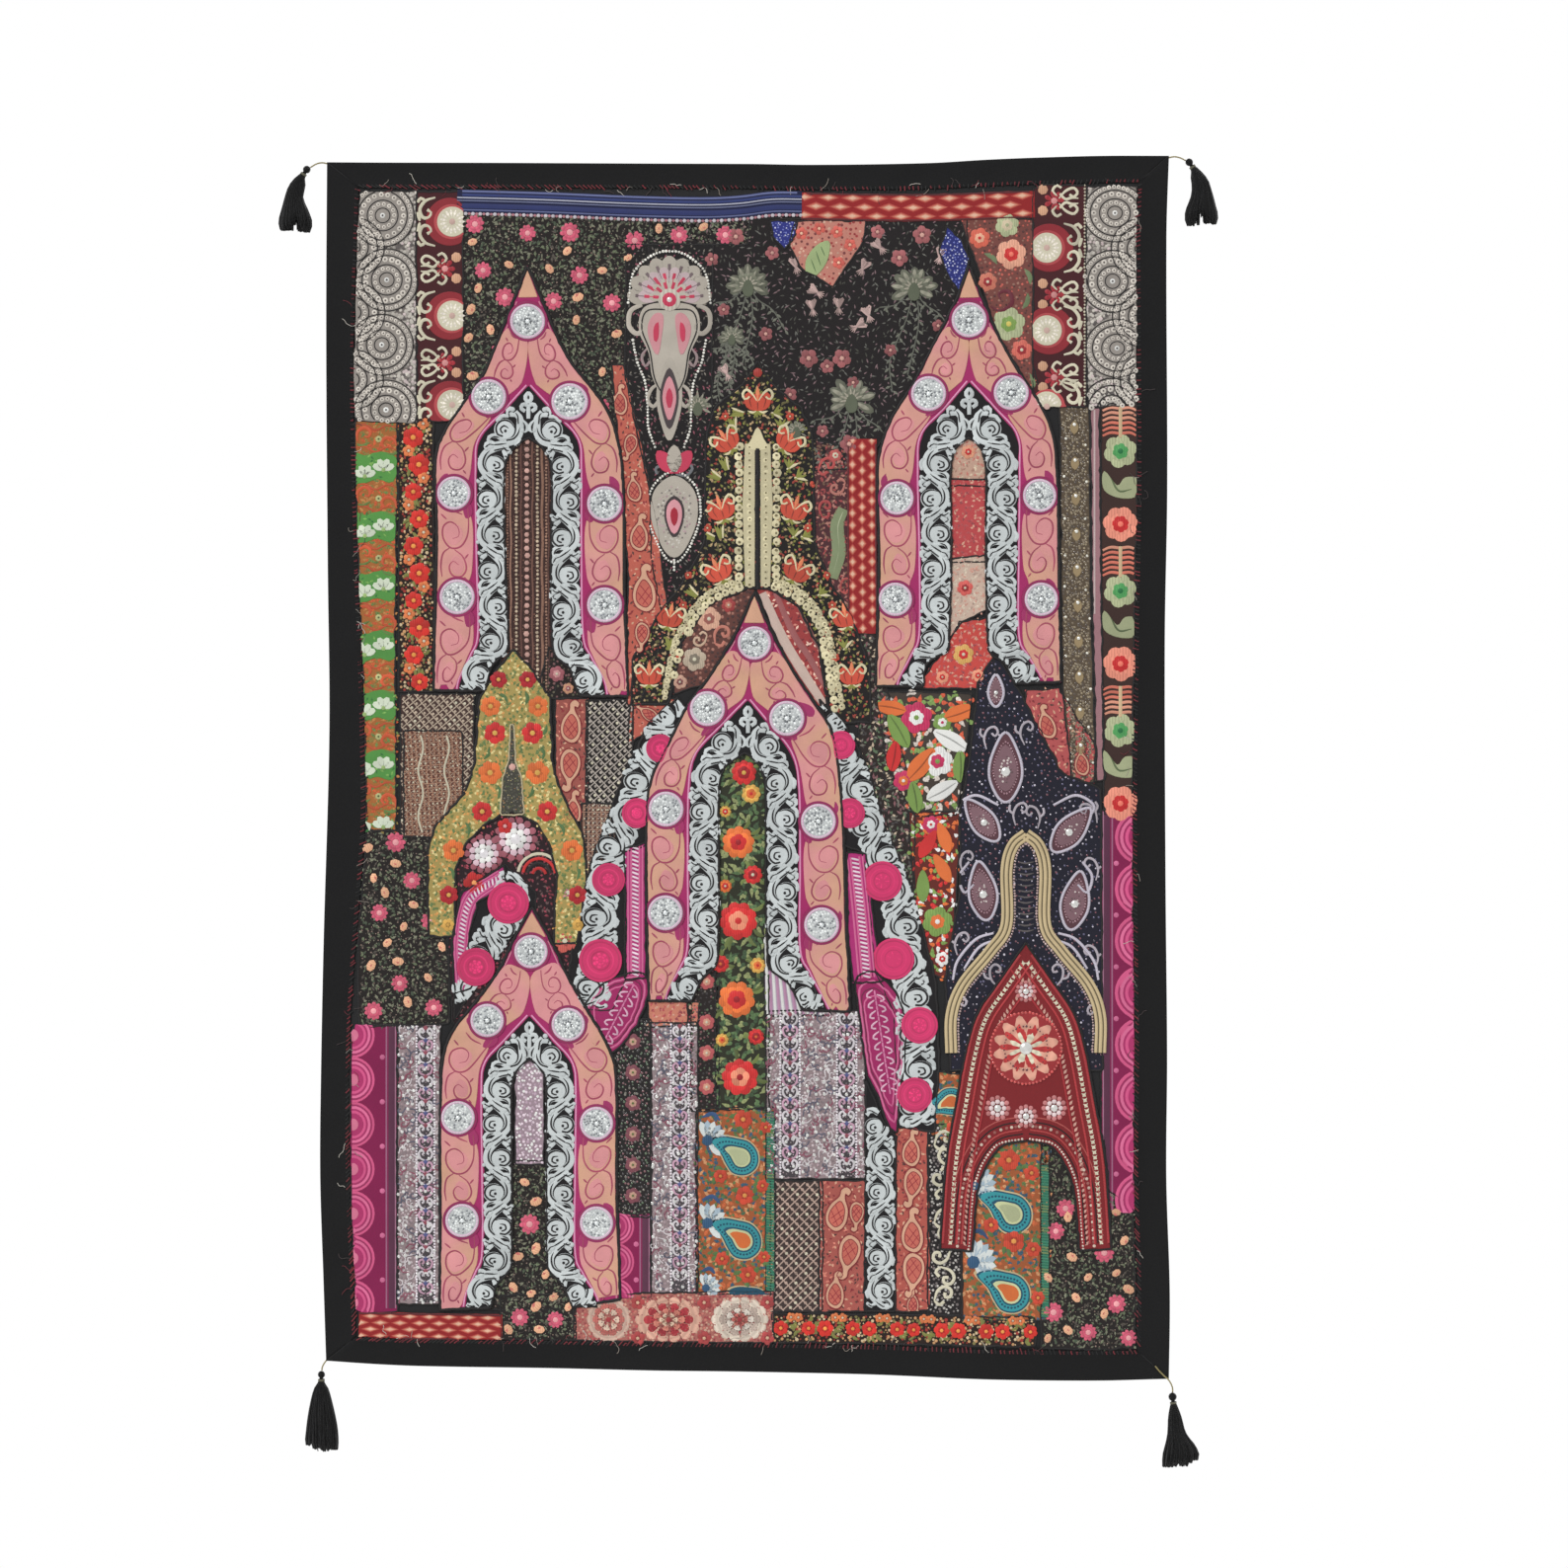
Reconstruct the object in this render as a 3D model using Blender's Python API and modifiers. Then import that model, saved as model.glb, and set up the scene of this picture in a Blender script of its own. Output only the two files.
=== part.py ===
"""An embroidered patchwork wall hanging with a black cotton border and a tassel at each corner.

The cloth hangs from its top edge. X runs to the right, Z runs up and the worked face looks
towards -Y. The origin is the middle of the top edge. Tables are in millimetres.
"""

import math

import bmesh
import bpy
from mathutils import Vector

MM = 0.001
NAME = "embroidered_wall_hanging"

# Rough size of the cloth and width of its border, which the tables below vary, in millimetres.
WIDTH = 1040
HEIGHT = 1490
BORDER_WIDTH = 35

# Thickness of the cloth, and the space left between neighbouring pieces.
FIELD_THICKNESS = 3.0 * MM
BORDER_THICKNESS = 2.0 * MM
GAP = 0.3 * MM

# The cloth's outer edges: place along the edge, then where the edge lies there.
TOP_EDGE = [(-520, 2), (-290, 1), (0, 0), (76, -1), (223, 1), (296, 5), (369, 8), (442, 10), (520, 10)]
BOTTOM_EDGE = [(-520, -1478), (-400, -1485), (-120, -1490), (0, -1492), (150, -1496), (300, -1501),
               (440, -1503), (520, -1501)]
LEFT_EDGE = [(-1501, -520), (-1380, -524), (-1250, -528), (-1120, -527), (-960, -524), (-700, -517),
             (-500, -519), (-230, -521), (10, -520)]
RIGHT_EDGE = [(-1501, 520), (-1390, 521), (-1250, 517), (-1100, 518), (-880, 516), (-590, 515),
              (-400, 518), (-90, 517), (10, 520)]

# Width of the border along each edge: place along the edge, then the width there.
TOP_WIDTH = [(-520, 31), (0, 30), (300, 32), (520, 33)]
BOTTOM_WIDTH = [(-520, 31), (-300, 33), (0, 34), (300, 36), (520, 36)]
LEFT_WIDTH = [(-1501, 38), (-1250, 36), (-1060, 35), (-820, 46), (-700, 42), (-290, 33), (10, 40)]
RIGHT_WIDTH = [(-1501, 40), (-1250, 39), (-800, 39), (-590, 36), (10, 36)]

# Soft upright folds: centre at the top edge, shift of the centre by the bottom edge, half width,
# and how far the cloth stands back from the plane at the top and at the bottom.
UPRIGHT_FOLDS = [
    (-455, -25, 62, 1.0, -6.0),
    (-300, 35, 90, -1.5, 6.5),
    (-90, -30, 80, 1.0, -5.0),
    (120, 25, 95, 2.0, 6.0),
    (310, -10, 78, -1.5, -6.5),
    (470, 15, 58, 1.0, 6.0),
]
# How late the folds change from their top depth to their bottom depth.
FOLD_GROWTH = 1.4
# Soft sags across the cloth: centre x, centre z, half width, half height, and the depth there.
SAGS = [
    (-330, -120, 210, 70, -2.5),
    (180, -210, 240, 90, 2.5),
    (-120, -760, 260, 120, -3.0),
    (330, -980, 180, 110, 3.0),
    (-480, -1180, 90, 160, -4.0),
    (500, -1440, 110, 90, -5.0),
]

# Grid cells over the patchwork, along X and along Z, and across a border strip.
CELLS_X = 22
CELLS_Z = 32
CELLS_BORDER = 2

# The tassels' cord, neck wrap and skirt.
CORD_DIAMETER = 2.2 * MM
CORD_STEP = 5.0 * MM
CORD_CLEARANCE = 0.5 * MM
WRAP_RING = 4.0 * MM
WRAP_THREAD = 0.9 * MM
NECK_RADIUS = WRAP_RING - WRAP_THREAD - GAP
# Places down a tassel's axis, from the top of its neck: the wrap, and where the shoulder swells.
WRAP_DROP = 2.0 * MM
SHOULDER_START = 3.4 * MM
SHOULDER_END = 5.0 * MM
SHOULDER_RADIUS = 4.7 * MM
SKIRT_DEPTH_SHARE = 0.62
SKIRT_SIDES = 16

# Each tassel: the side of the cloth that its cord is sewn to (1 back, -1 front), the cord's route
# as (x, z) with the part sewn to the corner first, the head's centre and radius, the height of the
# notch in the skirt's end, and the skirt as (x, z, half width) down its middle.
TASSELS = {
    "top_left": {
        "sewn_side": 1,
        "sewn": [(-503, -9), (-511, -5)],
        "free": [(-519, 0), (-526, 1.5), (-533, 0)],
        "head": (-545, -7),
        "head_radius": 4.9,
        "notch": 14,
        "skirt": [(-554, -20, 8.8), (-558, -30, 11.2), (-561, -42, 11.8), (-560, -56, 16.5),
                  (-559, -73, 21.0), (-559, -85, 17.0)],
    },
    "top_right": {
        "sewn_side": 1,
        "sewn": [(503, -1), (511, 3)],
        "free": [(519, 7.5), (527, 9), (534, 7.5)],
        "head": (545, 2),
        "head_radius": 4.9,
        "notch": 15,
        "skirt": [(554, -11, 8.2), (558, -20, 11.3), (560, -29, 11.9), (561, -42, 14.6),
                  (560, -54, 18.4), (560, -66, 21.0), (560, -77, 17.0)],
    },
    "bottom_left": {
        "sewn_side": 1,
        "sewn": [(-507, -1462), (-513, -1469)],
        "free": [(-519, -1476), (-523, -1481), (-525.5, -1486)],
        "head": (-526.5, -1495),
        "head_radius": 4.6,
        "notch": 3,
        "skirt": [(-526.7, -1512, 9.5), (-526.2, -1536, 15.6), (-525.2, -1560, 19.5),
                  (-525.0, -1579, 20.6), (-523.0, -1591, 18.0)],
    },
    "bottom_right": {
        "sewn_side": -1,
        "sewn": [(503, -1485), (508, -1491), (514, -1497)],
        "free": [(519.5, -1502), (523, -1508), (524.5, -1513)],
        "head": (524.6, -1523),
        "head_radius": 5.3,
        "notch": 3,
        "skirt": [(527.5, -1549, 8.9), (529.5, -1568, 11.5), (533.0, -1580, 17.0),
                  (534.5, -1595, 22.0), (531.0, -1610, 19.0)],
    },
}


def read_table(table, at):
    """The value of a two-column table at a place, on a smooth curve through its rows."""
    if at <= table[0][0]:
        return table[0][1]
    if at >= table[-1][0]:
        return table[-1][1]
    i = next(k for k in range(len(table) - 1) if at <= table[k + 1][0])

    def slope(k):
        low, high = table[max(k - 1, 0)], table[min(k + 1, len(table) - 1)]
        return (high[1] - low[1]) / (high[0] - low[0])

    start, end = table[i], table[i + 1]
    span = end[0] - start[0]
    t = (at - start[0]) / span
    return (
        (2 * t**3 - 3 * t**2 + 1) * start[1]
        + (t**3 - 2 * t**2 + t) * span * slope(i)
        + (3 * t**2 - 2 * t**3) * end[1]
        + (t**3 - t**2) * span * slope(i + 1)
    )


def stand_back(x, z):
    """How far the hanging cloth stands behind the plane of its folds, in millimetres."""
    down = min(max(-z / HEIGHT, 0), 1.1)
    depth = 0.0
    for centre, shift, half, at_top, at_bottom in UPRIGHT_FOLDS:
        from_middle = (x - centre - shift * down) / half
        depth += (at_top + (at_bottom - at_top) * down**FOLD_GROWTH) * math.exp(-from_middle**2)
    for centre_x, centre_z, half_x, half_z, most in SAGS:
        away = ((x - centre_x) / half_x) ** 2 + ((z - centre_z) / half_z) ** 2
        depth += most * math.exp(-away)
    return depth


MIDDLE_DEPTH = stand_back(0, 0)


def on_cloth(x, z, out=0.0):
    """The point of the cloth's middle surface at x, z in millimetres, or out metres behind it."""
    return Vector((x * MM, (stand_back(x, z) - MIDDLE_DEPTH) * MM + out, z * MM))


def edge_point(side, share, inner):
    """A point of the cloth's outer edge, or of the seam inside it, at a share of its length."""
    inset = 1 if inner else 0
    top_left = corner(-1, 1, inset)
    top_right = corner(1, 1, inset)
    bottom_left = corner(-1, -1, inset)
    bottom_right = corner(1, -1, inset)
    if side in ("top", "bottom"):
        start, end = (top_left, top_right) if side == "top" else (bottom_left, bottom_right)
        x = start[0] + (end[0] - start[0]) * share
        return (x, top_line(x, inset) if side == "top" else bottom_line(x, inset))
    start, end = (top_left, bottom_left) if side == "left" else (top_right, bottom_right)
    z = start[1] + (end[1] - start[1]) * share
    return (left_line(z, inset) if side == "left" else right_line(z, inset), z)


def top_line(x, inset):
    return read_table(TOP_EDGE, x) - inset * read_table(TOP_WIDTH, x)


def bottom_line(x, inset):
    return read_table(BOTTOM_EDGE, x) + inset * read_table(BOTTOM_WIDTH, x)


def left_line(z, inset):
    return read_table(LEFT_EDGE, z) + inset * read_table(LEFT_WIDTH, z)


def right_line(z, inset):
    return read_table(RIGHT_EDGE, z) - inset * read_table(RIGHT_WIDTH, z)


def corner(side_x, side_z, inset):
    """Where two edges, or two seams, meet."""
    x, z = side_x * WIDTH / 2, 0 if side_z > 0 else -HEIGHT
    for _ in range(4):
        z = top_line(x, inset) if side_z > 0 else bottom_line(x, inset)
        x = left_line(z, inset) if side_x < 0 else right_line(z, inset)
    return (x, z)


def make_material(name, colour, roughness):
    material = bpy.data.materials.new(name)
    material.use_nodes = True
    shader = material.node_tree.nodes["Principled BSDF"]
    shader.inputs["Base Color"].default_value = (*colour, 1)
    shader.inputs["Roughness"].default_value = roughness
    shader.inputs["Metallic"].default_value = 0.0
    return material


def add_object(name, data, material):
    data.materials.append(material)
    made = bpy.data.objects.new(name, data)
    parts.objects.link(made)
    return made


def add_sheet(name, cells_across, cells_down, place, thickness, material):
    """A thin cloth sheet: a flat grid laid on the folds by place(across, down), then thickened."""
    shape = bmesh.new()
    bmesh.ops.create_grid(shape, x_segments=cells_across, y_segments=cells_down, size=0.5)
    for vert in shape.verts:
        vert.co = place(vert.co.x + 0.5, 0.5 - vert.co.y)
    bmesh.ops.recalc_face_normals(shape, faces=shape.faces)
    mesh = bpy.data.meshes.new(name)
    shape.to_mesh(mesh)
    shape.free()
    mesh.shade_smooth()
    made = add_object(name, mesh, material)
    solid = made.modifiers.new("thickness", "SOLIDIFY")
    solid.thickness = thickness
    solid.offset = 0
    return made


def place_in_field(across, down):
    """A share of the way across and down the patchwork, kept half a gap inside the seams."""
    top = edge_point("top", across, True)
    bottom = edge_point("bottom", across, True)
    left = edge_point("left", down, True)
    right = edge_point("right", down, True)
    top_left, top_right = corner(-1, 1, 1), corner(1, 1, 1)
    bottom_left, bottom_right = corner(-1, -1, 1), corner(1, -1, 1)
    place = []
    for k in (0, 1):
        between_edges = top[k] * (1 - down) + bottom[k] * down + left[k] * (1 - across) + right[k] * across
        from_corners = (
            top_left[k] * (1 - across) * (1 - down)
            + top_right[k] * across * (1 - down)
            + bottom_left[k] * (1 - across) * down
            + bottom_right[k] * across * down
        )
        place.append(between_edges - from_corners)
    half_gap = GAP / MM / 2
    x = place[0] + half_gap * (1 - 2 * across)
    z = place[1] - half_gap * (1 - 2 * down)
    return on_cloth(x, z)


def place_in_border(side):
    """The placing function of one mitred border strip."""

    def place(along, across):
        trim = GAP / MM / (WIDTH if side in ("top", "bottom") else HEIGHT)
        share = trim + (1 - 2 * trim) * along
        outer = edge_point(side, share, False)
        inner = edge_point(side, share, True)
        inward = 1 - GAP / MM / 2 / BORDER_WIDTH
        x = outer[0] + (inner[0] - outer[0]) * across * inward
        z = outer[1] + (inner[1] - outer[1]) * across * inward
        return on_cloth(x, z)

    return place


def smooth_route(points, step):
    """Points a step apart on a smooth curve through the given points."""
    ends = [points[0] * 2 - points[1], *points, points[-1] * 2 - points[-2]]
    fine = []
    for k in range(1, len(ends) - 2):
        before, start, end, after = ends[k - 1 : k + 3]
        for i in range(20):
            t = i / 20
            fine.append(
                0.5
                * (
                    2 * start
                    + (end - before) * t
                    + (2 * before - 5 * start + 4 * end - after) * t**2
                    + (3 * start - before - 3 * end + after) * t**3
                )
            )
    fine.append(points[-1])
    lengths = [0.0]
    for a, b in zip(fine, fine[1:]):
        lengths.append(lengths[-1] + (b - a).length)
    count = max(round(lengths[-1] / step), 2)
    route = []
    for i in range(count + 1):
        target = lengths[-1] * i / count
        k = next((n for n in range(1, len(fine)) if lengths[n] >= target - 1e-9), len(fine) - 1)
        t = (target - lengths[k - 1]) / (lengths[k] - lengths[k - 1])
        route.append(fine[k - 1].lerp(fine[k], t))
    return route


def add_cord(name, points, material):
    """A round cord as a bevelled curve with closed ends."""
    curve = bpy.data.curves.new(name, "CURVE")
    curve.dimensions = "3D"
    curve.bevel_depth = CORD_DIAMETER / 2
    curve.bevel_resolution = 2
    curve.use_fill_caps = True
    route = smooth_route(points, CORD_STEP)
    spline = curve.splines.new("POLY")
    spline.points.add(len(route) - 1)
    for point, place in zip(spline.points, route):
        point.co = (*place, 1)
    return add_object(name, curve, material)


def add_head(name, centre, radius, material):
    """The knotted head: a ball of wound yarn."""
    shape = bmesh.new()
    bmesh.ops.create_uvsphere(shape, u_segments=16, v_segments=10, radius=radius)
    mesh = bpy.data.meshes.new(name)
    shape.to_mesh(mesh)
    shape.free()
    mesh.shade_smooth()
    made = add_object(name, mesh, material)
    made.location = centre
    return made


def add_wrap(name, centre, axis, material):
    """The thread wound round the neck: a ring turned about the tassel's axis."""
    sides = 8
    shape = bmesh.new()
    profile = []
    for i in range(sides):
        turn = -math.tau * i / sides
        place = (WRAP_RING + WRAP_THREAD * math.cos(turn), 0, WRAP_THREAD * math.sin(turn))
        profile.append(shape.verts.new(place))
    for i in range(sides):
        shape.edges.new((profile[i], profile[(i + 1) % sides]))
    mesh = bpy.data.meshes.new(name)
    shape.to_mesh(mesh)
    shape.free()
    made = add_object(name, mesh, material)
    made.location = centre
    made.rotation_mode = "QUATERNION"
    made.rotation_quaternion = Vector((0, 0, -1)).rotation_difference(axis)
    screw = made.modifiers.new("turned", "SCREW")
    screw.steps = 20
    screw.render_steps = 20
    screw.use_merge_vertices = True
    screw.merge_threshold = 0.00001
    return made


def add_skirt(name, neck, axis, rows, notch, plane_y, material):
    """The hanging strands as one lofted body, from the neck to the notched end."""
    across_neck = axis.cross(Vector((0, 1, 0))).normalized()
    sections = [
        (neck, across_neck, NECK_RADIUS, NECK_RADIUS),
        (neck + axis * SHOULDER_START, across_neck, NECK_RADIUS, NECK_RADIUS),
        (neck + axis * SHOULDER_END, across_neck, SHOULDER_RADIUS, SHOULDER_RADIUS),
    ]
    for x, z, half in rows:
        width = half * MM
        centre = Vector((x * MM, plane_y, z * MM))
        sections.append((centre, Vector((1, 0, 0)), width, width * SKIRT_DEPTH_SHARE))
    shape = bmesh.new()
    rings = []
    for index, (centre, across, half_width, half_depth) in enumerate(sections):
        last = index == len(sections) - 1
        ring = []
        for i in range(SKIRT_SIDES):
            turn = math.tau * i / SKIRT_SIDES
            place = centre + across * half_width * math.cos(turn)
            place += Vector((0, half_depth * math.sin(turn), 0))
            if last:
                place.z += notch * MM * (1 - abs(math.cos(turn))) ** 1.5
            ring.append(shape.verts.new(place))
        rings.append(ring)
    for upper, lower in zip(rings, rings[1:]):
        for i in range(SKIRT_SIDES):
            j = (i + 1) % SKIRT_SIDES
            shape.faces.new((upper[i], upper[j], lower[j], lower[i]))
    shape.faces.new(reversed(rings[0]))
    end_centre = shape.verts.new(sections[-1][0] + Vector((0, 0, notch * MM)))
    for i in range(SKIRT_SIDES):
        shape.faces.new((rings[-1][i], rings[-1][(i + 1) % SKIRT_SIDES], end_centre))
    bmesh.ops.recalc_face_normals(shape, faces=shape.faces)
    mesh = bpy.data.meshes.new(name)
    shape.to_mesh(mesh)
    shape.free()
    mesh.shade_smooth()
    return add_object(name, mesh, material)


def add_tassel(corner_name, facts):
    """A tassel: the cord sewn to the cloth's corner, the head, the neck wrap and the skirt."""
    clear = BORDER_THICKNESS / 2 + CORD_CLEARANCE + CORD_DIAMETER / 2
    sewn = [on_cloth(x, z, facts["sewn_side"] * clear) for x, z in facts["sewn"]]
    plane_y = on_cloth(*facts["free"][0]).y
    head_centre = Vector((facts["head"][0] * MM, plane_y, facts["head"][1] * MM))
    radius = facts["head_radius"] * MM
    free = []
    for index, (x, z) in enumerate(facts["free"]):
        settle = 1 - index / len(facts["free"])
        free.append(Vector((x * MM, plane_y + facts["sewn_side"] * clear * settle, z * MM)))
    arrive = (head_centre - free[-1]).normalized()
    cord_end = head_centre - arrive * (radius + GAP)
    add_cord(f"tassel_cord_{corner_name}", [*sewn, *free, cord_end], cord_finish)
    add_head(f"tassel_head_{corner_name}", head_centre, radius, yarn_finish)
    first = facts["skirt"][0]
    axis = (Vector((first[0] * MM, plane_y, first[1] * MM)) - head_centre).normalized()
    neck = head_centre + axis * (radius + GAP)
    add_wrap(f"tassel_wrap_{corner_name}", neck + axis * WRAP_DROP, axis, wrap_finish)
    add_skirt(f"tassel_skirt_{corner_name}", neck, axis, facts["skirt"], facts["notch"], plane_y, yarn_finish)


for old in list(bpy.data.objects):
    bpy.data.objects.remove(old, do_unlink=True)

parts = bpy.data.collections.new(NAME)
bpy.context.scene.collection.children.link(parts)

patchwork_finish = make_material("patchwork_cloth", (0.33, 0.16, 0.19), 0.85)
border_finish = make_material("black_cotton", (0.012, 0.012, 0.012), 0.9)
cord_finish = make_material("olive_cord", (0.28, 0.25, 0.13), 0.6)
yarn_finish = make_material("black_yarn", (0.008, 0.008, 0.008), 0.75)
wrap_finish = make_material("grey_thread", (0.12, 0.115, 0.10), 0.6)

add_sheet("patchwork_field", CELLS_X, CELLS_Z, place_in_field, FIELD_THICKNESS, patchwork_finish)
for side_name in ("top", "bottom", "left", "right"):
    cells = CELLS_X if side_name in ("top", "bottom") else CELLS_Z
    add_sheet(f"border_{side_name}", cells, CELLS_BORDER, place_in_border(side_name), BORDER_THICKNESS,
              border_finish)
for corner_place, tassel_facts in TASSELS.items():
    add_tassel(corner_place, tassel_facts)
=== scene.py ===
"""The looks of an embroidered patchwork wall hanging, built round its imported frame.

Flat work is laid out in millimetres on the uncut cloth: x to the right, z up from the top edge,
then a height in front of the cloth's middle. hang() puts it on the hanging folds, in metres.
"""

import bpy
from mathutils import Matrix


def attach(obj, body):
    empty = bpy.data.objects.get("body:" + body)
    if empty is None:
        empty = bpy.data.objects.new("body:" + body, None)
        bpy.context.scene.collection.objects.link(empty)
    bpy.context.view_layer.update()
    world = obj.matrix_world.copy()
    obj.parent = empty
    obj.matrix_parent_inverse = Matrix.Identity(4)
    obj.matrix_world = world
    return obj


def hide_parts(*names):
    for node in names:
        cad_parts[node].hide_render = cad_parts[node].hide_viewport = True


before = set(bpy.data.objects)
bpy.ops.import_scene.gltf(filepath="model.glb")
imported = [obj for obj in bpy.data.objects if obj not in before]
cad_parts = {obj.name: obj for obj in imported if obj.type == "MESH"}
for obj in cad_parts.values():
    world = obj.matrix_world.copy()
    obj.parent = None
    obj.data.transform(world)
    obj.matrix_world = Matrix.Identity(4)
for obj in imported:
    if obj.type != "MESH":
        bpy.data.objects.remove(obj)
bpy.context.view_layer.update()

import math

import bpy
import numpy as np
from mathutils import Vector
from mathutils.geometry import delaunay_2d_cdt

# ------------------------------
# The room: a long lens square on to the cloth, a pale floor under it and soft studio light.
# ------------------------------
MM = 0.001
VIEW_WIDTH = 1.937
CAMERA_DISTANCE = 6.5
CAMERA_X = 0.0445
CAMERA_Z = -0.766
SENSOR = 36.0

camera = bpy.data.objects.new("camera", bpy.data.cameras.new("camera"))
camera.data.sensor_width = SENSOR
camera.data.lens = SENSOR * CAMERA_DISTANCE / VIEW_WIDTH
camera.location = (CAMERA_X, -CAMERA_DISTANCE, CAMERA_Z)
camera.rotation_euler = (math.radians(90), 0, 0)
bpy.context.scene.collection.objects.link(camera)
bpy.context.scene.camera = camera
bpy.context.scene.view_settings.view_transform = "Standard"

SKY_LIGHT = 0.74
world = bpy.data.worlds.new("studio")
bpy.context.scene.world = world
world.use_nodes = True
air = world.node_tree
air.nodes.clear()
seen = air.nodes.new("ShaderNodeBackground")
seen.inputs["Color"].default_value = (1, 1, 1, 1)
glow = air.nodes.new("ShaderNodeBackground")
glow.inputs["Color"].default_value = (1, 1, 1, 1)
glow.inputs["Strength"].default_value = SKY_LIGHT
which = air.nodes.new("ShaderNodeLightPath")
either = air.nodes.new("ShaderNodeMixShader")
sky = air.nodes.new("ShaderNodeOutputWorld")
air.links.new(which.outputs["Is Camera Ray"], either.inputs["Fac"])
air.links.new(glow.outputs["Background"], either.inputs[1])
air.links.new(seen.outputs["Background"], either.inputs[2])
air.links.new(either.outputs["Shader"], sky.inputs["Surface"])

# Each lamp: its name, where it shines from, its strength and how soft it is in degrees.
LAMPS = [
    ("key", (-1.5, -2.3, 2.0), 1.5, 14),
    ("back", (1.2, 2.4, 1.4), 1.2, 25),
]
for name, place, strength, softness in LAMPS:
    lamp = bpy.data.objects.new(name, bpy.data.lights.new(name, "SUN"))
    lamp.data.energy = strength
    lamp.data.angle = math.radians(softness)
    lamp.rotation_euler = Vector(place).to_track_quat("Z", "Y").to_euler()
    bpy.context.scene.collection.objects.link(lamp)

FLOOR_Z = -1.92
FLOOR_HALF = 1.1
floor_mesh = bpy.data.meshes.new("floor")
floor_mesh.from_pydata(
    [(-FLOOR_HALF, -FLOOR_HALF, FLOOR_Z), (FLOOR_HALF, -FLOOR_HALF, FLOOR_Z),
     (FLOOR_HALF, FLOOR_HALF, FLOOR_Z), (-FLOOR_HALF, FLOOR_HALF, FLOOR_Z)],
    [], [(0, 1, 2, 3)],
)
floor = bpy.data.objects.new("floor", floor_mesh)
bpy.context.scene.collection.objects.link(floor)
floor_finish = bpy.data.materials.new("pale_floor")
floor_finish.use_nodes = True
floor_paint = floor_finish.node_tree.nodes["Principled BSDF"]
floor_paint.inputs["Base Color"].default_value = (0.8, 0.8, 0.79, 1)
floor_paint.inputs["Roughness"].default_value = 0.8
floor_mesh.materials.append(floor_finish)

# ------------------------------
# Tassel cords: a short two-ply gold cord at each corner. One end is sewn to the cloth's corner,
# and the other goes into the tassel's head. They follow the cloth's own hanging folds.
# ------------------------------
CORD_DIAMETER = 2.2
CORD_CLEARANCE = 0.5
BORDER_HALF = 1.0
HEIGHT = 1490

# Soft upright folds: centre at the top, its shift by the bottom, half width, depth at top, bottom.
UPRIGHT_FOLDS = [
    (-455, -25, 62, 1.0, -6.0),
    (-300, 35, 90, -1.5, 6.5),
    (-90, -30, 80, 1.0, -5.0),
    (120, 25, 95, 2.0, 6.0),
    (310, -10, 78, -1.5, -6.5),
    (470, 15, 58, 1.0, 6.0),
]
# Soft sags across the cloth: centre x, centre z, half width, half height and depth.
SAGS = [
    (-330, -120, 210, 70, -2.5),
    (180, -210, 240, 90, 2.5),
    (-120, -760, 260, 120, -3.0),
    (330, -980, 180, 110, 3.0),
    (-480, -1180, 90, 160, -4.0),
    (500, -1440, 110, 90, -5.0),
]
FOLD_GROWTH = 1.4

# Each tassel: side of the cloth its cord is sewn to (1 back, -1 front), the cord's route in x, z
# sewn part first, the head's centre and radius, the notch in the skirt's end, and the skirt's
# middle line as x, z, half width.
TASSELS = {
    "top_left": (
        1, [(-503, -9), (-511, -5)], [(-519, 0), (-526, 1.5), (-533, 0)], (-545, -7), 4.9, 14,
        [(-554, -20, 8.8), (-558, -30, 11.2), (-561, -42, 11.8), (-560, -56, 16.5),
         (-559, -73, 21.0), (-559, -85, 17.0)],
    ),
    "top_right": (
        1, [(503, -1), (511, 3)], [(519, 7.5), (527, 9), (534, 7.5)], (545, 2), 4.9, 15,
        [(554, -11, 8.2), (558, -20, 11.3), (560, -29, 11.9), (561, -42, 14.6), (560, -54, 18.4),
         (560, -66, 21.0), (560, -77, 17.0)],
    ),
    "bottom_left": (
        1, [(-507, -1462), (-513, -1469)], [(-519, -1476), (-523, -1481), (-525.5, -1486)],
        (-526.5, -1495), 4.6, 3,
        [(-526.7, -1512, 9.5), (-526.2, -1536, 15.6), (-525.2, -1560, 19.5),
         (-525.0, -1579, 20.6), (-523.0, -1591, 18.0)],
    ),
    "bottom_right": (
        -1, [(503, -1485), (508, -1491), (514, -1497)], [(519.5, -1502), (523, -1508), (524.5, -1513)],
        (524.6, -1523), 5.3, 3,
        [(527.5, -1549, 8.9), (529.5, -1568, 11.5), (533.0, -1580, 17.0), (534.5, -1595, 22.0),
         (531.0, -1610, 19.0)],
    ),
}
chance = np.random.default_rng(41)


def stand_back(x, z):
    """How far the hanging cloth stands behind its plane, in millimetres."""
    down = np.clip(-z / HEIGHT, 0, 1.1)
    depth = np.zeros_like(x)
    for centre, shift, half, at_top, at_bottom in UPRIGHT_FOLDS:
        from_middle = (x - centre - shift * down) / half
        depth += (at_top + (at_bottom - at_top) * down**FOLD_GROWTH) * np.exp(-from_middle**2)
    for centre_x, centre_z, half_x, half_z, most in SAGS:
        depth += most * np.exp(-(((x - centre_x) / half_x) ** 2) - ((z - centre_z) / half_z) ** 2)
    return depth


MIDDLE_DEPTH = float(stand_back(np.zeros(1), np.zeros(1))[0])


def hang(flat):
    """Flat work (x, z, height) in millimetres to points on the hanging cloth, in metres."""
    x, z, height = np.asarray(flat, float).T
    return np.column_stack((x, stand_back(x, z) - MIDDLE_DEPTH - height, z)) * MM


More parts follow.
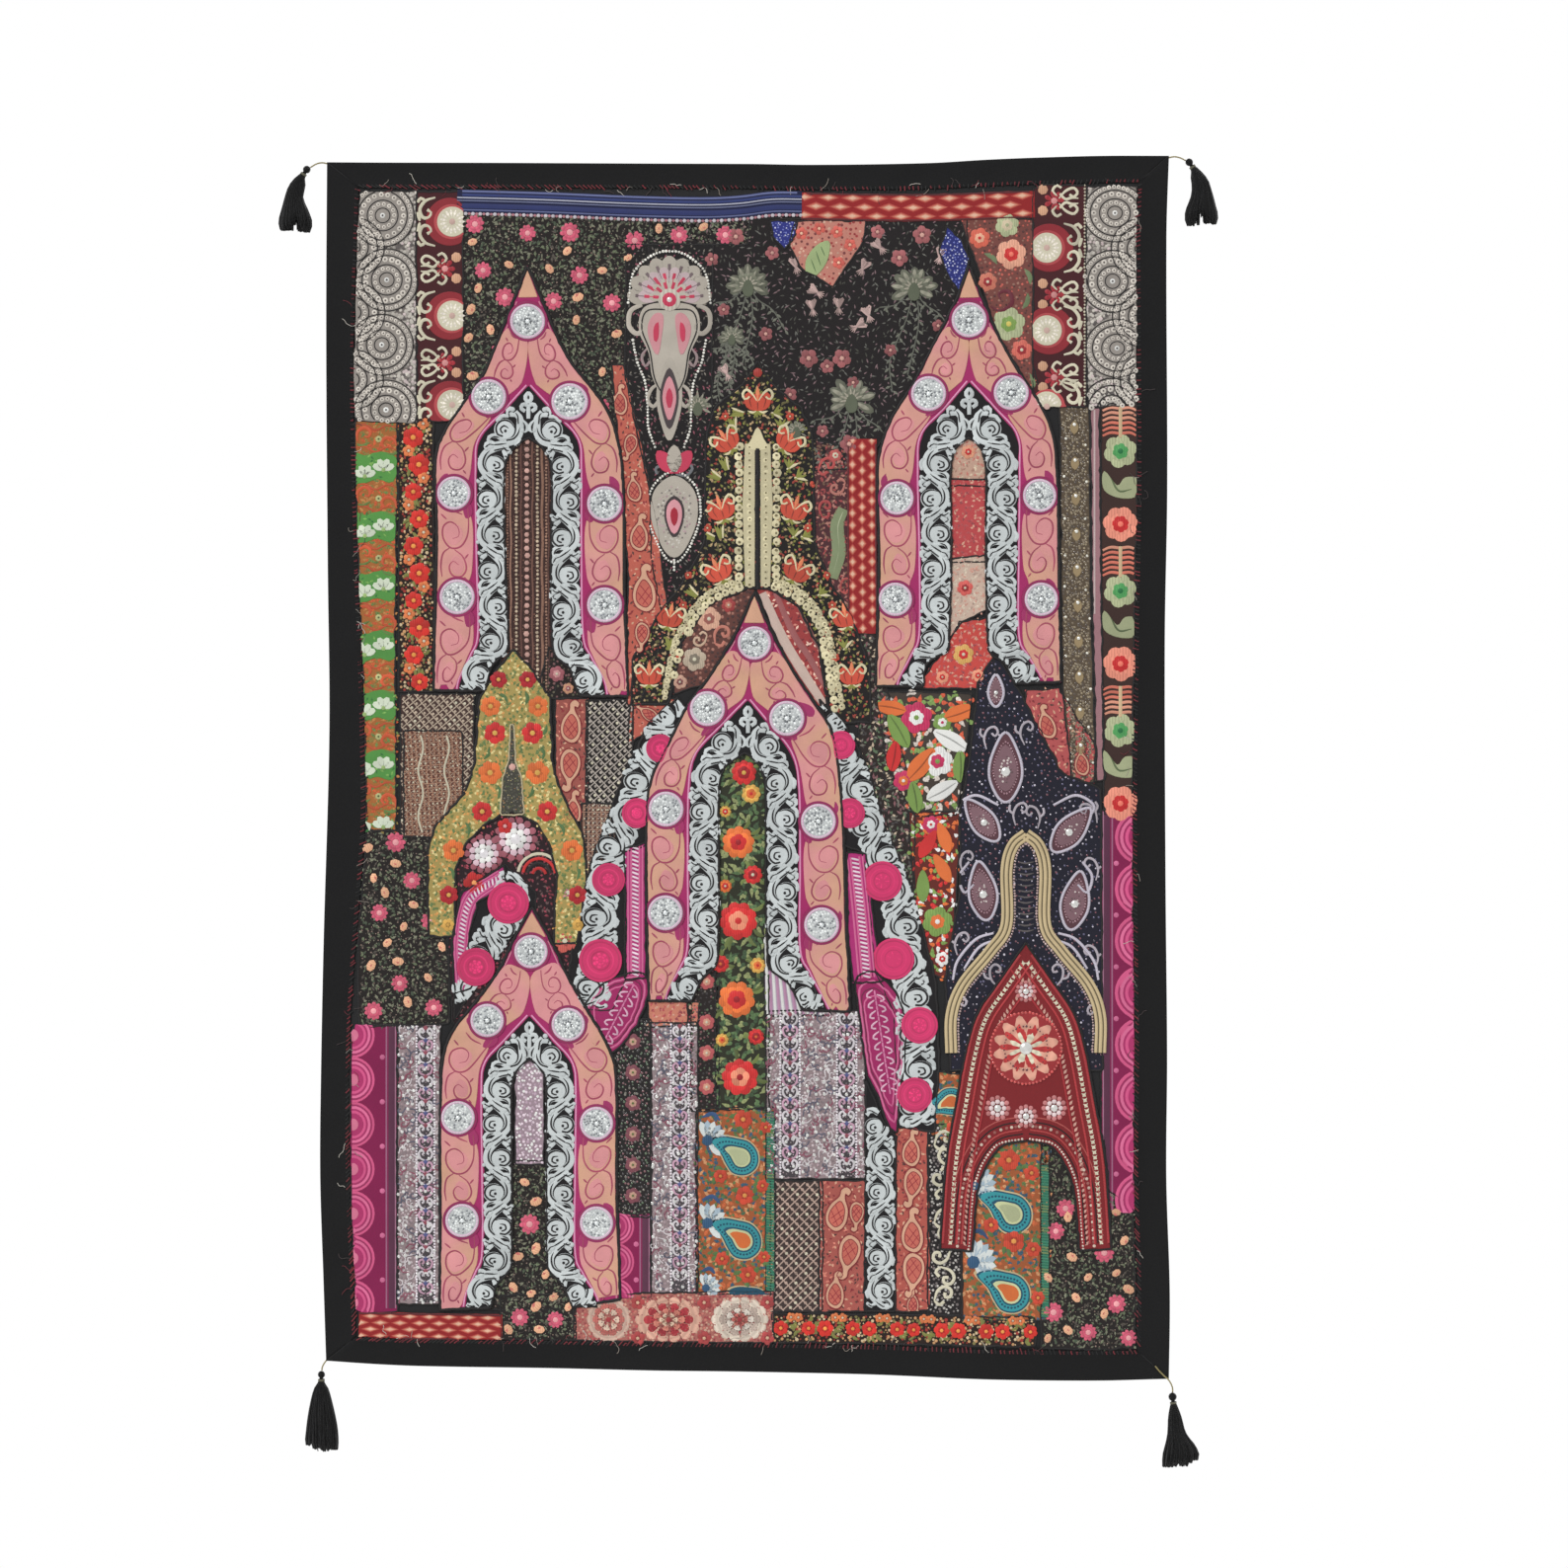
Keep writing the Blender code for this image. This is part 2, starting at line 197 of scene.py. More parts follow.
def smooth(points, step, closed=False):
    """Places about a step apart on a smooth curve through points."""
    points = np.asarray(points, float)
    if closed:
        ring = np.concatenate((points[-1:], points, points[:2]))
    else:
        ring = np.concatenate((2 * points[:1] - points[1:2], points, 2 * points[-1:] - points[-2:-1]))
    before, start, end, after = (ring[k : len(ring) - 3 + k, None] for k in range(4))
    t = np.linspace(0, 1, 13)[None, :-1, None]
    curve = 0.5 * (
        2 * start + (end - before) * t + (2 * before - 5 * start + 4 * end - after) * t**2
        + (3 * start - before - 3 * end + after) * t**3
    )
    fine = np.concatenate((curve.reshape(-1, points.shape[1]), ring[-2:-1]))
    return even(fine, step)


def even(path, step):
    """The same path with its places about a step apart."""
    gone = np.concatenate(([0], np.cumsum(np.linalg.norm(np.diff(path, axis=0), axis=1))))
    count = max(round(gone[-1] / step), 2)
    at = np.linspace(0, gone[-1], count + 1)
    return np.column_stack([np.interp(at, gone, values) for values in path.T])


def link(tree, *pairs):
    """Joins shader sockets, pair by pair."""
    for start, end in pairs:
        tree.links.new(start, end)


def start_group(name, inputs, outputs):
    """A new shader group and its two ends. Inputs are (name, kind, first value)."""
    group = bpy.data.node_groups.new(name, "ShaderNodeTree")
    for label, kind, value in inputs:
        socket = group.interface.new_socket(label, in_out="INPUT", socket_type=kind)
        socket.default_value = value
    for label, kind in outputs:
        group.interface.new_socket(label, in_out="OUTPUT", socket_type=kind)
    return group, group.nodes.new("NodeGroupInput"), group.nodes.new("NodeGroupOutput")


def calculate(tree, operation, *values):
    """A Math node on numbers or sockets. Returns its output."""
    node = tree.nodes.new("ShaderNodeMath")
    node.operation = operation
    for slot, value in enumerate(values):
        if isinstance(value, (int, float)):
            node.inputs[slot].default_value = value
        else:
            tree.links.new(value, node.inputs[slot])
    return node.outputs["Value"]


def add_noise(tree, place, scale, detail=2.0):
    """Uneven values about a half, at so many waves a metre."""
    noise = tree.nodes.new("ShaderNodeTexNoise")
    noise.inputs["Scale"].default_value = scale
    noise.inputs["Detail"].default_value = detail
    tree.links.new(place, noise.inputs["Vector"])
    return noise.outputs["Fac"]


def scale_colour(tree, colour, amount):
    """A colour socket made lighter or darker by a value socket."""
    node = tree.nodes.new("ShaderNodeVectorMath")
    node.operation = "SCALE"
    link(tree, (colour, node.inputs[0]), (amount, node.inputs["Scale"]))
    return node.outputs[0]


def make_thread_group():
    """Threads laid side by side: a rib for each at a pitch along the strand value, and fuzz. The colour is lighter on
    each rib and darker between ribs, as painted highlight and painted shade; the last input sets how strong that is.
    Uneven worn tone is added.
    """
    tree, given, result = start_group(
        "laid_thread",
        [("Color", "NodeSocketColor", (0.5, 0.5, 0.5, 1)), ("Strand", "NodeSocketFloat", 0.0),
         ("Pitch", "NodeSocketFloat", 1.0), ("Depth", "NodeSocketFloat", 0.2)],
        [("Color", "NodeSocketColor"), ("Height", "NodeSocketFloat"), ("Roughness", "NodeSocketFloat")],
    )
    place = tree.nodes.new("ShaderNodeTexCoord").outputs["Object"]
    wander = calculate(tree, "MULTIPLY", add_noise(tree, place, 300), 0.8)
    turn = calculate(tree, "MULTIPLY", calculate(tree, "DIVIDE", given.outputs["Strand"],
        given.outputs["Pitch"]), math.tau)
    rib = calculate(tree, "MULTIPLY_ADD", calculate(tree, "SINE", calculate(tree, "ADD", turn, wander)), 0.5,
        0.5)
    fuzz = add_noise(tree, place, 1300, 3)
    height = calculate(tree, "MULTIPLY_ADD", fuzz, 0.5, rib)
    # Painted shade between the ribs and painted highlight on them, scaled by the last input; worn adds uneven tone.
    rib_shade = calculate(tree, "MULTIPLY", calculate(tree, "SUBTRACT", rib, 0.6), given.outputs["Depth"])
    worn = calculate(tree, "MULTIPLY_ADD", add_noise(tree, place, 45, 3), 0.3, 0.85)
    bright = calculate(tree, "ADD", rib_shade, worn)
    rough = calculate(tree, "MULTIPLY_ADD", fuzz, 0.3, 0.35)
    link(tree, (scale_colour(tree, given.outputs["Color"], bright), result.inputs["Color"]), (height,
        result.inputs["Height"]), (rough, result.inputs["Roughness"]))
    return tree


laid_thread = make_thread_group()


def dye(red, green, blue):
    """A screen colour, 0 to 255, as the light it reflects."""
    share = np.array([red, green, blue], float) / 255
    return np.where(share <= 0.04045, share / 12.92, ((share + 0.055) / 1.055) ** 2.4)


def start_material(name, sheen=0.0, specular=0.3, coat=0.0, metallic=0.0):
    """A Principled material with the values that are even all over it on its own sockets."""
    material = bpy.data.materials.new(name)
    material.use_nodes = True
    shader = material.node_tree.nodes["Principled BSDF"]
    shader.inputs["Sheen Weight"].default_value = sheen
    shader.inputs["Specular IOR Level"].default_value = specular
    shader.inputs["Coat Weight"].default_value = coat
    shader.inputs["Metallic"].default_value = metallic
    return material, material.node_tree, shader


def add_group(tree, shader, group, bump, **values):
    """Places a group of colour, height and roughness in a material, with a bump in metres."""
    node = tree.nodes.new("ShaderNodeGroup")
    node.node_tree = group
    for label, value in values.items():
        if isinstance(value, bpy.types.NodeSocket):
            tree.links.new(value, node.inputs[label])
        else:
            node.inputs[label].default_value = value
    relief = tree.nodes.new("ShaderNodeBump")
    relief.inputs["Strength"].default_value = 0.6
    relief.inputs["Distance"].default_value = bump
    link(tree, (node.outputs["Color"], shader.inputs["Base Color"]), (node.outputs["Roughness"],
        shader.inputs["Roughness"]), (node.outputs["Height"], relief.inputs["Height"]),
        (relief.outputs["Normal"], shader.inputs["Normal"]))
    return node


def read_strand(tree, name="strand"):
    node = tree.nodes.new("ShaderNodeAttribute")
    node.attribute_name = name
    return node


def plain_thread(name, colour, pitch, depth, sheen=0.2, specular=0.3):
    """Thread or cord of one colour, its ribs along the strand value; depth sets how much painted shade darkens the gaps
    between ribs.
    """
    material, tree, shader = start_material(name, sheen, specular)
    add_group(tree, shader, laid_thread, 0.0003, Color=(*colour, 1), Pitch=pitch, Depth=depth,
        Strand=read_strand(tree).outputs["Fac"])
    return material


def make_object(name, points, faces, materials, slots=None, dyes=None, strands=None, carrier=None):
    """A smooth mesh from points in metres and arrays of triangles or quads."""
    mesh = bpy.data.meshes.new(name)
    faces = [np.asarray(some, np.int32) for some in faces if len(some)]
    sizes = np.concatenate([np.full(len(some), some.shape[1], np.int32) for some in faces])
    corners = np.concatenate([some.ravel() for some in faces])
    mesh.vertices.add(len(points))
    mesh.vertices.foreach_set("co", np.asarray(points, np.float32).ravel())
    mesh.loops.add(len(corners))
    mesh.loops.foreach_set("vertex_index", corners)
    mesh.polygons.add(len(sizes))
    mesh.polygons.foreach_set("loop_start", (np.cumsum(sizes) - sizes).astype(np.int32))
    for material in materials:
        mesh.materials.append(material)
    if slots is not None:
        mesh.polygons.foreach_set("material_index", np.asarray(slots, np.int32))
    if dyes is not None:
        layer = mesh.color_attributes.new("dye", "FLOAT_COLOR", "POINT")
        rgba = np.column_stack((dyes, np.ones(len(dyes))))
        layer.data.foreach_set("color", rgba.astype(np.float32).ravel())
    if strands is not None:
        layer = mesh.attributes.new("strand", "FLOAT", "POINT")
        layer.data.foreach_set("value", np.asarray(strands, np.float32))
    mesh.update(calc_edges=True)
    mesh.validate()
    mesh.shade_smooth()
    made = bpy.data.objects.new(name, mesh)
    bpy.context.scene.collection.objects.link(made)
    if carrier is None:
        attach(made, "root")
    else:
        made.parent = carrier
    return made


def tube(path, radius, sides, strand_turns=0.0):
    """Points, quads and strand values of a closed round tube along points in metres."""
    path = np.asarray(path, float)
    count = len(path)
    ahead = np.gradient(path, axis=0)
    ahead /= np.linalg.norm(ahead, axis=1)[:, None]
    across = np.cross(ahead, (0.0, 1.0, 0.02))
    across /= np.linalg.norm(across, axis=1)[:, None]
    up = np.cross(ahead, across)
    radius = np.broadcast_to(radius, count)
    turn = math.tau * np.arange(sides) / sides
    ring = across[:, None] * np.cos(turn)[None, :, None] + up[:, None] * np.sin(turn)[None, :, None]
    points = (path[:, None] + ring * radius[:, None, None]).reshape(-1, 3)
    i, j = np.meshgrid(np.arange(count - 1), np.arange(sides), indexing="ij")
    first, beside = i * sides + j, i * sides + (j + 1) % sides
    quads = np.column_stack([side.ravel() for side in (first, beside, beside + sides, first + sides)])
    ends = np.array([count * sides, count * sides + 1])
    points = np.concatenate((points, path[[0, -1]]))
    ring_end = (count - 1) * sides
    around = np.arange(sides)
    caps = np.concatenate((
        np.column_stack(((around + 1) % sides, around, np.full(sides, ends[0]))),
        np.column_stack((ring_end + around, ring_end + (around + 1) % sides, np.full(sides, ends[1]))),
    ))
    gone = np.concatenate(([0], np.cumsum(np.linalg.norm(np.diff(path, axis=0), axis=1)))) / MM
    strand = (gone[:, None] + strand_turns * np.arange(sides)[None, :] / sides).ravel()
    return points, quads, caps, np.concatenate((strand, gone[[0, -1]]))


class Bundle:
    """Tubes gathered into one mesh."""

    def __init__(self):
        self.points, self.quads, self.caps, self.strands, self.count = [], [], [], [], 0

    def add(self, path, radius, sides, strand_turns=0.0):
        points, quads, caps, strand = tube(path, radius, sides, strand_turns)
        self.points.append(points)
        self.quads.append(quads + self.count)
        self.caps.append(caps + self.count)
        self.strands.append(strand)
        self.count += len(points)

    def make(self, name, material, carrier=None):
        faces = [np.concatenate(self.quads), np.concatenate(self.caps)]
        return make_object(name, np.concatenate(self.points), faces, [material],
            strands=np.concatenate(self.strands), carrier=carrier)


gold_cord = plain_thread("gold_cord", dye(146, 134, 84), 1.4, 0.5, sheen=0.1, specular=0.6)
head_place = {}
for corner, (side, sewn, free, head, head_radius, notch, skirt) in TASSELS.items():
    plane_y = hang([(*free[0], 0)])[0, 1]
    clear = BORDER_HALF + CORD_CLEARANCE + CORD_DIAMETER / 2
    route = [hang([(x, z, -side * clear)])[0] for x, z in sewn]
    for index, (x, z) in enumerate(free):
        settle = side * clear * (1 - index / len(free)) * MM
        route.append(np.array((x * MM, plane_y + settle, z * MM)))
    head_centre = np.array((head[0] * MM, plane_y, head[1] * MM))
    arrive = head_centre - route[-1]
    arrive /= np.linalg.norm(arrive)
    route.append(head_centre - arrive * (head_radius + 0.3) * MM)
    head_place[corner] = head_centre
    path = smooth(route, 1.0 * MM)
    length = float(np.linalg.norm(np.diff(path, axis=0), axis=1).sum())
    # Two plies twisted together, each a round strand a quarter of the cord off its middle line.
    ahead = np.gradient(path, axis=0)
    ahead /= np.linalg.norm(ahead, axis=1)[:, None]
    across = np.cross(ahead, (0.0, 1.0, 0.02))
    up = np.cross(ahead, across)
    twist = np.linspace(0, length / (4.2 * MM) * math.tau, len(path))[:, None]
    plies = Bundle()
    for start in (0, math.pi):
        ply = path + (across * np.cos(twist + start) + up * np.sin(twist + start)) * 0.52 * MM
        plies.add(ply, 0.58 * MM, 6, strand_turns=1.4)
    cord = plies.make(f"gold_cord_{corner}", gold_cord)
    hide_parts(f"tassel_cord_{corner}")

# ------------------------------
# The ground cloth: one sheet of black cotton that every patch is sewn to, cut a little larger
# than the patchwork so that its edge lies in the border. Its plain back shows from behind.
# ------------------------------
# Outer edges of the bordered cloth, and the border's width: place along the edge, then value.
TOP_EDGE = [(-520, 2), (-290, 1), (0, 0), (76, -1), (223, 1), (296, 5), (369, 8), (442, 10), (520, 10)]
BOTTOM_EDGE = [(-520, -1478), (-400, -1485), (-120, -1490), (0, -1492), (150, -1496), (300, -1501), (440,
    -1503), (520, -1501)]
LEFT_EDGE = [(-1501, -520), (-1380, -524), (-1250, -528), (-1120, -527), (-960, -524), (-700, -517), (-500,
    -519), (-230, -521), (10, -520)]
RIGHT_EDGE = [(-1501, 520), (-1390, 521), (-1250, 517), (-1100, 518), (-880, 516), (-590, 515), (-400, 518),
    (-90, 517), (10, 520)]
TOP_WIDTH = [(-520, 31), (0, 30), (300, 32), (520, 33)]
BOTTOM_WIDTH = [(-520, 31), (-300, 33), (0, 34), (300, 36), (520, 36)]
LEFT_WIDTH = [(-1501, 38), (-1250, 36), (-1060, 35), (-820, 46), (-700, 42), (-290, 33), (10, 40)]
RIGHT_WIDTH = [(-1501, 40), (-1250, 39), (-800, 39), (-590, 36), (10, 36)]
WIDTH = 1040
GROUND_HALF = 1.1
GROUND_INSET = 0.96


def read_table(table, at):
    """Values of a two-column table at places, on a smooth curve through its rows."""
    place, value = np.array(table, float).T
    slope = np.gradient(value, place, edge_order=1)
    slope[1:-1] = (value[2:] - value[:-2]) / (place[2:] - place[:-2])
    at = np.clip(np.asarray(at, float), place[0], place[-1])
    i = np.clip(np.searchsorted(place, at, side="right") - 1, 0, len(place) - 2)
    span = place[i + 1] - place[i]
    t = (at - place[i]) / span
    return (
        (2 * t**3 - 3 * t**2 + 1) * value[i] + (t**3 - 2 * t**2 + t) * span * slope[i]
        + (3 * t**2 - 2 * t**3) * value[i + 1] + (t**3 - t**2) * span * slope[i + 1]
    )


def edge_line(side, at, inset):
    """An edge of the cloth, or a line inset from it by a share of the border's width."""
    if side == "top":
        return read_table(TOP_EDGE, at) - inset * read_table(TOP_WIDTH, at)
    if side == "bottom":
        return read_table(BOTTOM_EDGE, at) + inset * read_table(BOTTOM_WIDTH, at)
    if side == "left":
        return read_table(LEFT_EDGE, at) + inset * read_table(LEFT_WIDTH, at)
    return read_table(RIGHT_EDGE, at) - inset * read_table(RIGHT_WIDTH, at)


def corner_point(side_x, side_z, inset):
    """Where two edges, or two lines inset from them, meet."""
    x, z = side_x * WIDTH / 2, 0.0 if side_z > 0 else -float(HEIGHT)
    for _ in range(4):
        z = float(edge_line("top" if side_z > 0 else "bottom", x, inset))
        x = float(edge_line("left" if side_x < 0 else "right", z, inset))
    return np.array((x, z))


def edge_point(side, share, inset):
    """Points at shares along an edge, or along a line inset from it."""
    if side in ("top", "bottom"):
        up = 1 if side == "top" else -1
        start, end = corner_point(-1, up, inset), corner_point(1, up, inset)
        x = start[0] + (end[0] - start[0]) * share
        return np.column_stack((x, edge_line(side, x, inset)))
    out = -1 if side == "left" else 1
    start, end = corner_point(out, 1, inset), corner_point(out, -1, inset)
    z = start[1] + (end[1] - start[1]) * share
    return np.column_stack((edge_line(side, z, inset), z))


def lay_between_edges(across, down, inset):
    """A rows by columns grid of flat points between the four edge lines."""
    top, bottom = edge_point("top", across, inset)[None], edge_point("bottom", across, inset)[None]
    left, right = edge_point("left", down, inset)[:, None], edge_point("right", down, inset)[:, None]
    u, v = across[None, :, None], down[:, None, None]
    west, east = corner_point(-1, 1, inset), corner_point(1, 1, inset)
    south_west, south_east = corner_point(-1, -1, inset), corner_point(1, -1, inset)
    return (
        top * (1 - v) + bottom * v + left * (1 - u) + right * u
        - (west * (1 - u) + east * u) * (1 - v) - (south_west * (1 - u) + south_east * u) * v
    )


def grid_faces(rows, columns):
    """Quads of a rows by columns grid of points."""
    i, j = np.meshgrid(np.arange(rows - 1), np.arange(columns - 1), indexing="ij")
    first = (i * columns + j).ravel()
    return np.column_stack((first, first + columns, first + columns + 1, first + 1))


def closed_sheet(front, back_height):
    """Points and faces of a thin closed sheet, from a grid of flat points with heights."""
    rows, columns = front.shape[:2]
    back = front.copy()
    back[:, :, 2] = back_height
    faces = grid_faces(rows, columns)
    rim = np.concatenate((
        np.arange(columns), np.arange(1, rows) * columns + columns - 1,
        (rows - 1) * columns + np.arange(columns - 2, -1, -1), np.arange(rows - 2, 0, -1) * columns,
    ))
    behind = rows * columns
    sides = np.column_stack((rim, np.roll(rim, -1), np.roll(rim, -1) + behind, rim + behind))
    return np.concatenate((front.reshape(-1, 3), back.reshape(-1, 3))), [faces, faces[:, ::-1] + behind,
        sides]


def make_weave_group():
    """Plain weave: warp and weft in turn on top, with slubs and unevenly faded dye. The colour is lighter where the
    threads and slubs stand high and darker in the weave's hollows, as painted highlight and painted shade.
    """
    tree, given, result = start_group(
        "plain_weave",
        [("Color", "NodeSocketColor", (0.5, 0.5, 0.5, 1)), ("Pitch", "NodeSocketFloat", 0.0008),
         ("Fading", "NodeSocketFloat", 0.3)],
        [("Color", "NodeSocketColor"), ("Height", "NodeSocketFloat"), ("Roughness", "NodeSocketFloat")],
    )
    place = tree.nodes.new("ShaderNodeTexCoord").outputs["Object"]
    split = tree.nodes.new("ShaderNodeSeparateXYZ")
    link(tree, (place, split.inputs[0]))
    rate = calculate(tree, "DIVIDE", math.pi, given.outputs["Pitch"])
    warp = calculate(tree, "SINE", calculate(tree, "MULTIPLY", split.outputs["X"], rate))
    weft = calculate(tree, "SINE", calculate(tree, "MULTIPLY", split.outputs["Z"], rate))
    slubs = add_noise(tree, place, 500, 3)
    height = calculate(tree, "MULTIPLY_ADD", calculate(tree, "MULTIPLY", warp, weft), 0.4, slubs)
    fade = calculate(tree, "SUBTRACT", add_noise(tree, place, 11, 4), 0.5)
    # Painted highlight and shade: the colour follows the weave's height; fade adds uneven faded dye.
    bright = calculate(tree, "MULTIPLY_ADD", height, 0.25, 0.87)
    bright = calculate(tree, "MULTIPLY_ADD", fade, given.outputs["Fading"], bright)
    rough = calculate(tree, "MULTIPLY_ADD", slubs, 0.2, 0.75)
    link(tree, (scale_colour(tree, given.outputs["Color"], bright), result.inputs["Color"]), (height,
        result.inputs["Height"]), (rough, result.inputs["Roughness"]))
    return tree


plain_weave = make_weave_group()


def cotton(name, colour, pitch, fading, sheen):
    """Plain-woven cotton of one colour."""
    material, tree, shader = start_material(name, sheen)
    add_group(tree, shader, plain_weave, 0.0003, Color=(*colour, 1), Pitch=pitch, Fading=fading)
    return material


black_cotton = cotton("black_cotton", dye(33, 33, 34), 0.0007, 0.5, 0.03)
GROUND_STEP = 15.0
across = np.linspace(0, 1, round(WIDTH / GROUND_STEP))
down = np.linspace(0, 1, round(HEIGHT / GROUND_STEP))
ground_front = lay_between_edges(across, down, GROUND_INSET)
ground_front = np.dstack((ground_front, np.full(ground_front.shape[:2], GROUND_HALF)))
points, faces = closed_sheet(ground_front, -GROUND_HALF)
ground_cloth = make_object("ground_cloth", hang(points), faces, [black_cotton])
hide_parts("patchwork_field")

# ------------------------------
# The top row of patches. Left corner: a grey medallion cloth worked all over in cream beads and
# black cord. It is cut square, laid on the ground and sewn down along its raw edges.
# ------------------------------
CLOTH, THREAD, CORD, BEAD, MIRROR = range(5)
RIDGE = np.array([(-1, 0), (0, 1), (1, 0)], float)
ROUND = np.array([(-1, 0), (-0.72, 0.72), (0, 1), (0.72, 0.72), (1, 0)], float)
GRID_STEP = 12.0


def shiny(name, sheen, specular, coat, pitch, depth):
    """Stitching in the dye of each point, its thread ribs along the strand value; depth sets how much painted shade
    darkens the gaps between ribs.
    """
    material, tree, shader = start_material(name, sheen, specular, coat)
    add_group(tree, shader, laid_thread, 0.0003, Color=read_strand(tree, "dye").outputs["Color"],
        Strand=read_strand(tree).outputs["Fac"], Pitch=pitch, Depth=depth)
    return material


def dyed_cloth():
    material, tree, shader = start_material("patch_cloth", 0.1)
    add_group(tree, shader, plain_weave, 0.0003, Color=read_strand(tree, "dye").outputs["Color"],
        Pitch=0.0009, Fading=0.35)
    return material


def glass(name, metallic, coat):
    """Glass beads, sequins and small mirrors, in the dye of each point, with fine scratches."""
    material, tree, shader = start_material(name, 0.0, 0.6, coat, metallic)
    place = tree.nodes.new("ShaderNodeTexCoord").outputs["Object"]
    cloud = add_noise(tree, place, 260, 3)
    bright = calculate(tree, "MULTIPLY_ADD", cloud, 0.5, 0.75)
    rough = calculate(tree, "MULTIPLY_ADD", add_noise(tree, place, 900, 2), 0.3, 0.08)
    link(tree, (scale_colour(tree, read_strand(tree, "dye").outputs["Color"], bright),
        shader.inputs["Base Color"]), (rough, shader.inputs["Roughness"]))
    return material


finishes = [
    dyed_cloth(),
    shiny("satin_thread", 0.1, 0.35, 0.0, 1.1, 0.28),
    shiny("couched_cord", 0.1, 0.3, 0.0, 1.8, 0.5),
    glass("bead_glass", 0.0, 0.5),
    glass("mirror_glass", 0.75, 0.3),
]


def vary(colour, amount=0.07):
    """The same dye, a little lighter or darker, as from another skein."""
    return np.asarray(colour) * (1 + amount * chance.standard_normal())


edge_share = np.linspace(0, 1, 150)
field = np.concatenate([edge_point(side, share, 1.04) for side, share in (("top", edge_share), ("right",
    edge_share), ("bottom", edge_share[::-1]), ("left", edge_share[::-1]))])


class Handwork:
    """Flat handwork gathered stroke by stroke, then hung on the cloth as one piece."""

    def __init__(self, behind=False, within=field):
        self.points, self.faces, self.dyes, self.strands, self.slots, self.count = [], [], [], [], [], 0
        self.limit, self.within, self.behind = None, within, behind

    def add(self, points, faces, colour, strand, finish):
        self.points.append(points)
        self.faces.append(np.asarray(faces, int) + self.count)
        self.dyes.append(np.broadcast_to(colour, (len(points), 3)))
        self.strands.append(np.broadcast_to(strand, len(points)))
        self.slots.append(np.full(len(faces), finish))
        self.count += len(points)

    def kept(self, points):
        """Which points lie on the patch in hand and inside the border's inner fold."""
        keep = np.ones(len(points), bool)
        for edge in (self.limit, self.within):
            if edge is not None:
                keep &= inside(points, edge)
        return keep

    def make(self, name):
        slots = np.concatenate(self.slots)
        used = np.unique(slots)
        points, faces = np.concatenate(self.points), np.concatenate(self.faces)
        if self.behind:
            points, faces = points * (1, 1, -1), faces[:, ::-1]
        made = make_object(
            name, hang(points), [faces],
            [finishes[k] for k in used], np.searchsorted(used, slots), np.concatenate(self.dyes),
            np.concatenate(self.strands), ground_cloth,
        )
        return made


def placed(x, z, turn=0.0, size=1.0, flip=1):
    """A way to lay a motif: mirrored and sized, turned in degrees, then moved to x, z."""
    angle = math.radians(turn)
    across = np.array((math.cos(angle), math.sin(angle))) * size * flip
    up = np.array((-math.sin(angle), math.cos(angle))) * size

    def lay(points):
        points = np.asarray(points, float)
        return np.array((x, z)) + points[:, :1] * across + points[:, 1:] * up

    return lay


def between(first, second, length, half):
    """A way to lay motifs in a band of that neutral length and half width between two lines."""

    def lay(points):
        points = np.asarray(points, float)
        share, side = points[:, 0] / length, (points[:, 1:] / half + 1) / 2
        ends = []
        for edge in (first, second):
            at = np.linspace(0, 1, len(edge))
            ends.append(np.column_stack([np.interp(share, at, values) for values in edge.T]))
        return ends[0] * (1 - side) + ends[1] * side

    return lay


def along(path, flip=1):
    """A way to lay motifs on a line: the first number runs along it, the second to its left."""
    gone = np.concatenate(([0], np.cumsum(np.linalg.norm(np.diff(path, axis=0), axis=1))))
    ahead = np.gradient(path, axis=0)
    ahead /= np.linalg.norm(ahead, axis=1)[:, None]

    def lay(points):
        points = np.asarray(points, float)
        at = [np.interp(points[:, 0], gone, values) for values in (*path.T, *ahead.T)]
        offset = points[:, 1] * flip
        return np.column_stack((at[0] - at[3] * offset, at[1] + at[2] * offset))

    return lay


def path_length(path):
    return float(np.linalg.norm(np.diff(path, axis=0), axis=1).sum())


def ribbon(work, path, width, colour, base, rise=0.8, profile=RIDGE, finish=THREAD):
    """Thread or cord laid along a path, where that is on the patch. Its width may change."""
    width = np.broadcast_to(np.asarray(width, float), len(path))
    keep = work.kept(path)
    if not keep.all():
        for run in np.split(np.arange(len(path)), np.flatnonzero(np.diff(keep.astype(int))) + 1):
            if keep[run[0]] and len(run) > 1:
                lay_ribbon(work, path[run], width[run], colour, base, rise, profile, finish)
        return
    lay_ribbon(work, path, width, colour, base, rise, profile, finish)


# A thread narrower than this either side of its middle is laid as a plain ridge.
NARROW = 1.15


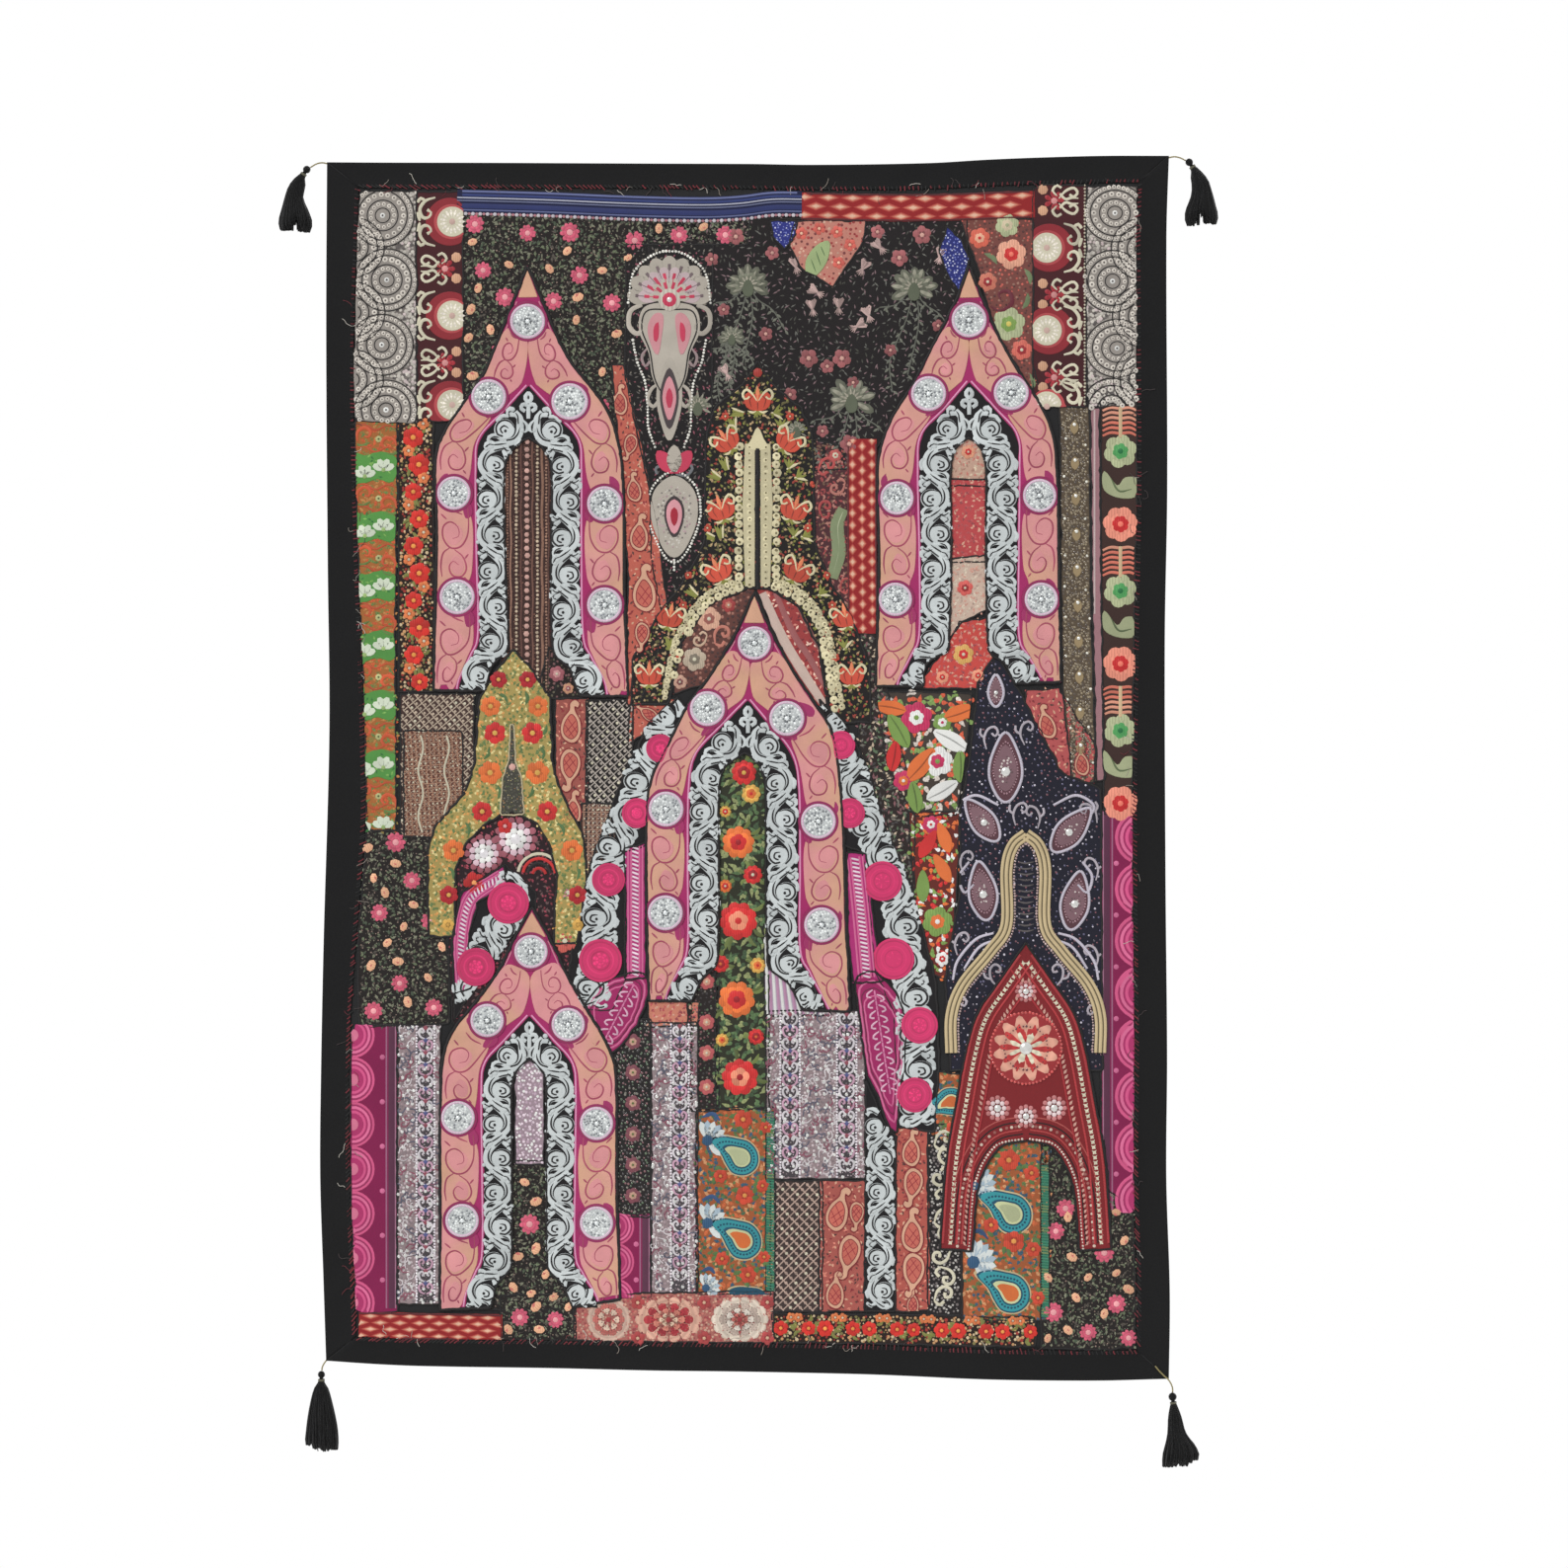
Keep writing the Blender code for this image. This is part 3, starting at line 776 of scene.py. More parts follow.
def lay_ribbon(work, path, width, colour, base, rise, profile, finish):
    ahead = np.gradient(path, axis=0)
    ahead /= np.maximum(np.linalg.norm(ahead, axis=1), 1e-9)[:, None]
    side = np.column_stack((-ahead[:, 1], ahead[:, 0]))
    half = width / 2
    if half.max() < NARROW:
        profile = RIDGE
    lift = rise * np.sqrt(half / half.max())
    points = np.empty((len(path), len(profile), 3))
    points[:, :, :2] = path[:, None] - profile[None, :, :1] * (side * half[:, None])[:, None]
    points[:, :, 2] = base + profile[None, :, 1] * lift[:, None]
    i, j = np.meshgrid(np.arange(len(path) - 1), np.arange(len(profile) - 1), indexing="ij")
    first = (i * len(profile) + j).ravel()
    over = first + len(profile)
    faces = np.concatenate((np.column_stack((first, first + 1, over + 1)), np.column_stack((first, over + 1,
        over))))
    gone = np.concatenate(([0], np.cumsum(np.linalg.norm(np.diff(path, axis=0), axis=1))))
    work.add(points.reshape(-1, 3), faces, colour, np.repeat(gone, len(profile)), finish)


def stroke(work, points, width, colour, base, lay=None, ends=(0.35, 0.35), step=3.0, **more):
    """A curved stroke through a few places, narrower at its ends."""
    path = smooth(points, step)
    if lay is not None:
        path = lay(path)
    taper = np.interp(np.linspace(0, 1, len(path)), (0, 0.3, 0.7, 1), (ends[0], 1, 1, ends[1]))
    ribbon(work, path, width * taper, vary(colour), base, **more)


def facing_front(outline):
    """The outline running anticlockwise as seen from the front."""
    x, z = outline.T
    return outline if np.sum(x * np.roll(z, -1) - np.roll(x, -1) * z) > 0 else outline[::-1]


def inside(points, outline):
    """Which points are inside an outline."""
    x, z = points[:, :1], points[:, 1:]
    x0, z0 = outline.T
    x1, z1 = np.roll(outline, -1, axis=0).T
    crossing = (z0 > z) != (z1 > z)
    with np.errstate(divide="ignore", invalid="ignore"):
        hit = x < (x1 - x0) * (z - z0) / (z1 - z0) + x0
    return (crossing & hit).sum(axis=1) % 2 == 1


def cut_shape(work, outline, colour, base, top, spread, strand_way, finish, extra=None):
    """A flat shape at height top, its edge rounding down and out to height base."""
    outline = facing_front(outline)
    count = len(outline)
    flat = outline if extra is None else np.concatenate((outline, extra))
    result = delaunay_2d_cdt([Vector(p) for p in flat], [], [list(range(count))], 1, 1e-5)
    inner = np.array([(*p, top) for p in result[0]])
    strand = inner[:, 0] * strand_way[0] + inner[:, 1] * strand_way[1]
    mixed = colour(inner[:, :2]) if callable(colour) else colour
    work.add(inner, np.array([list(f) for f in result[2]]), mixed, strand, finish)
    ahead = np.roll(outline, -1, axis=0) - np.roll(outline, 1, axis=0)
    out = np.column_stack((ahead[:, 1], -ahead[:, 0])) / np.maximum(np.linalg.norm(ahead, axis=1), 1e-9)[:,
        None]
    rim = np.concatenate((
        np.column_stack((outline, np.full(count, top))),
        np.column_stack((outline + out * spread * 0.7, np.full(count, base * 0.4 + top * 0.6))),
        np.column_stack((outline + out * spread, np.full(count, base))),
    ))
    start = np.arange(count)
    beside = (start + 1) % count
    faces = []
    for level in (0, count):
        low = level + count
        faces += [np.column_stack((start + level, start + low, beside + low)),
            np.column_stack((start + level, beside + low, beside + level))]
    strand = rim[:, 0] * strand_way[0] + rim[:, 1] * strand_way[1]
    mixed = colour(rim[:, :2]) if callable(colour) else colour
    work.add(rim, np.concatenate(faces), mixed, strand, finish)


def trimmed(outline, edge):
    """The outline with what lies beyond an edge drawn back to that edge."""
    if edge is None:
        return outline
    out = ~inside(outline, edge)
    nearest = np.linalg.norm(outline[out][:, None] - edge[None], axis=2).argmin(axis=1)
    outline = outline.copy()
    outline[out] = edge[nearest] * 0.97 + outline.mean(axis=0) * 0.03
    return outline


def fill(work, points, colour, base, lay=None, rise=0.7, grain=(0.3, 0.95), step=4.0, curved=True):
    """A satin-stitched shape through a few places."""
    points = np.asarray(points, float)
    outline = smooth(points, step, closed=True)[:-1] if curved else points
    if lay is not None:
        outline = lay(outline)
    if work.kept(outline).mean() < 0.4:
        return
    outline = trimmed(trimmed(outline, work.limit), work.within)
    cut_shape(work, outline, vary(colour, 0.04) if not callable(colour) else colour, base, base + rise, 0.7,
        grain, THREAD)


def sew_cloth(work, corners, colour, level, curved=False, ravel=0.5, base=GROUND_HALF):
    """A patch of cloth at a height, its cut edge a little uneven."""
    corners = np.asarray(corners, float)
    ring = np.concatenate((corners, corners[:1]))
    outline = smooth(corners, 8.0, closed=True)[:-1] if curved else even_edges(ring, 8.0)
    outline = trimmed(outline + chance.normal(0, ravel, outline.shape), work.within)
    low, high = outline.min(axis=0), outline.max(axis=0)
    x, z = np.meshgrid(np.arange(low[0] + 6, high[0], GRID_STEP), np.arange(low[1] + 6, high[1], GRID_STEP))
    grid = np.column_stack((x.ravel(), z.ravel()))
    grid = grid[inside(grid, outline)]
    away = np.min(np.linalg.norm(grid[:, None] - outline[None], axis=2), axis=1) if len(grid) else None
    extra = grid[away > 4] if len(grid) else None
    cut_shape(work, outline, colour, base, level, 0.4, (0, 1), CLOTH, extra)
    work.limit = outline
    return outline


def even_edges(ring, step):
    """A closed line of straight edges, with its corners kept and places about a step apart."""
    pieces = []
    for start, end in zip(ring, ring[1:]):
        count = max(round(float(np.linalg.norm(end - start)) / step), 1)
        pieces.append(start + (end - start) * np.arange(count)[:, None] / count)
    return np.concatenate(pieces)


def couch(work, path, width=3.0, colour=dye(24, 21, 22), base=2.0, rise=2.0, wobble=0.35):
    """Cord laid along a line and sewn down over it, so that it wanders a little."""
    path = even(np.asarray(path, float), 5.0)
    path = path + chance.normal(0, wobble, path.shape)
    limit, work.limit = work.limit, None
    ribbon(work, path, width * (1 + chance.normal(0, 0.08, len(path))), colour, base, rise, ROUND, CORD)
    work.limit = limit


def ring_of(outline):
    return np.concatenate((outline, outline[:1]))


def start_patch(outline, colour, level=1.9, curved=False, edge=2.8, cord=dye(26, 23, 24)):
    """A patch sewn down with cord couched round its cut edge."""
    work = Handwork()
    line = sew_cloth(work, outline, colour, level, curved)
    couch(work, ring_of(line), edge, cord, base=level - 0.7, rise=1.4)
    return work


def dome(sides, shoulder=0.68, lift=0.72):
    """A unit round dome: points with heights, and its triangles."""
    turn = math.tau * np.arange(sides) / sides
    circle = np.column_stack((np.cos(turn), np.sin(turn)))
    points = np.concatenate((
        np.column_stack((circle, np.zeros(sides))), np.column_stack((circle * shoulder, np.full(sides, lift))),
        [(0, 0, 1)],
    ))
    start = np.arange(sides)
    beside = (start + 1) % sides
    faces = np.concatenate((
        np.column_stack((start, beside, beside + sides)), np.column_stack((start, beside + sides, start + sides)),
        np.column_stack((start + sides, beside + sides, np.full(sides, 2 * sides))),
    ))
    return points, faces


def cone(sides):
    turn = math.tau * np.arange(sides) / sides
    points = np.concatenate((np.column_stack((np.cos(turn), np.sin(turn), np.zeros(sides))), [(0, 0, 1)]))
    start = np.arange(sides)
    return points, np.column_stack((start, (start + 1) % sides, np.full(sides, sides)))


def petal():
    """A unit petal from the origin to (1, 0), widest past its middle."""
    shares = [(0.0, 0.05), (0.35, 0.62), (0.7, 1.0), (0.92, 0.6)]
    points = [(a, side * b, 0.0) for a, b in shares for side in (1, -1)]
    points += [(a, 0.0, lift) for (a, _), lift in zip(shares, (0.3, 0.8, 1.0, 0.7))] + [(1.0, 0.0, 0.0)]
    faces = []
    for k in range(3):
        left, middle, right = 2 * k, 8 + k, 2 * k + 1
        faces += [(left, middle, middle + 1), (left, middle + 1, left + 2), (middle, right, right + 2),
            (middle, right + 2, middle + 1)]
    faces += [(6, 11, 12), (11, 7, 12)]
    return np.array(points), np.array(faces)


def sliver():
    """A unit seed from the origin to (1, 0), for places too small for a petal."""
    points = [(0.0, 0.0, 0.0), (0.6, 1.0, 0.0), (0.6, -1.0, 0.0), (1.0, 0.0, 0.0), (0.55, 0.0, 1.0)]
    return np.array(points), np.array([(0, 4, 1), (1, 4, 3), (3, 4, 2), (2, 4, 0)])


BUMP, KNOT, SPECK, LEAF, SLIVER, PIP = dome(7), dome(6), cone(5), petal(), sliver(), cone(6)
SMALL = 2.5


def stamp(work, shape, x, z, width, colour, base, length=None, turn=0.0, rise=0.8, finish=THREAD,
        spread=0.08):
    """The same small shape at many places, each with its own size, turn in radians and shade."""
    x, z, width, turn, base, rise = np.broadcast_arrays(*np.atleast_1d(x, z, width, turn, base, rise))
    length = width if length is None else np.broadcast_to(length, x.shape)
    if width.mean() < SMALL:
        shape = SLIVER if shape is LEAF else PIP if shape is KNOT else shape
    unit, triangles = shape
    keep = work.kept(np.column_stack((x, z)))
    if not keep.all():
        colour = np.broadcast_to(colour, (len(x), 3))[keep]
        x, z, width, turn, base, rise = (some[keep] for some in (x, z, width, turn, base, rise))
        length = length[keep]
    count, size = len(x), len(unit)
    if not count:
        return
    a, b = unit[None, :, 0] * length[:, None], unit[None, :, 1] * width[:, None]
    c, s = np.cos(turn)[:, None], np.sin(turn)[:, None]
    height = base[:, None] + unit[None, :, 2] * rise[:, None]
    points = np.dstack((x[:, None] + a * c - b * s, z[:, None] + a * s + b * c, height)).reshape(-1, 3)
    shade = 1 + spread * chance.standard_normal(count)
    dyes = np.broadcast_to(colour, (count, 3)) * np.clip(shade, 0.6, 1.5)[:, None]
    faces = (triangles[None] + (np.arange(count) * size)[:, None, None]).reshape(-1, 3)
    work.add(points, faces, np.repeat(dyes, size, axis=0), np.tile(unit[:, 0], count) * 3, finish)


def beads(work, path, pitch, radius, colour, base, finish=BEAD, shape=KNOT, spread=0.12, rise=None):
    """Beads or knots sewn along a line."""
    path = even(np.asarray(path, float), pitch)
    path = path + chance.normal(0, radius * 0.12, path.shape)
    size = radius * (1 + chance.normal(0, 0.08, len(path)))
    stamp(work, shape, *path.T, size, colour, base, rise=size * 0.9 if rise is None else rise, finish=finish,
        spread=spread)


def circle(x, z, radius, squash=1.0):
    turn = np.linspace(0, math.tau, max(round(radius * 2.2), 10) + 1)
    return np.column_stack((x + radius * np.cos(turn), z + radius * squash * np.sin(turn)))


def disc(work, x, z, radius, colour, base, rise=0.6, finish=THREAD):
    if radius > 16:
        fill(work, circle(x, z, radius)[:-1], colour, base, rise=rise, curved=False)
        return
    stamp(work, dome(max(7, min(24, round(radius * 1.2))), 0.88, 0.9), x, z, radius, colour, base, rise=rise,
        finish=finish, spread=0.0)


def rosette(work, x, z, radius, base):
    """A silver bead rosette, speckled dark, in a thin pale ring."""
    disc(work, x, z, radius, dye(186, 190, 190), base, 0.6)
    ribbon(work, circle(x, z, radius * 0.94), radius * 0.15, dye(214, 186, 204), base + 0.2, 1.2, ROUND,
        CORD)
    count = 84
    order = np.arange(count) + 2
    reach = np.minimum(radius * 0.82 * np.sqrt(order / count), radius * 0.8)
    turn = order * 2.39996 + chance.uniform(0, 6)
    tones = pick([dye(222, 226, 224), dye(122, 126, 130), dye(186, 190, 190)], count, [0.45, 0.27, 0.28])
    stamp(work, SPECK, x + reach * np.cos(turn), z + reach * np.sin(turn), radius * 0.078, tones, base + 0.6,
        rise=0.9, finish=BEAD, spread=0.1)
    beads(work, circle(x, z, radius * 0.2)[:-1], radius * 0.16, radius * 0.06, dye(84, 88, 92), base + 0.9)
    disc(work, x, z, radius * 0.14, dye(240, 246, 246), base + 1.0, 0.9, MIRROR)


def box(left, top, right, bottom):
    """Corners of an upright patch."""
    return [(left, top), (left, bottom), (right, bottom), (right, top)]


def strew(outline, spacing, margin=2.0):
    """Places strewn inside an outline, roughly so far apart."""
    outline = np.asarray(outline, float)
    low, high = outline.min(axis=0), outline.max(axis=0)
    x, z = np.meshgrid(np.arange(low[0], high[0], spacing), np.arange(low[1], high[1], spacing * 0.87))
    x = x + (np.arange(len(x)) % 2)[:, None] * spacing / 2
    places = np.column_stack((x.ravel(), z.ravel()))
    places += chance.uniform(-0.36, 0.36, places.shape) * spacing
    keep = inside(places, outline)
    for shift in ((margin, 0), (-margin, 0), (0, margin), (0, -margin)):
        keep &= inside(places + shift, outline)
    return places[keep]


def pick(colours, count, shares=None):
    """A dye for each of so many motifs."""
    return np.array(colours)[chance.choice(len(colours), count, p=shares)]


BACK_LEVEL = 1.9
CREAM, WHITE, BLACK = dye(206, 200, 176), dye(226, 226, 222), dye(26, 23, 24)


def cobble(work, outline, spacing, size, colours, base, shares=None, finish=THREAD, rise=0.7, clear=None):
    """Knots or beads packed all over a shape."""
    places = strew(outline, spacing, 1.0)
    if clear is not None:
        places = places[~clear(places)]
    count = len(places)
    stamp(work, KNOT, *places.T, size * chance.uniform(0.75, 1.2, count), pick(colours, count, shares), base,
        rise=rise, finish=finish, spread=0.1)


def ringlets(work, places, size, base, light=CREAM, dark=dye(52, 46, 46)):
    """Small rings of cream thread with a dark eye."""
    x, z = np.asarray(places, float).T
    stamp(work, BUMP, x, z, size, light, base, rise=0.9)
    stamp(work, KNOT, x, z, size * 0.42, dark, base + 0.7, rise=0.5)


def medallion_corner(name, outline, middles, reach=38):
    """Cream cloth crowded with round medallions: rings of white knots between black cords."""
    work = start_patch(outline, dye(116, 109, 104), edge=2.6)
    greys = [dye(196, 190, 180), dye(166, 160, 152), dye(206, 190, 188), dye(92, 86, 84)]
    cobble(work, work.limit, 4.2, 2.3, greys, BACK_LEVEL, [0.4, 0.28, 0.17, 0.15])
    for x, z in middles:
        x, z = x + chance.normal(0, 1), z + chance.normal(0, 1)
        squash = chance.uniform(0.92, 1.05)
        disc(work, x, z, reach, dye(146, 139, 132), BACK_LEVEL + 0.3, 0.5)
        for share, size in ((0.92, 2.8), (0.68, 4.0), (0.38, 3.2)):
            ring = even(circle(x, z, reach * share, squash), size * 2.15)[:-1]
            ringlets(work, ring + chance.normal(0, 0.25, ring.shape), size * chance.uniform(0.9, 1.05),
                BACK_LEVEL + 0.6, dye(212, 205, 194), dye(110, 102, 98))
        for share in (1.02, 0.8, 0.5, 0.24):
            ribbon(work, circle(x, z, reach * share, squash), 1.4, BLACK, BACK_LEVEL + 0.9, 0.9, RIDGE, CORD)
        stamp(work, BUMP, x, z, 3.6, WHITE, BACK_LEVEL + 0.8, rise=1.2)
        stamp(work, KNOT, x, z, 1.5, dye(90, 84, 84), BACK_LEVEL + 1.8, rise=0.5)
    return work.make(name)


medallion_corner(
    "medallion_top_left", [(-480, -28), (-482, -120), (-484, -210), (-489, -317), (-408, -320), (-407, -200),
                           (-410, -100), (-408, -30)],
    [(-451, -64), (-447, -142), (-453, -224), (-448, -304), (-487, -103), (-487, -184), (-489, -266)],
)
medallion_corner(
    "medallion_top_right", [(418, -24), (416, -150), (420, -302), (484, -298), (486, -150), (482, -22)],
    [(452, -62), (449, -146), (456, -228), (450, -302), (487, -104), (488, -188), (490, -268)],
)

# ------------------------------
# Red strips beside the corners: satin scrolls in cream along one edge, cream roundels along the
# other, dark red flowers between. Cut from one border trim and sewn over the medallion's edge.
# ------------------------------
def star(work, x, z, size, colour, base, centre=None, count=9, turn=0.0, rise=0.8):
    """A small many-petalled flower with a light centre."""
    angles = turn + math.tau * np.arange(count) / count + chance.normal(0, 0.06, count)
    stamp(work, LEAF, np.full(count, x), np.full(count, z), size * 0.24, colour, base, length=size,
        turn=angles, rise=rise)
    stamp(work, BUMP, x, z, size * 0.32, centre if centre is not None else vary(colour * 1.5),
        base + rise * 0.6, rise=0.8)


def rose(work, x, z, size, colour, base, centre=CREAM, count=5, shade=None):
    """A round flower: overlapping petals over a darker disc, an inner ring of darker specks and a knotted centre. The
    darker disc and specks are darker copies of the petal colour, as painted shade between the petals.
    """
    turn = chance.uniform(0, 6)
    angles = turn + math.tau * np.arange(count) / count
    # Painted shade: a darker copy of the petal colour for the disc behind the petals and the specks between them.
    shade = colour * 0.7 if shade is None else shade
    disc(work, x, z, size * 0.8, shade, base, 0.5)
    stamp(work, BUMP, x + size * 0.55 * np.cos(angles), z + size * 0.55 * np.sin(angles), size * 0.46,
        colour, base + 0.2, rise=0.8, spread=0.1)
    stamp(work, SPECK, x + size * 0.3 * np.cos(angles + 0.6), z + size * 0.3 * np.sin(angles + 0.6),
        size * 0.16, shade, base + 0.9, rise=0.5)
    stamp(work, BUMP, x, z, size * 0.25, centre, base + 0.9, rise=0.7)


def red_strip(name, outline, side, roundels):
    """Cream fans in red crescents at one edge, pairs of white scrolls along the other."""
    work = start_patch(outline, dye(66, 28, 32), BACK_LEVEL + 0.5)
    top = BACK_LEVEL + 0.5
    red, pink = dye(136, 32, 42), dye(206, 140, 138)
    x = roundels[0][0]
    stops = [z for _, z, _ in roundels]
    for middle in stops:
        disc(work, x + side * 4, middle, 29, red, top, 0.5)
        disc(work, x + side * 6, middle, 21, dye(176, 70, 74), top + 0.4, 0.4)
        disc(work, x + side * 7, middle, 18, CREAM * 0.95, top + 0.7, 0.7)
        turn = np.radians(np.arange(0, 360, 24))
        stamp(work, LEAF, x + side * 7 + 5 * np.cos(turn), middle + 5 * np.sin(turn), 2.2, dye(226, 218,
            204), top + 1.3, length=11.5, turn=turn, rise=0.5)
        stamp(work, BUMP, x + side * 7, middle, 4, dye(190, 160, 150), top + 1.5, rise=0.7)
    for middle in [stops[0] + 58] + [z - 58 for z in stops]:
        star(work, x - side * 2, middle, 13, dye(150, 38, 48), top, pink, 7)
        stamp(work, BUMP, x + side * 12, middle + np.array((-12, 14)), 6.5, dye(196, 150, 120), top,
            rise=1.0)
        for up in (-1, 1):
            lay = placed(x - side * 22, middle, 0, 1, side)
            for points in ([(14, 3), (6, 12), (-4, 16), (-9, 10), (-4, 5), (1, 8)], [(-10, 3), (-2, 4), (6,
                    2), (13, 9)], [(16, 6), (22, 12), (17, 19), (11, 16)]):
                stroke(work, np.array(points, float) * (1, up), 3.4, CREAM, top + 0.2, lay, (0.4, 0.9),
                    rise=1.0)
    for middle in stops:
        for up in (-1, 1):
            lay = placed(x - side * 24, middle, 0, 1, side)
            for points in ([(10, 30), (-2, 26), (-9, 16), (-6, 6), (1, 5), (5, 11), (0, 15)], [(-9, 1), (-12,
                    12)], [(-2, 26), (-8, 29), (-12, 24)]):
                stroke(work, np.array(points, float) * (1, up), 4.2, CREAM, top + 0.2, lay, (0.5, 0.9),
                    rise=1.1)
    edge_x = x - side * 40
    beads(work, [(edge_x, stops[0] + 90), (edge_x, stops[-1] - 60)], 4.2, 1.5, CREAM * 0.9, top, THREAD)
    return work.make(name)


red_strip("red_roundel_strip_left", box(-409, -30, -352, -318), 1, [(-372, -72, 15), (-371, -188, 15), (-373,
    -298, 14)])
red_strip("red_roundel_strip_right", box(352, -26, 418, -300), -1, [(376, -104, 16), (375, -206, 16), (372,
    -300, 12)])

# ------------------------------
# Two ribbons across the top: a blue one woven in stripes with a white picot edge, and a red ikat
# one with rows of cream lozenges. They sag a little between the places where they are sewn.
# ------------------------------
work = Handwork()
ribbon_line = smooth([(-359, -47), (-250, -50), (-150, -54), (-60, -56), (-10, -54), (30, -49), (70, -49)],
    6)
lay = along(ribbon_line)
ribbon_ends = path_length(ribbon_line)
run = np.arange(0, ribbon_ends, 6)
outline = np.concatenate((lay([(a, 15) for a in run]), lay([(a, -13) for a in run])[::-1]))
sew_cloth(work, outline, dye(26, 30, 62), BACK_LEVEL + 1.0, ravel=0.2)
for offset, width, colour in ((13, 2.4, dye(98, 106, 150)), (8.5, 3.0, dye(40, 54, 110)), (5.0, 1.6, dye(176,
        178, 192)), (1.5, 1.2, dye(120, 126, 156)), (-5, 6.0, dye(34, 44, 96)), (-10, 1.6, dye(96, 104,
        146))):
    ribbon(work, lay(np.column_stack((run, np.full(len(run), offset)))), width, colour, BACK_LEVEL + 1.0,
        0.4)
work.limit = None
for shift, size, colour in ((0, 2.6, dye(196, 190, 196)), (4.5, 2.0, dye(176, 120, 130))):
    picot = lay(np.column_stack((np.arange(2 + shift, ribbon_ends - 3, 9.0), np.full(len(np.arange(2 + shift,
        ribbon_ends - 3, 9.0)), -14.5))))
    stamp(work, KNOT, *picot.T, size, colour, BACK_LEVEL + 0.6, rise=1.0)
work.make("blue_striped_ribbon")


def ikat(name, line, half, rows, pitch):
    """A red ribbon with rows of long cream lozenges, blurred along the warp as ikat is."""
    work = Handwork()
    line = smooth(line, 6)
    lay, length = along(line), path_length(line)
    run = np.arange(0, length, 8)
    outline = np.concatenate((lay([(a, half) for a in run]), lay([(a, -half) for a in run])[::-1]))
    sew_cloth(work, outline, dye(140, 34, 36), BACK_LEVEL + 0.8, ravel=0.2)
    high = 2 * half / rows
    for row in range(rows):
        side = -half + high * (row + 0.5)
        for a in np.arange(pitch * (0.1 + 0.5 * (row % 2)), length, pitch):
            for share, colour in ((1.0, dye(166, 58, 50)), (0.82, dye(190, 100, 82)), (0.6, dye(204, 136,
                    112)), (0.36, dye(220, 176, 150))):
                reach = pitch * 0.46 * share * chance.uniform(0.94, 1.05)
                points = lay([(a - reach, side), (a, side - high * 0.44 * share), (a + reach, side), (a,
                    side + high * 0.44 * share)])
                fill(work, points, colour, BACK_LEVEL + 0.8 + 0.3 * (1 - share), rise=0.2, curved=False,
                    grain=(1, 0))
    for side in (half - 1, 1 - half):
        ribbon(work, lay([(a, side) for a in np.arange(0, length, 6)]), 2.2, dye(84, 24, 30),
            BACK_LEVEL + 0.8, 0.6)
    return work.make(name)


ikat("red_ikat_ribbon", [(66, -52), (160, -54), (240, -54), (356, -50)], 16.5, 3, 30)
ikat("red_ikat_bottom", [(-480, -1434), (-390, -1436), (-304, -1438)], 16, 4, 24)
ikat("red_ikat_right", [(141, -340), (141, -450), (142, -586)], 18, 3, 15)

# ------------------------------
# Black cotton printed and worked with small flowers: pink stars, peach buds and green sprigs.
# Pieces of this one cloth fill the top left, the left side, and gaps along the bottom.
# ------------------------------
STAR_PINK, BUD_PEACH = dye(196, 84, 108), dye(222, 168, 132)


def black_floral(name, outline, stars, buds, level=BACK_LEVEL):
    work = start_patch(outline, dye(32, 27, 26), level)
    sprigs = strew(outline, 5.6)
    busy = np.array(list(stars) + list(buds), float)
    sprigs = sprigs[np.min(np.linalg.norm(sprigs[:, None] - busy[None], axis=2), axis=1) > 8]
    count = len(sprigs)
    greens = pick([dye(96, 106, 80), dye(66, 78, 60), dye(118, 120, 100), dye(74, 68, 60)], count)
    stamp(work, LEAF, *sprigs.T, chance.uniform(1.0, 1.9, count), greens, level, length=chance.uniform(4,
        7.5, count), turn=chance.uniform(0, 6.28, count), rise=0.5)
    dots = strew(outline, 6.2)
    stamp(work, SPECK, *dots.T, chance.uniform(0.6, 1.2, len(dots)), pick([dye(128, 128, 108), dye(96, 88,
        78), dye(150, 128, 116)], len(dots)), level, rise=0.5)
    for x, z in stars:
        size = chance.uniform(10.5, 13)
        star(work, x, z, size, STAR_PINK, level + 0.2, dye(232, 160, 164), 10, chance.uniform(0, 1))
    for x, z in buds:
        turn = chance.uniform(0, 6.28)
        size = chance.uniform(6.0, 8.0)
        stamp(work, BUMP, x, z, size * 0.72, BUD_PEACH, level + 0.2, length=size, turn=turn, rise=1.1)
        stamp(work, LEAF, x - math.cos(turn) * size * 0.6, z - math.sin(turn) * size * 0.6, size * 0.3,
            dye(196, 108, 100), level + 0.9, length=size * 1.1, turn=turn + chance.normal(0, 0.3), rise=0.6)
    return work.make(name)


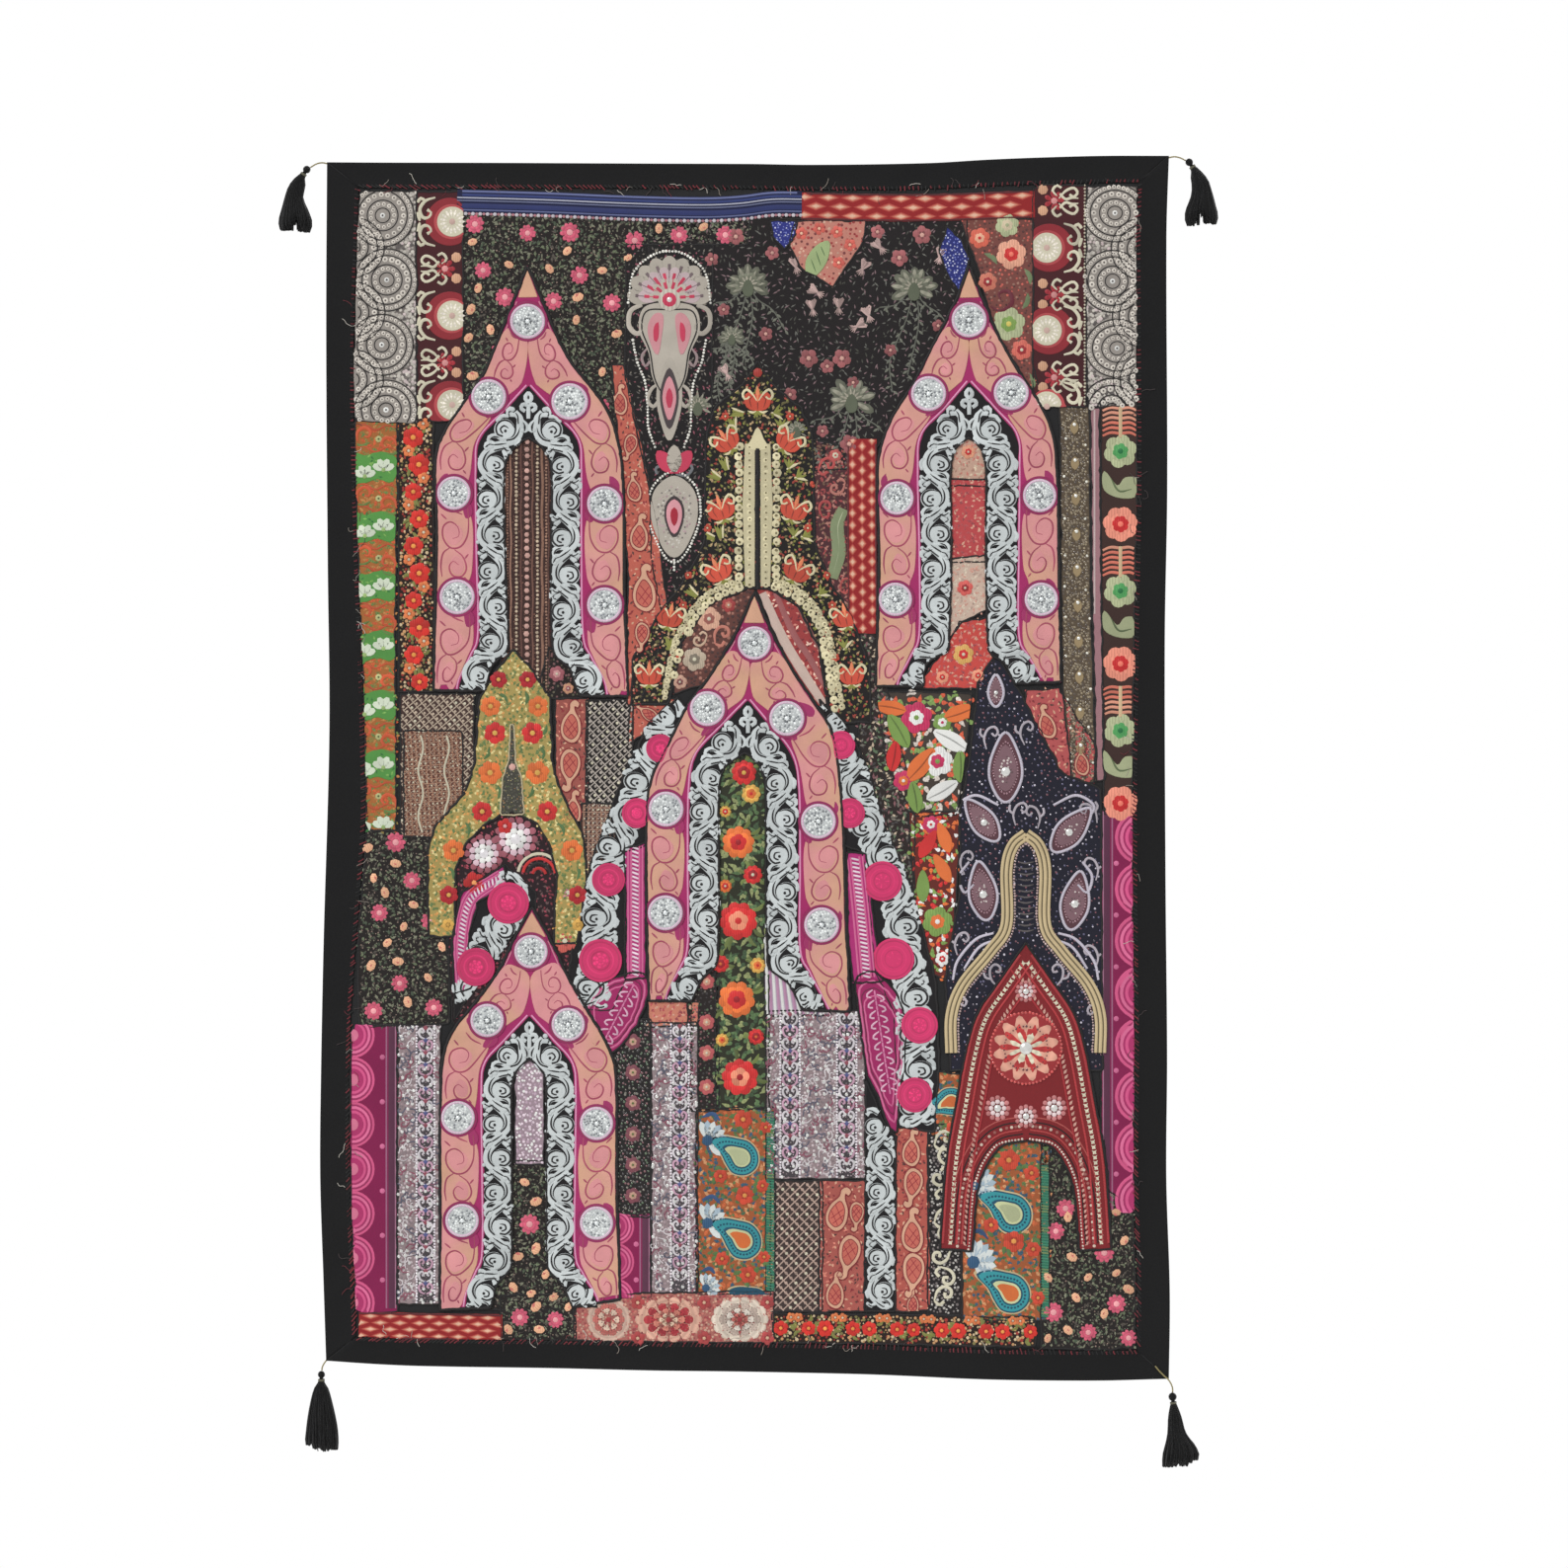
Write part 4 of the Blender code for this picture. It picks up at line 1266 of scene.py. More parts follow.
black_floral(
    "black_floral_top",
    [(-352, -60), (-352, -330), (-150, -330), (-148, -250), (-120, -100), (0, -100), (2, -64), (-150, -64)],
    [(-337, -75), (-272, -86), (-220, -85), (-140, -95), (-327, -132), (-208, -138), (-168, -172), (-300, -165),
     (-240, -170), (-85, -88), (-28, -88), (-305, -232), (-182, -300)],
    [(-340, -97), (-223, -108), (-148, -116), (-295, -125), (-245, -130), (-180, -132), (-333, -154), (-210, -165),
     (-342, -180), (-212, -193), (-162, -210), (-180, -257), (-318, -205), (-345, -215), (-340, -262),
     (-110, -80), (-55, -78)],
)
black_floral(
    "black_floral_left",
    [(-482, -822), (-480, -1066), (-368, -1062), (-372, -824)],
    [(-435, -838), (-415, -885), (-455, -925), (-430, -1012), (-462, -1046), (-388, -1042), (-392, -935)],
    [(-435, -864), (-462, -882), (-413, -915), (-425, -942), (-445, -962), (-378, -967), (-432, -985), (-395, -1005),
     (-420, -1035), (-470, -845), (-390, -850), (-465, -990), (-448, -900), (-380, -905)],
)
black_floral(
    "black_floral_bottom_right",
    [(362, -1206), (362, -1462), (482, -1466), (480, -1290), (446, -1268), (440, -1206)],
    [(392, -1290), (377, -1418), (420, -1443), (455, -1408), (380, -1318), (440, -1345), (470, -1450)],
    [(405, -1400), (395, -1440), (440, -1420), (420, -1375), (455, -1370), (400, -1350), (465, -1330), (370, -1375),
     (425, -1310), (455, -1295), (370, -1450), (470, -1390), (395, -1300)],
)
black_floral(
    "black_floral_bottom", [(-306, -1398), (-306, -1452), (-212, -1454), (-214, -1396)],
    [(-282, -1425), (-238, -1428)], [(-262, -1412), (-258, -1440), (-296, -1440), (-222, -1412)], BACK_LEVEL + 0.3,
)


# ------------------------------
# The top middle: black cloth with dull grey carnations and rose buds on thin stems. Scraps of
# blue, coral and peach flower prints are sewn over it beside the right yoke.
# ------------------------------
work = start_patch([(-122, -66), (-122, -380), (60, -380), (125, -376), (160, -350), (272, -150), (270, -66),
    (100, -68)], dye(29, 25, 26))
places = strew(work.limit, 8.0)
stamp(work, LEAF, *places.T, 1.0, pick([dye(96, 96, 90), dye(66, 66, 58), dye(120, 96, 100)], len(places)),
    BACK_LEVEL, length=chance.uniform(3, 8, len(places)), turn=chance.uniform(0, 6.28, len(places)),
    rise=0.4)
GREY_GREEN, DULL_ROSE, FEATHER = dye(106, 108, 92), dye(150, 86, 88), dye(196, 166, 160)
for x, z, size in ((0, -150, 27), (205, -154, 29), (128, -292, 30), (-62, -300, 22), (60, -330, 20), (-20,
        -215, 17)):
    for tail in ([(0, 0), (-10, -40), (-30, -90), (-28, -130)], [(2, 0), (6, -45), (-8, -110)], [(0, 0), (14,
            -20), (34, -34), (50, -60)], [(-4, 0), (-22, -20), (-44, -24)]):
        stem = placed(x, z, 0, size / 30)(smooth(tail, 6))
        ribbon(work, stem, 1.6, dye(92, 94, 84), BACK_LEVEL, 0.4)
        side = chance.uniform(0.5, 1.1, len(stem)) * np.where(np.arange(len(stem)) % 2, 1, -1)
        stamp(work, LEAF, *stem.T, 1.7, dye(104, 106, 94), BACK_LEVEL, length=9, turn=-1.7 + side, rise=0.5)
    petals = np.radians(np.linspace(-25, 205, 9)) + chance.normal(0, 0.06, 9)
    # Four petal layers: the wide outer layer is the grey-green darkened as painted shade under the inner petals, and
    # the thin lighter petals on each layer are painted highlights.
    for reach, wide, colour, lift in ((1.0, 0.2, GREY_GREEN * 0.75, 0), (0.92, 0.09, dye(140, 138, 122),
            0.5), (0.62, 0.16, GREY_GREEN, 0.7), (0.5, 0.05, dye(158, 152, 136), 1.2)):
        turn = petals if reach > 0.7 else petals[1:-1] + 0.15
        stamp(work, LEAF, np.full(len(turn), x), np.full(len(turn), z), size * wide, colour,
            BACK_LEVEL + lift, length=size * reach * chance.uniform(0.85, 1.08, len(turn)), turn=turn,
            rise=0.6)
    fill(work, [(-6, -2), (0, 7), (6, -2), (4, -12), (-4, -12)], dye(86, 92, 74), BACK_LEVEL + 1.2, placed(x,
        z, 0, size / 26))
for x, z, size in ((75, -240, 12), (98, -250, 9), (116, -240, 12), (215, -88, 12), (22, -210, 9), (187, -116,
        11), (125, -346, 12), (-15, -90, 11), (130, -270, 8), (-45, -118, 9), (235, -200, 8), (52, -285, 9),
        (-80, -210, 9), (30, -110, 9), (160, -84, 9), (-30, -180, 8), (176, -230, 8), (92, -330, 8)):
    rose(work, x, z, size, DULL_ROSE * chance.uniform(0.7, 1.2), BACK_LEVEL, dye(206, 160, 146), 5)
for x, z, turn in ((80, -182, 10), (140, -132, -30), (165, -106, 40), (132, -202, -60), (88, -160, 60), (150,
        -190, 20), (60, -130, 15), (-25, -262, 30), (236, -118, -15), (35, -300, 80), (112, -180, 0), (-75,
        -250, 20)):
    for side in (-50, -25, 0, 25, 50):
        stroke(work, [(0, -6), (side / 20, 4), (side / 8, 13), (side / 7, 9)], 2.6,
            FEATHER * chance.uniform(0.45, 1.05), BACK_LEVEL, placed(x, z, turn + side, 1.1), (0.3, 0.9),
            rise=0.6)
work.make("grey_carnation_cloth")

work = start_patch([(28, -70), (62, -70), (58, -88), (46, -106), (32, -92)], dye(44, 50, 122),
    BACK_LEVEL + 0.4)
cobble(work, work.limit, 4.2, 1.0, [dye(208, 212, 236), dye(120, 130, 200)], BACK_LEVEL + 0.4)
work.make("blue_scrap_left")
work = start_patch([(246, -78), (262, -92), (274, -118), (262, -158), (248, -140), (236, -108)], dye(40, 46,
    112), BACK_LEVEL + 0.4)
cobble(work, work.limit, 4.4, 1.1, [dye(208, 212, 236), dye(120, 130, 200)], BACK_LEVEL + 0.4)
work.make("blue_scrap_right")

work = start_patch([(60, -70), (146, -70), (143, -96), (104, -152), (66, -128), (50, -100)], dye(186, 124,
    110), BACK_LEVEL + 0.3)
cobble(work, work.limit, 7, 1.8, [dye(214, 172, 150), dye(160, 60, 60), dye(120, 60, 60)], BACK_LEVEL + 0.3)
fill(work, [(74, -140), (72, -120), (84, -102), (100, -96), (98, -118), (86, -136)], dye(158, 176, 124),
    BACK_LEVEL + 0.4)
for start, end in (((84, -134), (78, -118)), ((90, -126), (84, -108)), ((95, -114), (90, -102))):
    stroke(work, [start, end], 1.6, dye(84, 110, 70), BACK_LEVEL + 1.0, rise=0.5)
for x, z in ((110, -84), (126, -100), (112, -122), (66, -86), (88, -80)):
    rose(work, x, z, 8, dye(206, 96, 84), BACK_LEVEL + 0.4, dye(236, 190, 160))
work.make("coral_leaf_scrap")


def print_flower(work, x, z, size, petal_dye, ring_dye, eye_dye, base, petals=6, turn=0.3):
    """A big flat flower: round petals, an inner flower and an eye."""
    angles = turn + math.tau * np.arange(petals) / petals
    stamp(work, dome(12, 0.85, 0.9), x + size * 0.55 * np.cos(angles), z + size * 0.55 * np.sin(angles),
        size * 0.45, petal_dye, base, rise=0.5, spread=0.05)
    disc(work, x, z, size * 0.66, petal_dye, base + 0.2, 0.5)
    stamp(work, BUMP, x + size * 0.26 * np.cos(angles), z + size * 0.26 * np.sin(angles), size * 0.24,
        ring_dye, base + 0.6, rise=0.5, spread=0.05)
    disc(work, x, z, size * 0.34, ring_dye, base + 0.7, 0.5)
    disc(work, x, z, size * 0.17, eye_dye, base + 1.1, 0.4)


SAGE, RED, LEAF_GREEN = dye(166, 172, 134), dye(196, 42, 42), dye(88, 118, 66)
work = start_patch([(262, -68), (352, -68), (352, -250), (368, -305), (332, -262), (300, -190), (284, -128),
    (272, -98)], dye(112, 66, 60), BACK_LEVEL + 0.2)
cobble(work, work.limit, 6, 1.5, [dye(150, 110, 96), dye(84, 48, 46), dye(196, 96, 84)], BACK_LEVEL + 0.2)
for x, z, size, colours in ((325, -112, 19, (dye(222, 160, 134), RED, dye(236, 120, 100))), (320, -76, 15,
        (SAGE * 1.1, dye(206, 190, 160), SAGE)), (322, -198, 21, (SAGE, dye(120, 150, 76), dye(206, 190,
        96))), (296, -146, 12, (dye(190, 110, 90), dye(150, 40, 44), CREAM)), (338, -230, 13, (dye(200, 100,
        86), dye(150, 40, 44), CREAM)), (286, -92, 13, (dye(206, 96, 76), dye(226, 170, 140), RED))):
    print_flower(work, x, z, size, *colours, BACK_LEVEL + 0.4)
stroke(work, [(300, -176), (312, -182), (326, -172), (322, -158), (310, -160), (312, -168)], 5, dye(96, 30,
    44), BACK_LEVEL + 0.6)
for x, z, turn in ((345, -140, 20), (342, -170, -20), (300, -118, 50), (350, -270, 10)):
    stroke(work, [(0, -10), (3, 0), (0, 11)], 6, dye(104, 120, 84), BACK_LEVEL + 0.3, placed(x, z, turn),
        (0.1, 0.1))
work.make("peach_flower_print")

# ------------------------------
# A beaded pendant panel: black cloth with a petalled dome, a drop and a small bud in cream and
# pink couched thread, edged with rows of pearls. A plain design of the maker's usual shapes.
# ------------------------------
work = start_patch([(-150, -100), (-43, -100), (-45, -350), (-54, -520), (-84, -560), (-106, -560), (-118,
    -500), (-122, -400), (-152, -262)], dye(27, 24, 25), BACK_LEVEL + 0.4)
PANEL, STONE, HOT = BACK_LEVEL + 0.5, dye(176, 168, 156), dye(190, 56, 84)


def pearls(work, path, pitch=4.0, radius=1.7, colour=dye(226, 224, 214)):
    beads(work, path, pitch, radius, colour, PANEL, rise=2.0)


seeds = strew(work.limit, 7.0)
stamp(work, LEAF, *seeds.T, 1.1, pick([dye(120, 114, 104), dye(88, 84, 80), dye(130, 70, 84)], len(seeds)),
    PANEL, length=chance.uniform(3, 6, len(seeds)), turn=chance.uniform(0, 6.28, len(seeds)), rise=0.4)
# A vase of dull cream, its fan of petals, a long drop under it and a round bud below.
fill(work, [(-97, -172), (-128, -178), (-134, -206), (-122, -234), (-118, -262), (-106, -288), (-97, -298),
    (-88, -288), (-76, -262), (-72, -234), (-60, -206), (-66, -178)], STONE, PANEL, rise=0.8)
for radius, colour, count, lift in ((50, STONE * 0.95, 9, 0), (37, dye(190, 170, 172), 8, 0.3), (24,
        STONE * 1.12, 6, 0.6)):
    for angle in np.linspace(4, 176, count):
        lay = placed(-97, -166, angle - 90, radius / 50)
        fill(work, [(0, 10), (-10, 34), (-8, 46), (0, 52), (8, 46), (10, 34)], colour, PANEL + lift, lay)
        stroke(work, [(0, 20), (0, 42)], 4, (dye(112, 96, 98), HOT)[count % 2 == 0], PANEL + 0.7 + lift, lay,
            (0.4, 1.0), rise=0.4)
pearls(work, smooth([(-148, -172), (-141, -134), (-118, -113), (-97, -108), (-76, -113), (-53, -134), (-46,
    -172)], 3))
for flip in (1, -1):
    lay = placed(-97, -166, 0, 1, flip)
    stroke(work, [(34, -8), (48, -16), (50, -34), (40, -44), (31, -36), (37, -28)], 6.0, STONE * 1.1,
        PANEL + 0.2, lay, (0.8, 0.9), rise=1.2)
    fill(work, [(8, -22), (18, -20), (26, -34), (24, -52), (15, -70), (10, -48)], dye(196, 136, 142),
        PANEL + 0.7, lay)
    fill(work, [(14, -30), (19, -38), (18, -54), (14, -48)], HOT, PANEL + 1.3, lay, rise=0.5)
    pearls(work, lay(smooth([(45, -52), (40, -78), (30, -104), (27, -132), (26, -160), (18, -184)], 3)))
    stroke(work, [(10, -104), (22, -112), (27, -126), (20, -134), (14, -128)], 4.5, STONE, PANEL, lay, (0.5,
        1))
    stroke(work, [(26, -60), (34, -72), (30, -84), (24, -78)], 3.4, dye(150, 130, 130), PANEL, lay, (0.5, 1))
    ribbon(work, lay(smooth([(2, -14), (28, -16), (34, -38), (24, -66), (18, -100), (4, -126)], 4)), 1.8,
        BLACK, PANEL + 0.9, 0.8)
for share, colour, lift in ((1.0, STONE, 0.5), (0.72, dye(70, 60, 62), 0.9), (0.52, dye(206, 140, 148), 1.2),
        (0.24, HOT, 1.7)):
    fill(work, np.array([(0, 52), (-13, 22), (-15, -6), (-7, -40), (0, -52), (7, -40), (15, -6), (13,
        22)]) * share + (-97, -290), colour, PANEL + lift, rise=0.5)
for radius, colour, lift in ((14, STONE * 1.15, 1.4), (9, HOT, 1.9)):
    disc(work, -97, -168, radius, colour, PANEL + lift, 0.6)
disc(work, -97, -168, 3.5, dye(236, 224, 220), PANEL + 2.4, 0.9, MIRROR)
for angle, colour in ((-38, HOT), (38, HOT), (0, STONE)):
    fill(work, [(0, 0), (-9, 12), (-7, 26), (0, 34), (7, 26), (9, 12)], colour, PANEL + 0.3, placed(-91,
        -382, angle), rise=0.9)
for angle in (-70, 70):
    stroke(work, [(0, 2), (6, 14), (0, 24), (-7, 20)], 3.6, dye(110, 112, 116), PANEL, placed(-91, -384,
        angle), (0.6, 0.9))
bud = np.array([(0, 50), (-24, 32), (-28, -2), (-14, -38), (0, -50), (14, -38), (28, -2), (24, 32)], float)
for share, colour, lift in ((1.0, STONE * 1.02, 0), (0.5, dye(60, 50, 52), 1.0), (0.42, dye(214, 150, 158),
        1.3), (0.22, dye(160, 30, 50), 1.9)):
    fill(work, bud * (share ** 1.3, share) + (-91, -436), colour, PANEL + lift, rise=0.6)
cobble(work, bud * 0.84 + (-91, -436), 4.8, 1.4, [dye(206, 200, 190), dye(186, 160, 162), dye(130, 122,
    118)], PANEL + 0.6)
pearls(work, smooth(bud * 1.13 + (-91, -436), 3, closed=True)[:-1])
pearls(work, [(-91, -490), (-91, -502)])
work.make("pendant_panel")


# ------------------------------
# Strips beside the yokes, cut from sari borders: coral paisleys, red roses on black, an orange
# and green chintz, brown beadwork, and a pale trim of big flat flowers. Sewn edge to edge.
# ------------------------------
CORAL, SEED = dye(178, 92, 78), dye(206, 160, 132)


def paisley(work, lay, base, shell=SEED, body=CORAL, line=dye(132, 34, 44)):
    """A drop about 60 long with a curled tip: a lined shell and a netted body."""
    drop = [(0, -30), (-12, -23), (-16, -9), (-12, 6), (-3, 18), (-2, 28), (5, 33), (12, 28), (9, 21), (5,
        24), (6, 16), (13, 2), (14, -14), (9, -26)]
    small = [(0, -24), (-10, -17), (-11, -6), (-7, 4), (0, 12), (7, 4), (9, -6), (8, -17)]
    fill(work, drop, shell, base, lay)
    fill(work, small, body * 1.15, base + 0.6, lay, rise=0.4)
    ribbon(work, lay(smooth(drop, 3, closed=True)), 1.6, line, base + 0.4, 0.9)
    ribbon(work, lay(smooth(small, 3, closed=True)), 1.2, line, base + 0.9, 0.5)
    for start, end in (((-8, -14), (6, 2)), ((-4, -20), (8, -6)), ((-9, -4), (3, -21)), ((-5, 5), (8, -14))):
        stroke(work, [start, end], 1.0, line * 1.2, base + 1.0, lay, (1, 1), step=6, rise=0.3)


def paisley_strip(name, outline, drops, ground=CORAL, level=BACK_LEVEL, seed=SEED):
    """Drops are x, z, turn and size."""
    work = start_patch(outline, ground, level)
    spots = strew(work.limit, 6.5)
    count = len(spots)
    stamp(work, LEAF, *spots.T, 1.4, pick([seed, dye(206, 126, 108), dye(130, 40, 46), dye(84, 50, 46)],
        count), level, length=chance.uniform(3.5, 7, count), turn=chance.uniform(0, 6.28, count), rise=0.5)
    for x, z, turn, size in drops:
        paisley(work, placed(x, z, turn, size), level + 0.2, seed)
    return work.make(name)


paisley_strip("coral_paisley_strip", [(-168, -248), (-154, -248), (-130, -350), (-112, -450), (-98, -560),
    (-104, -580), (-118, -625), (-134, -668), (-150, -668), (-148, -500), (-158, -380)], [(-158, -292, 4,
    0.62), (-146, -350, 170, 0.55), (-141, -400, 10, 0.6), (-134, -456, 0, 0.75), (-128, -525, 5, 0.95),
    (-131, -584, 180, 0.6)], level=BACK_LEVEL + 0.6)
paisley_strip("coral_paisley_left", box(-238, -660, -198, -812), [(-218, -690, 0, 0.85), (-220, -748, 180,
    0.85), (-216, -796, 0, 0.7)], ground=dye(150, 82, 74))
paisley_strip("coral_paisley_bottom", [(182, -1188), (222, -1190), (226, -1416), (182, -1418)], [(202, -1216,
    0, 0.75), (203, -1264, 175, 0.8), (203, -1318, 5, 0.9), (204, -1372, 180, 0.9), (204, -1406, 0, 0.5)],
    ground=dye(168, 84, 74))
paisley_strip("coral_scrap", [(-146, -662), (-86, -660), (-110, -690), (-148, -718)], [(-125, -678, 60,
    0.5)])
paisley_strip("rose_wedge", [(384, -648), (430, -720), (428, -764), (400, -766), (345, -748), (342, -650)],
    [(368, -690, 20, 0.7), (412, -738, 10, 0.6)], ground=dye(172, 82, 82))


def rose_strip(name, outline, line, pitch, level=BACK_LEVEL, big=14):
    """Red roses in a chain on black, with small peach flowers and olive leaves round them."""
    work = start_patch(outline, dye(38, 26, 22), level)
    spots = strew(work.limit, 4.6)
    count = len(spots)
    stamp(work, KNOT, *spots.T, chance.uniform(1.0, 2.4, count), pick([dye(196, 150, 104), dye(120, 112, 66),
        dye(206, 184, 146), dye(150, 50, 42)], count), level, rise=0.6)
    path = even(np.asarray(line, float), pitch)
    for step, (x, z) in enumerate(path):
        side = 3.5 if step % 2 else -3.5
        for turn in chance.uniform(0, 360, 4):
            stroke(work, [(0, 7), (3, 12), (0, 18)], 4.2, dye(122, 124, 62), level, placed(x, z, turn), (0.2,
                0.1))
        rose(work, x + side, z, big * chance.uniform(0.8, 1.0), dye(204, 44, 34), level + 0.3, dye(226, 150,
            70), 6)
        rose(work, x - side * 2.6, z + pitch / 2, big * 0.55, dye(214, 120, 70), level + 0.3, CREAM, 5)
    return work.make(name)


rose_strip("rose_strip_left", box(-431, -318, -388, -652), [(-410, -338), (-409, -640)], 34)
rose_strip("rose_strip_bottom", [(30, -1420), (355, -1424), (355, -1460), (30, -1456)], [(44, -1438), (345,
    -1442)], 27, big=11)

work = start_patch([(-492, -318), (-433, -318), (-436, -600), (-434, -824), (-492, -822)], dye(158, 98, 52))
lines = strew(work.limit, 5.6)
stamp(work, LEAF, *lines.T, 1.9, pick([dye(190, 84, 44), dye(128, 112, 54), dye(100, 122, 62), dye(176, 120,
    66)], len(lines)), BACK_LEVEL, length=8, turn=chance.normal(0, 0.7, len(lines)), rise=0.4)
for z in np.arange(-376, -840, -73.5):
    band = smooth([(-492, z + 19), (-472, z + 15), (-456, z + 20), (-437, z + 15), (-433, z), (-440, z - 17),
        (-458, z - 13), (-474, z - 18), (-492, z - 14)], 5, closed=True)[:-1]
    fill(work, band, dye(78, 140, 62), BACK_LEVEL + 0.1, rise=0.5, curved=False)
    for x, up in ((-473, -4), (-450, 4)):
        for turn in (-62, 62, -20, 20):
            fill(work, [(0, 0), (-4.4, 7), (-2, 14), (2, 12), (3.4, 6)], dye(206, 216, 194),
                BACK_LEVEL + 0.6, placed(x, z + up - 6, turn, 1, 1 if turn > 0 else -1))
        stamp(work, KNOT, x, z + up - 6, 3.2, dye(150, 178, 110), BACK_LEVEL + 1.0)
    leaves = np.column_stack((chance.uniform(-482, -438, 16), z + chance.uniform(-13, 14, 16)))
    stamp(work, LEAF, *leaves.T, 1.6, pick([dye(50, 110, 52), dye(120, 168, 84)], 16), BACK_LEVEL + 0.5,
        length=7, turn=chance.uniform(0, 6.28, 16), rise=0.5)
    ringlets(work, [(-456, z + 36)], 4.2, BACK_LEVEL + 0.4, dye(176, 176, 120), dye(86, 96, 56))
    for x, rise_z, flip in ((-474, 42, 1), (-444, 30, -1)):
        curl = placed(x, z + rise_z, chance.uniform(-20, 20), 1.0, flip)
        stroke(work, [(-9, -8), (-8, 3), (1, 8), (8, 3), (5, -4), (0, -2)], 4.2, dye(196, 84, 48),
            BACK_LEVEL + 0.3, curl)
        stroke(work, [(-12, -10), (-4, -14), (6, -11)], 3.2, dye(96, 122, 62), BACK_LEVEL + 0.3, curl)
    for side in (z + 23, z + 50):
        stroke(work, [(-490, side), (-474, side + 4), (-460, side - 3), (-446, side + 3), (-434, side)], 2.6,
            dye(180, 78, 44), BACK_LEVEL + 0.2)
work.make("orange_green_chintz")

work = start_patch([(385, -300), (422, -300), (423, -520), (430, -764), (400, -766), (388, -640), (386,
    -450)], dye(84, 72, 58))
spots = strew(work.limit, 4.4)
stamp(work, SPECK, *spots.T, 1.5, pick([dye(112, 98, 78), dye(70, 58, 48), dye(140, 126, 100)], len(spots)),
    BACK_LEVEL, rise=0.8, finish=BEAD)
for z in np.arange(-326, -760, -44):
    x = 403 + (z + 326) * -0.02
    beads(work, circle(x, z, 12, 1.25)[:-1], 3.4, 1.5, dye(120, 106, 84), BACK_LEVEL + 0.4)
    fill(work, [(x, z + 8), (x - 5, z), (x, z - 8), (x + 5, z)], dye(150, 130, 96), BACK_LEVEL + 0.4)
    disc(work, x, z + 4, 2.4, dye(240, 240, 232), BACK_LEVEL + 1.2, 1.0, MIRROR)
    for side in (-13, 13):
        stamp(work, KNOT, x + side + chance.uniform(-3, 3), z - 20 + chance.uniform(-8, 8), 1.8, dye(226,
            224, 210), BACK_LEVEL, rise=1.2, finish=BEAD)
work.make("brown_bead_strip")
work = start_patch([(423, -300), (434, -300), (436, -520), (440, -760), (431, -762), (425, -520)], dye(150,
    110, 116), BACK_LEVEL + 0.2)
ribbon(work, np.array([(428.0, z) for z in np.arange(-304, -560, -6)] + [(435.0, -756.0)])[:-1], 2.2,
    dye(190, 170, 168), BACK_LEVEL + 0.2)
work.make("pink_grey_trim")

work = start_patch([(435, -292), (484, -288), (483, -560), (486, -802), (440, -804), (437, -560)], dye(58,
    40, 36))
for top in np.arange(-318, -780, -172.5):
    x = 460.0
    for z in np.arange(top + 16, top - 18, -6.2):
        stroke(work, [(x - 22, z - 3), (x - 12, z + 1), (x, z), (x + 12, z + 1), (x + 22, z - 4)], 3.6,
            dye(206, 112, 92) if round(z) % 2 else dye(216, 148, 122), BACK_LEVEL, ends=(0.7, 0.7))
    stroke(work, [(x, top + 18), (x, top - 20)], 4.5, dye(206, 178, 140), BACK_LEVEL + 0.5, ends=(1, 1))
    print_flower(work, x, top - 37, 21, SAGE, dye(74, 150, 84), dye(30, 110, 60), BACK_LEVEL + 0.2, 6)
    fill(work, [(x - 20, top - 62), (x - 20, top - 84), (x - 2, top - 94), (x + 20, top - 92), (x + 21,
        top - 72), (x + 6, top - 70), (x - 4, top - 80)], SAGE * 0.9, BACK_LEVEL + 0.1)
    stroke(work, [(x - 12, top - 70), (x - 2, top - 86), (x + 14, top - 84)], 2.4, dye(90, 104, 70),
        BACK_LEVEL + 0.8)
    print_flower(work, x, top - 127, 22, dye(224, 140, 118), dye(190, 34, 36), dye(236, 120, 100),
        BACK_LEVEL + 0.2, 7)
work.make("flat_flower_trim")


def scraps(outline, ground, colours, spacing=6.0, size=1.5, level=BACK_LEVEL, flowers=(), curls=(), lines=(),
        finish=THREAD, length=None, edge=2.8):
    """A small patch: a ground strewn with little marks, then flowers, curls and laid lines."""
    work = start_patch(outline, ground, level, edge=edge)
    spots = strew(work.limit, spacing)
    count = len(spots)
    if length is None:
        stamp(work, KNOT, *spots.T, size * chance.uniform(0.7, 1.2, count), pick(colours, count), level,
            rise=0.7, finish=finish)
    else:
        stamp(work, LEAF, *spots.T, size, pick(colours, count), level, length=chance.uniform(0.6, 1.2,
            count) * length, turn=chance.uniform(0, 6.28, count), rise=0.5)
    for points, width, colour in lines:
        stroke(work, points, width, colour, level + 0.2, ends=(0.8, 0.8))
    for x, z, turn, reach, colour in curls:
        lay = placed(x, z, turn, reach / 12)
        for points in ([(-12, -4), (-4, 6), (6, 8), (12, 1), (8, -6), (2, -4), (4, 1)], [(-12, -4), (-8,
                -11), (-1, -9)]):
            stroke(work, points, 4.6 * reach / 14, colour, level + 0.3, lay, (0.5, 1.0), rise=0.9)
    for flower in flowers:
        print_flower(work, *flower, level + 0.3)
    return work


# ------------------------------
# The left side and middle: lattice prints in brown, cream and black, and the sprigged cloths
# seen through the openings of the yokes and arches. They lie lowest and are sewn on first.
# ------------------------------
MAROON, DULL_CREAM = dye(112, 40, 50), dye(190, 172, 148)


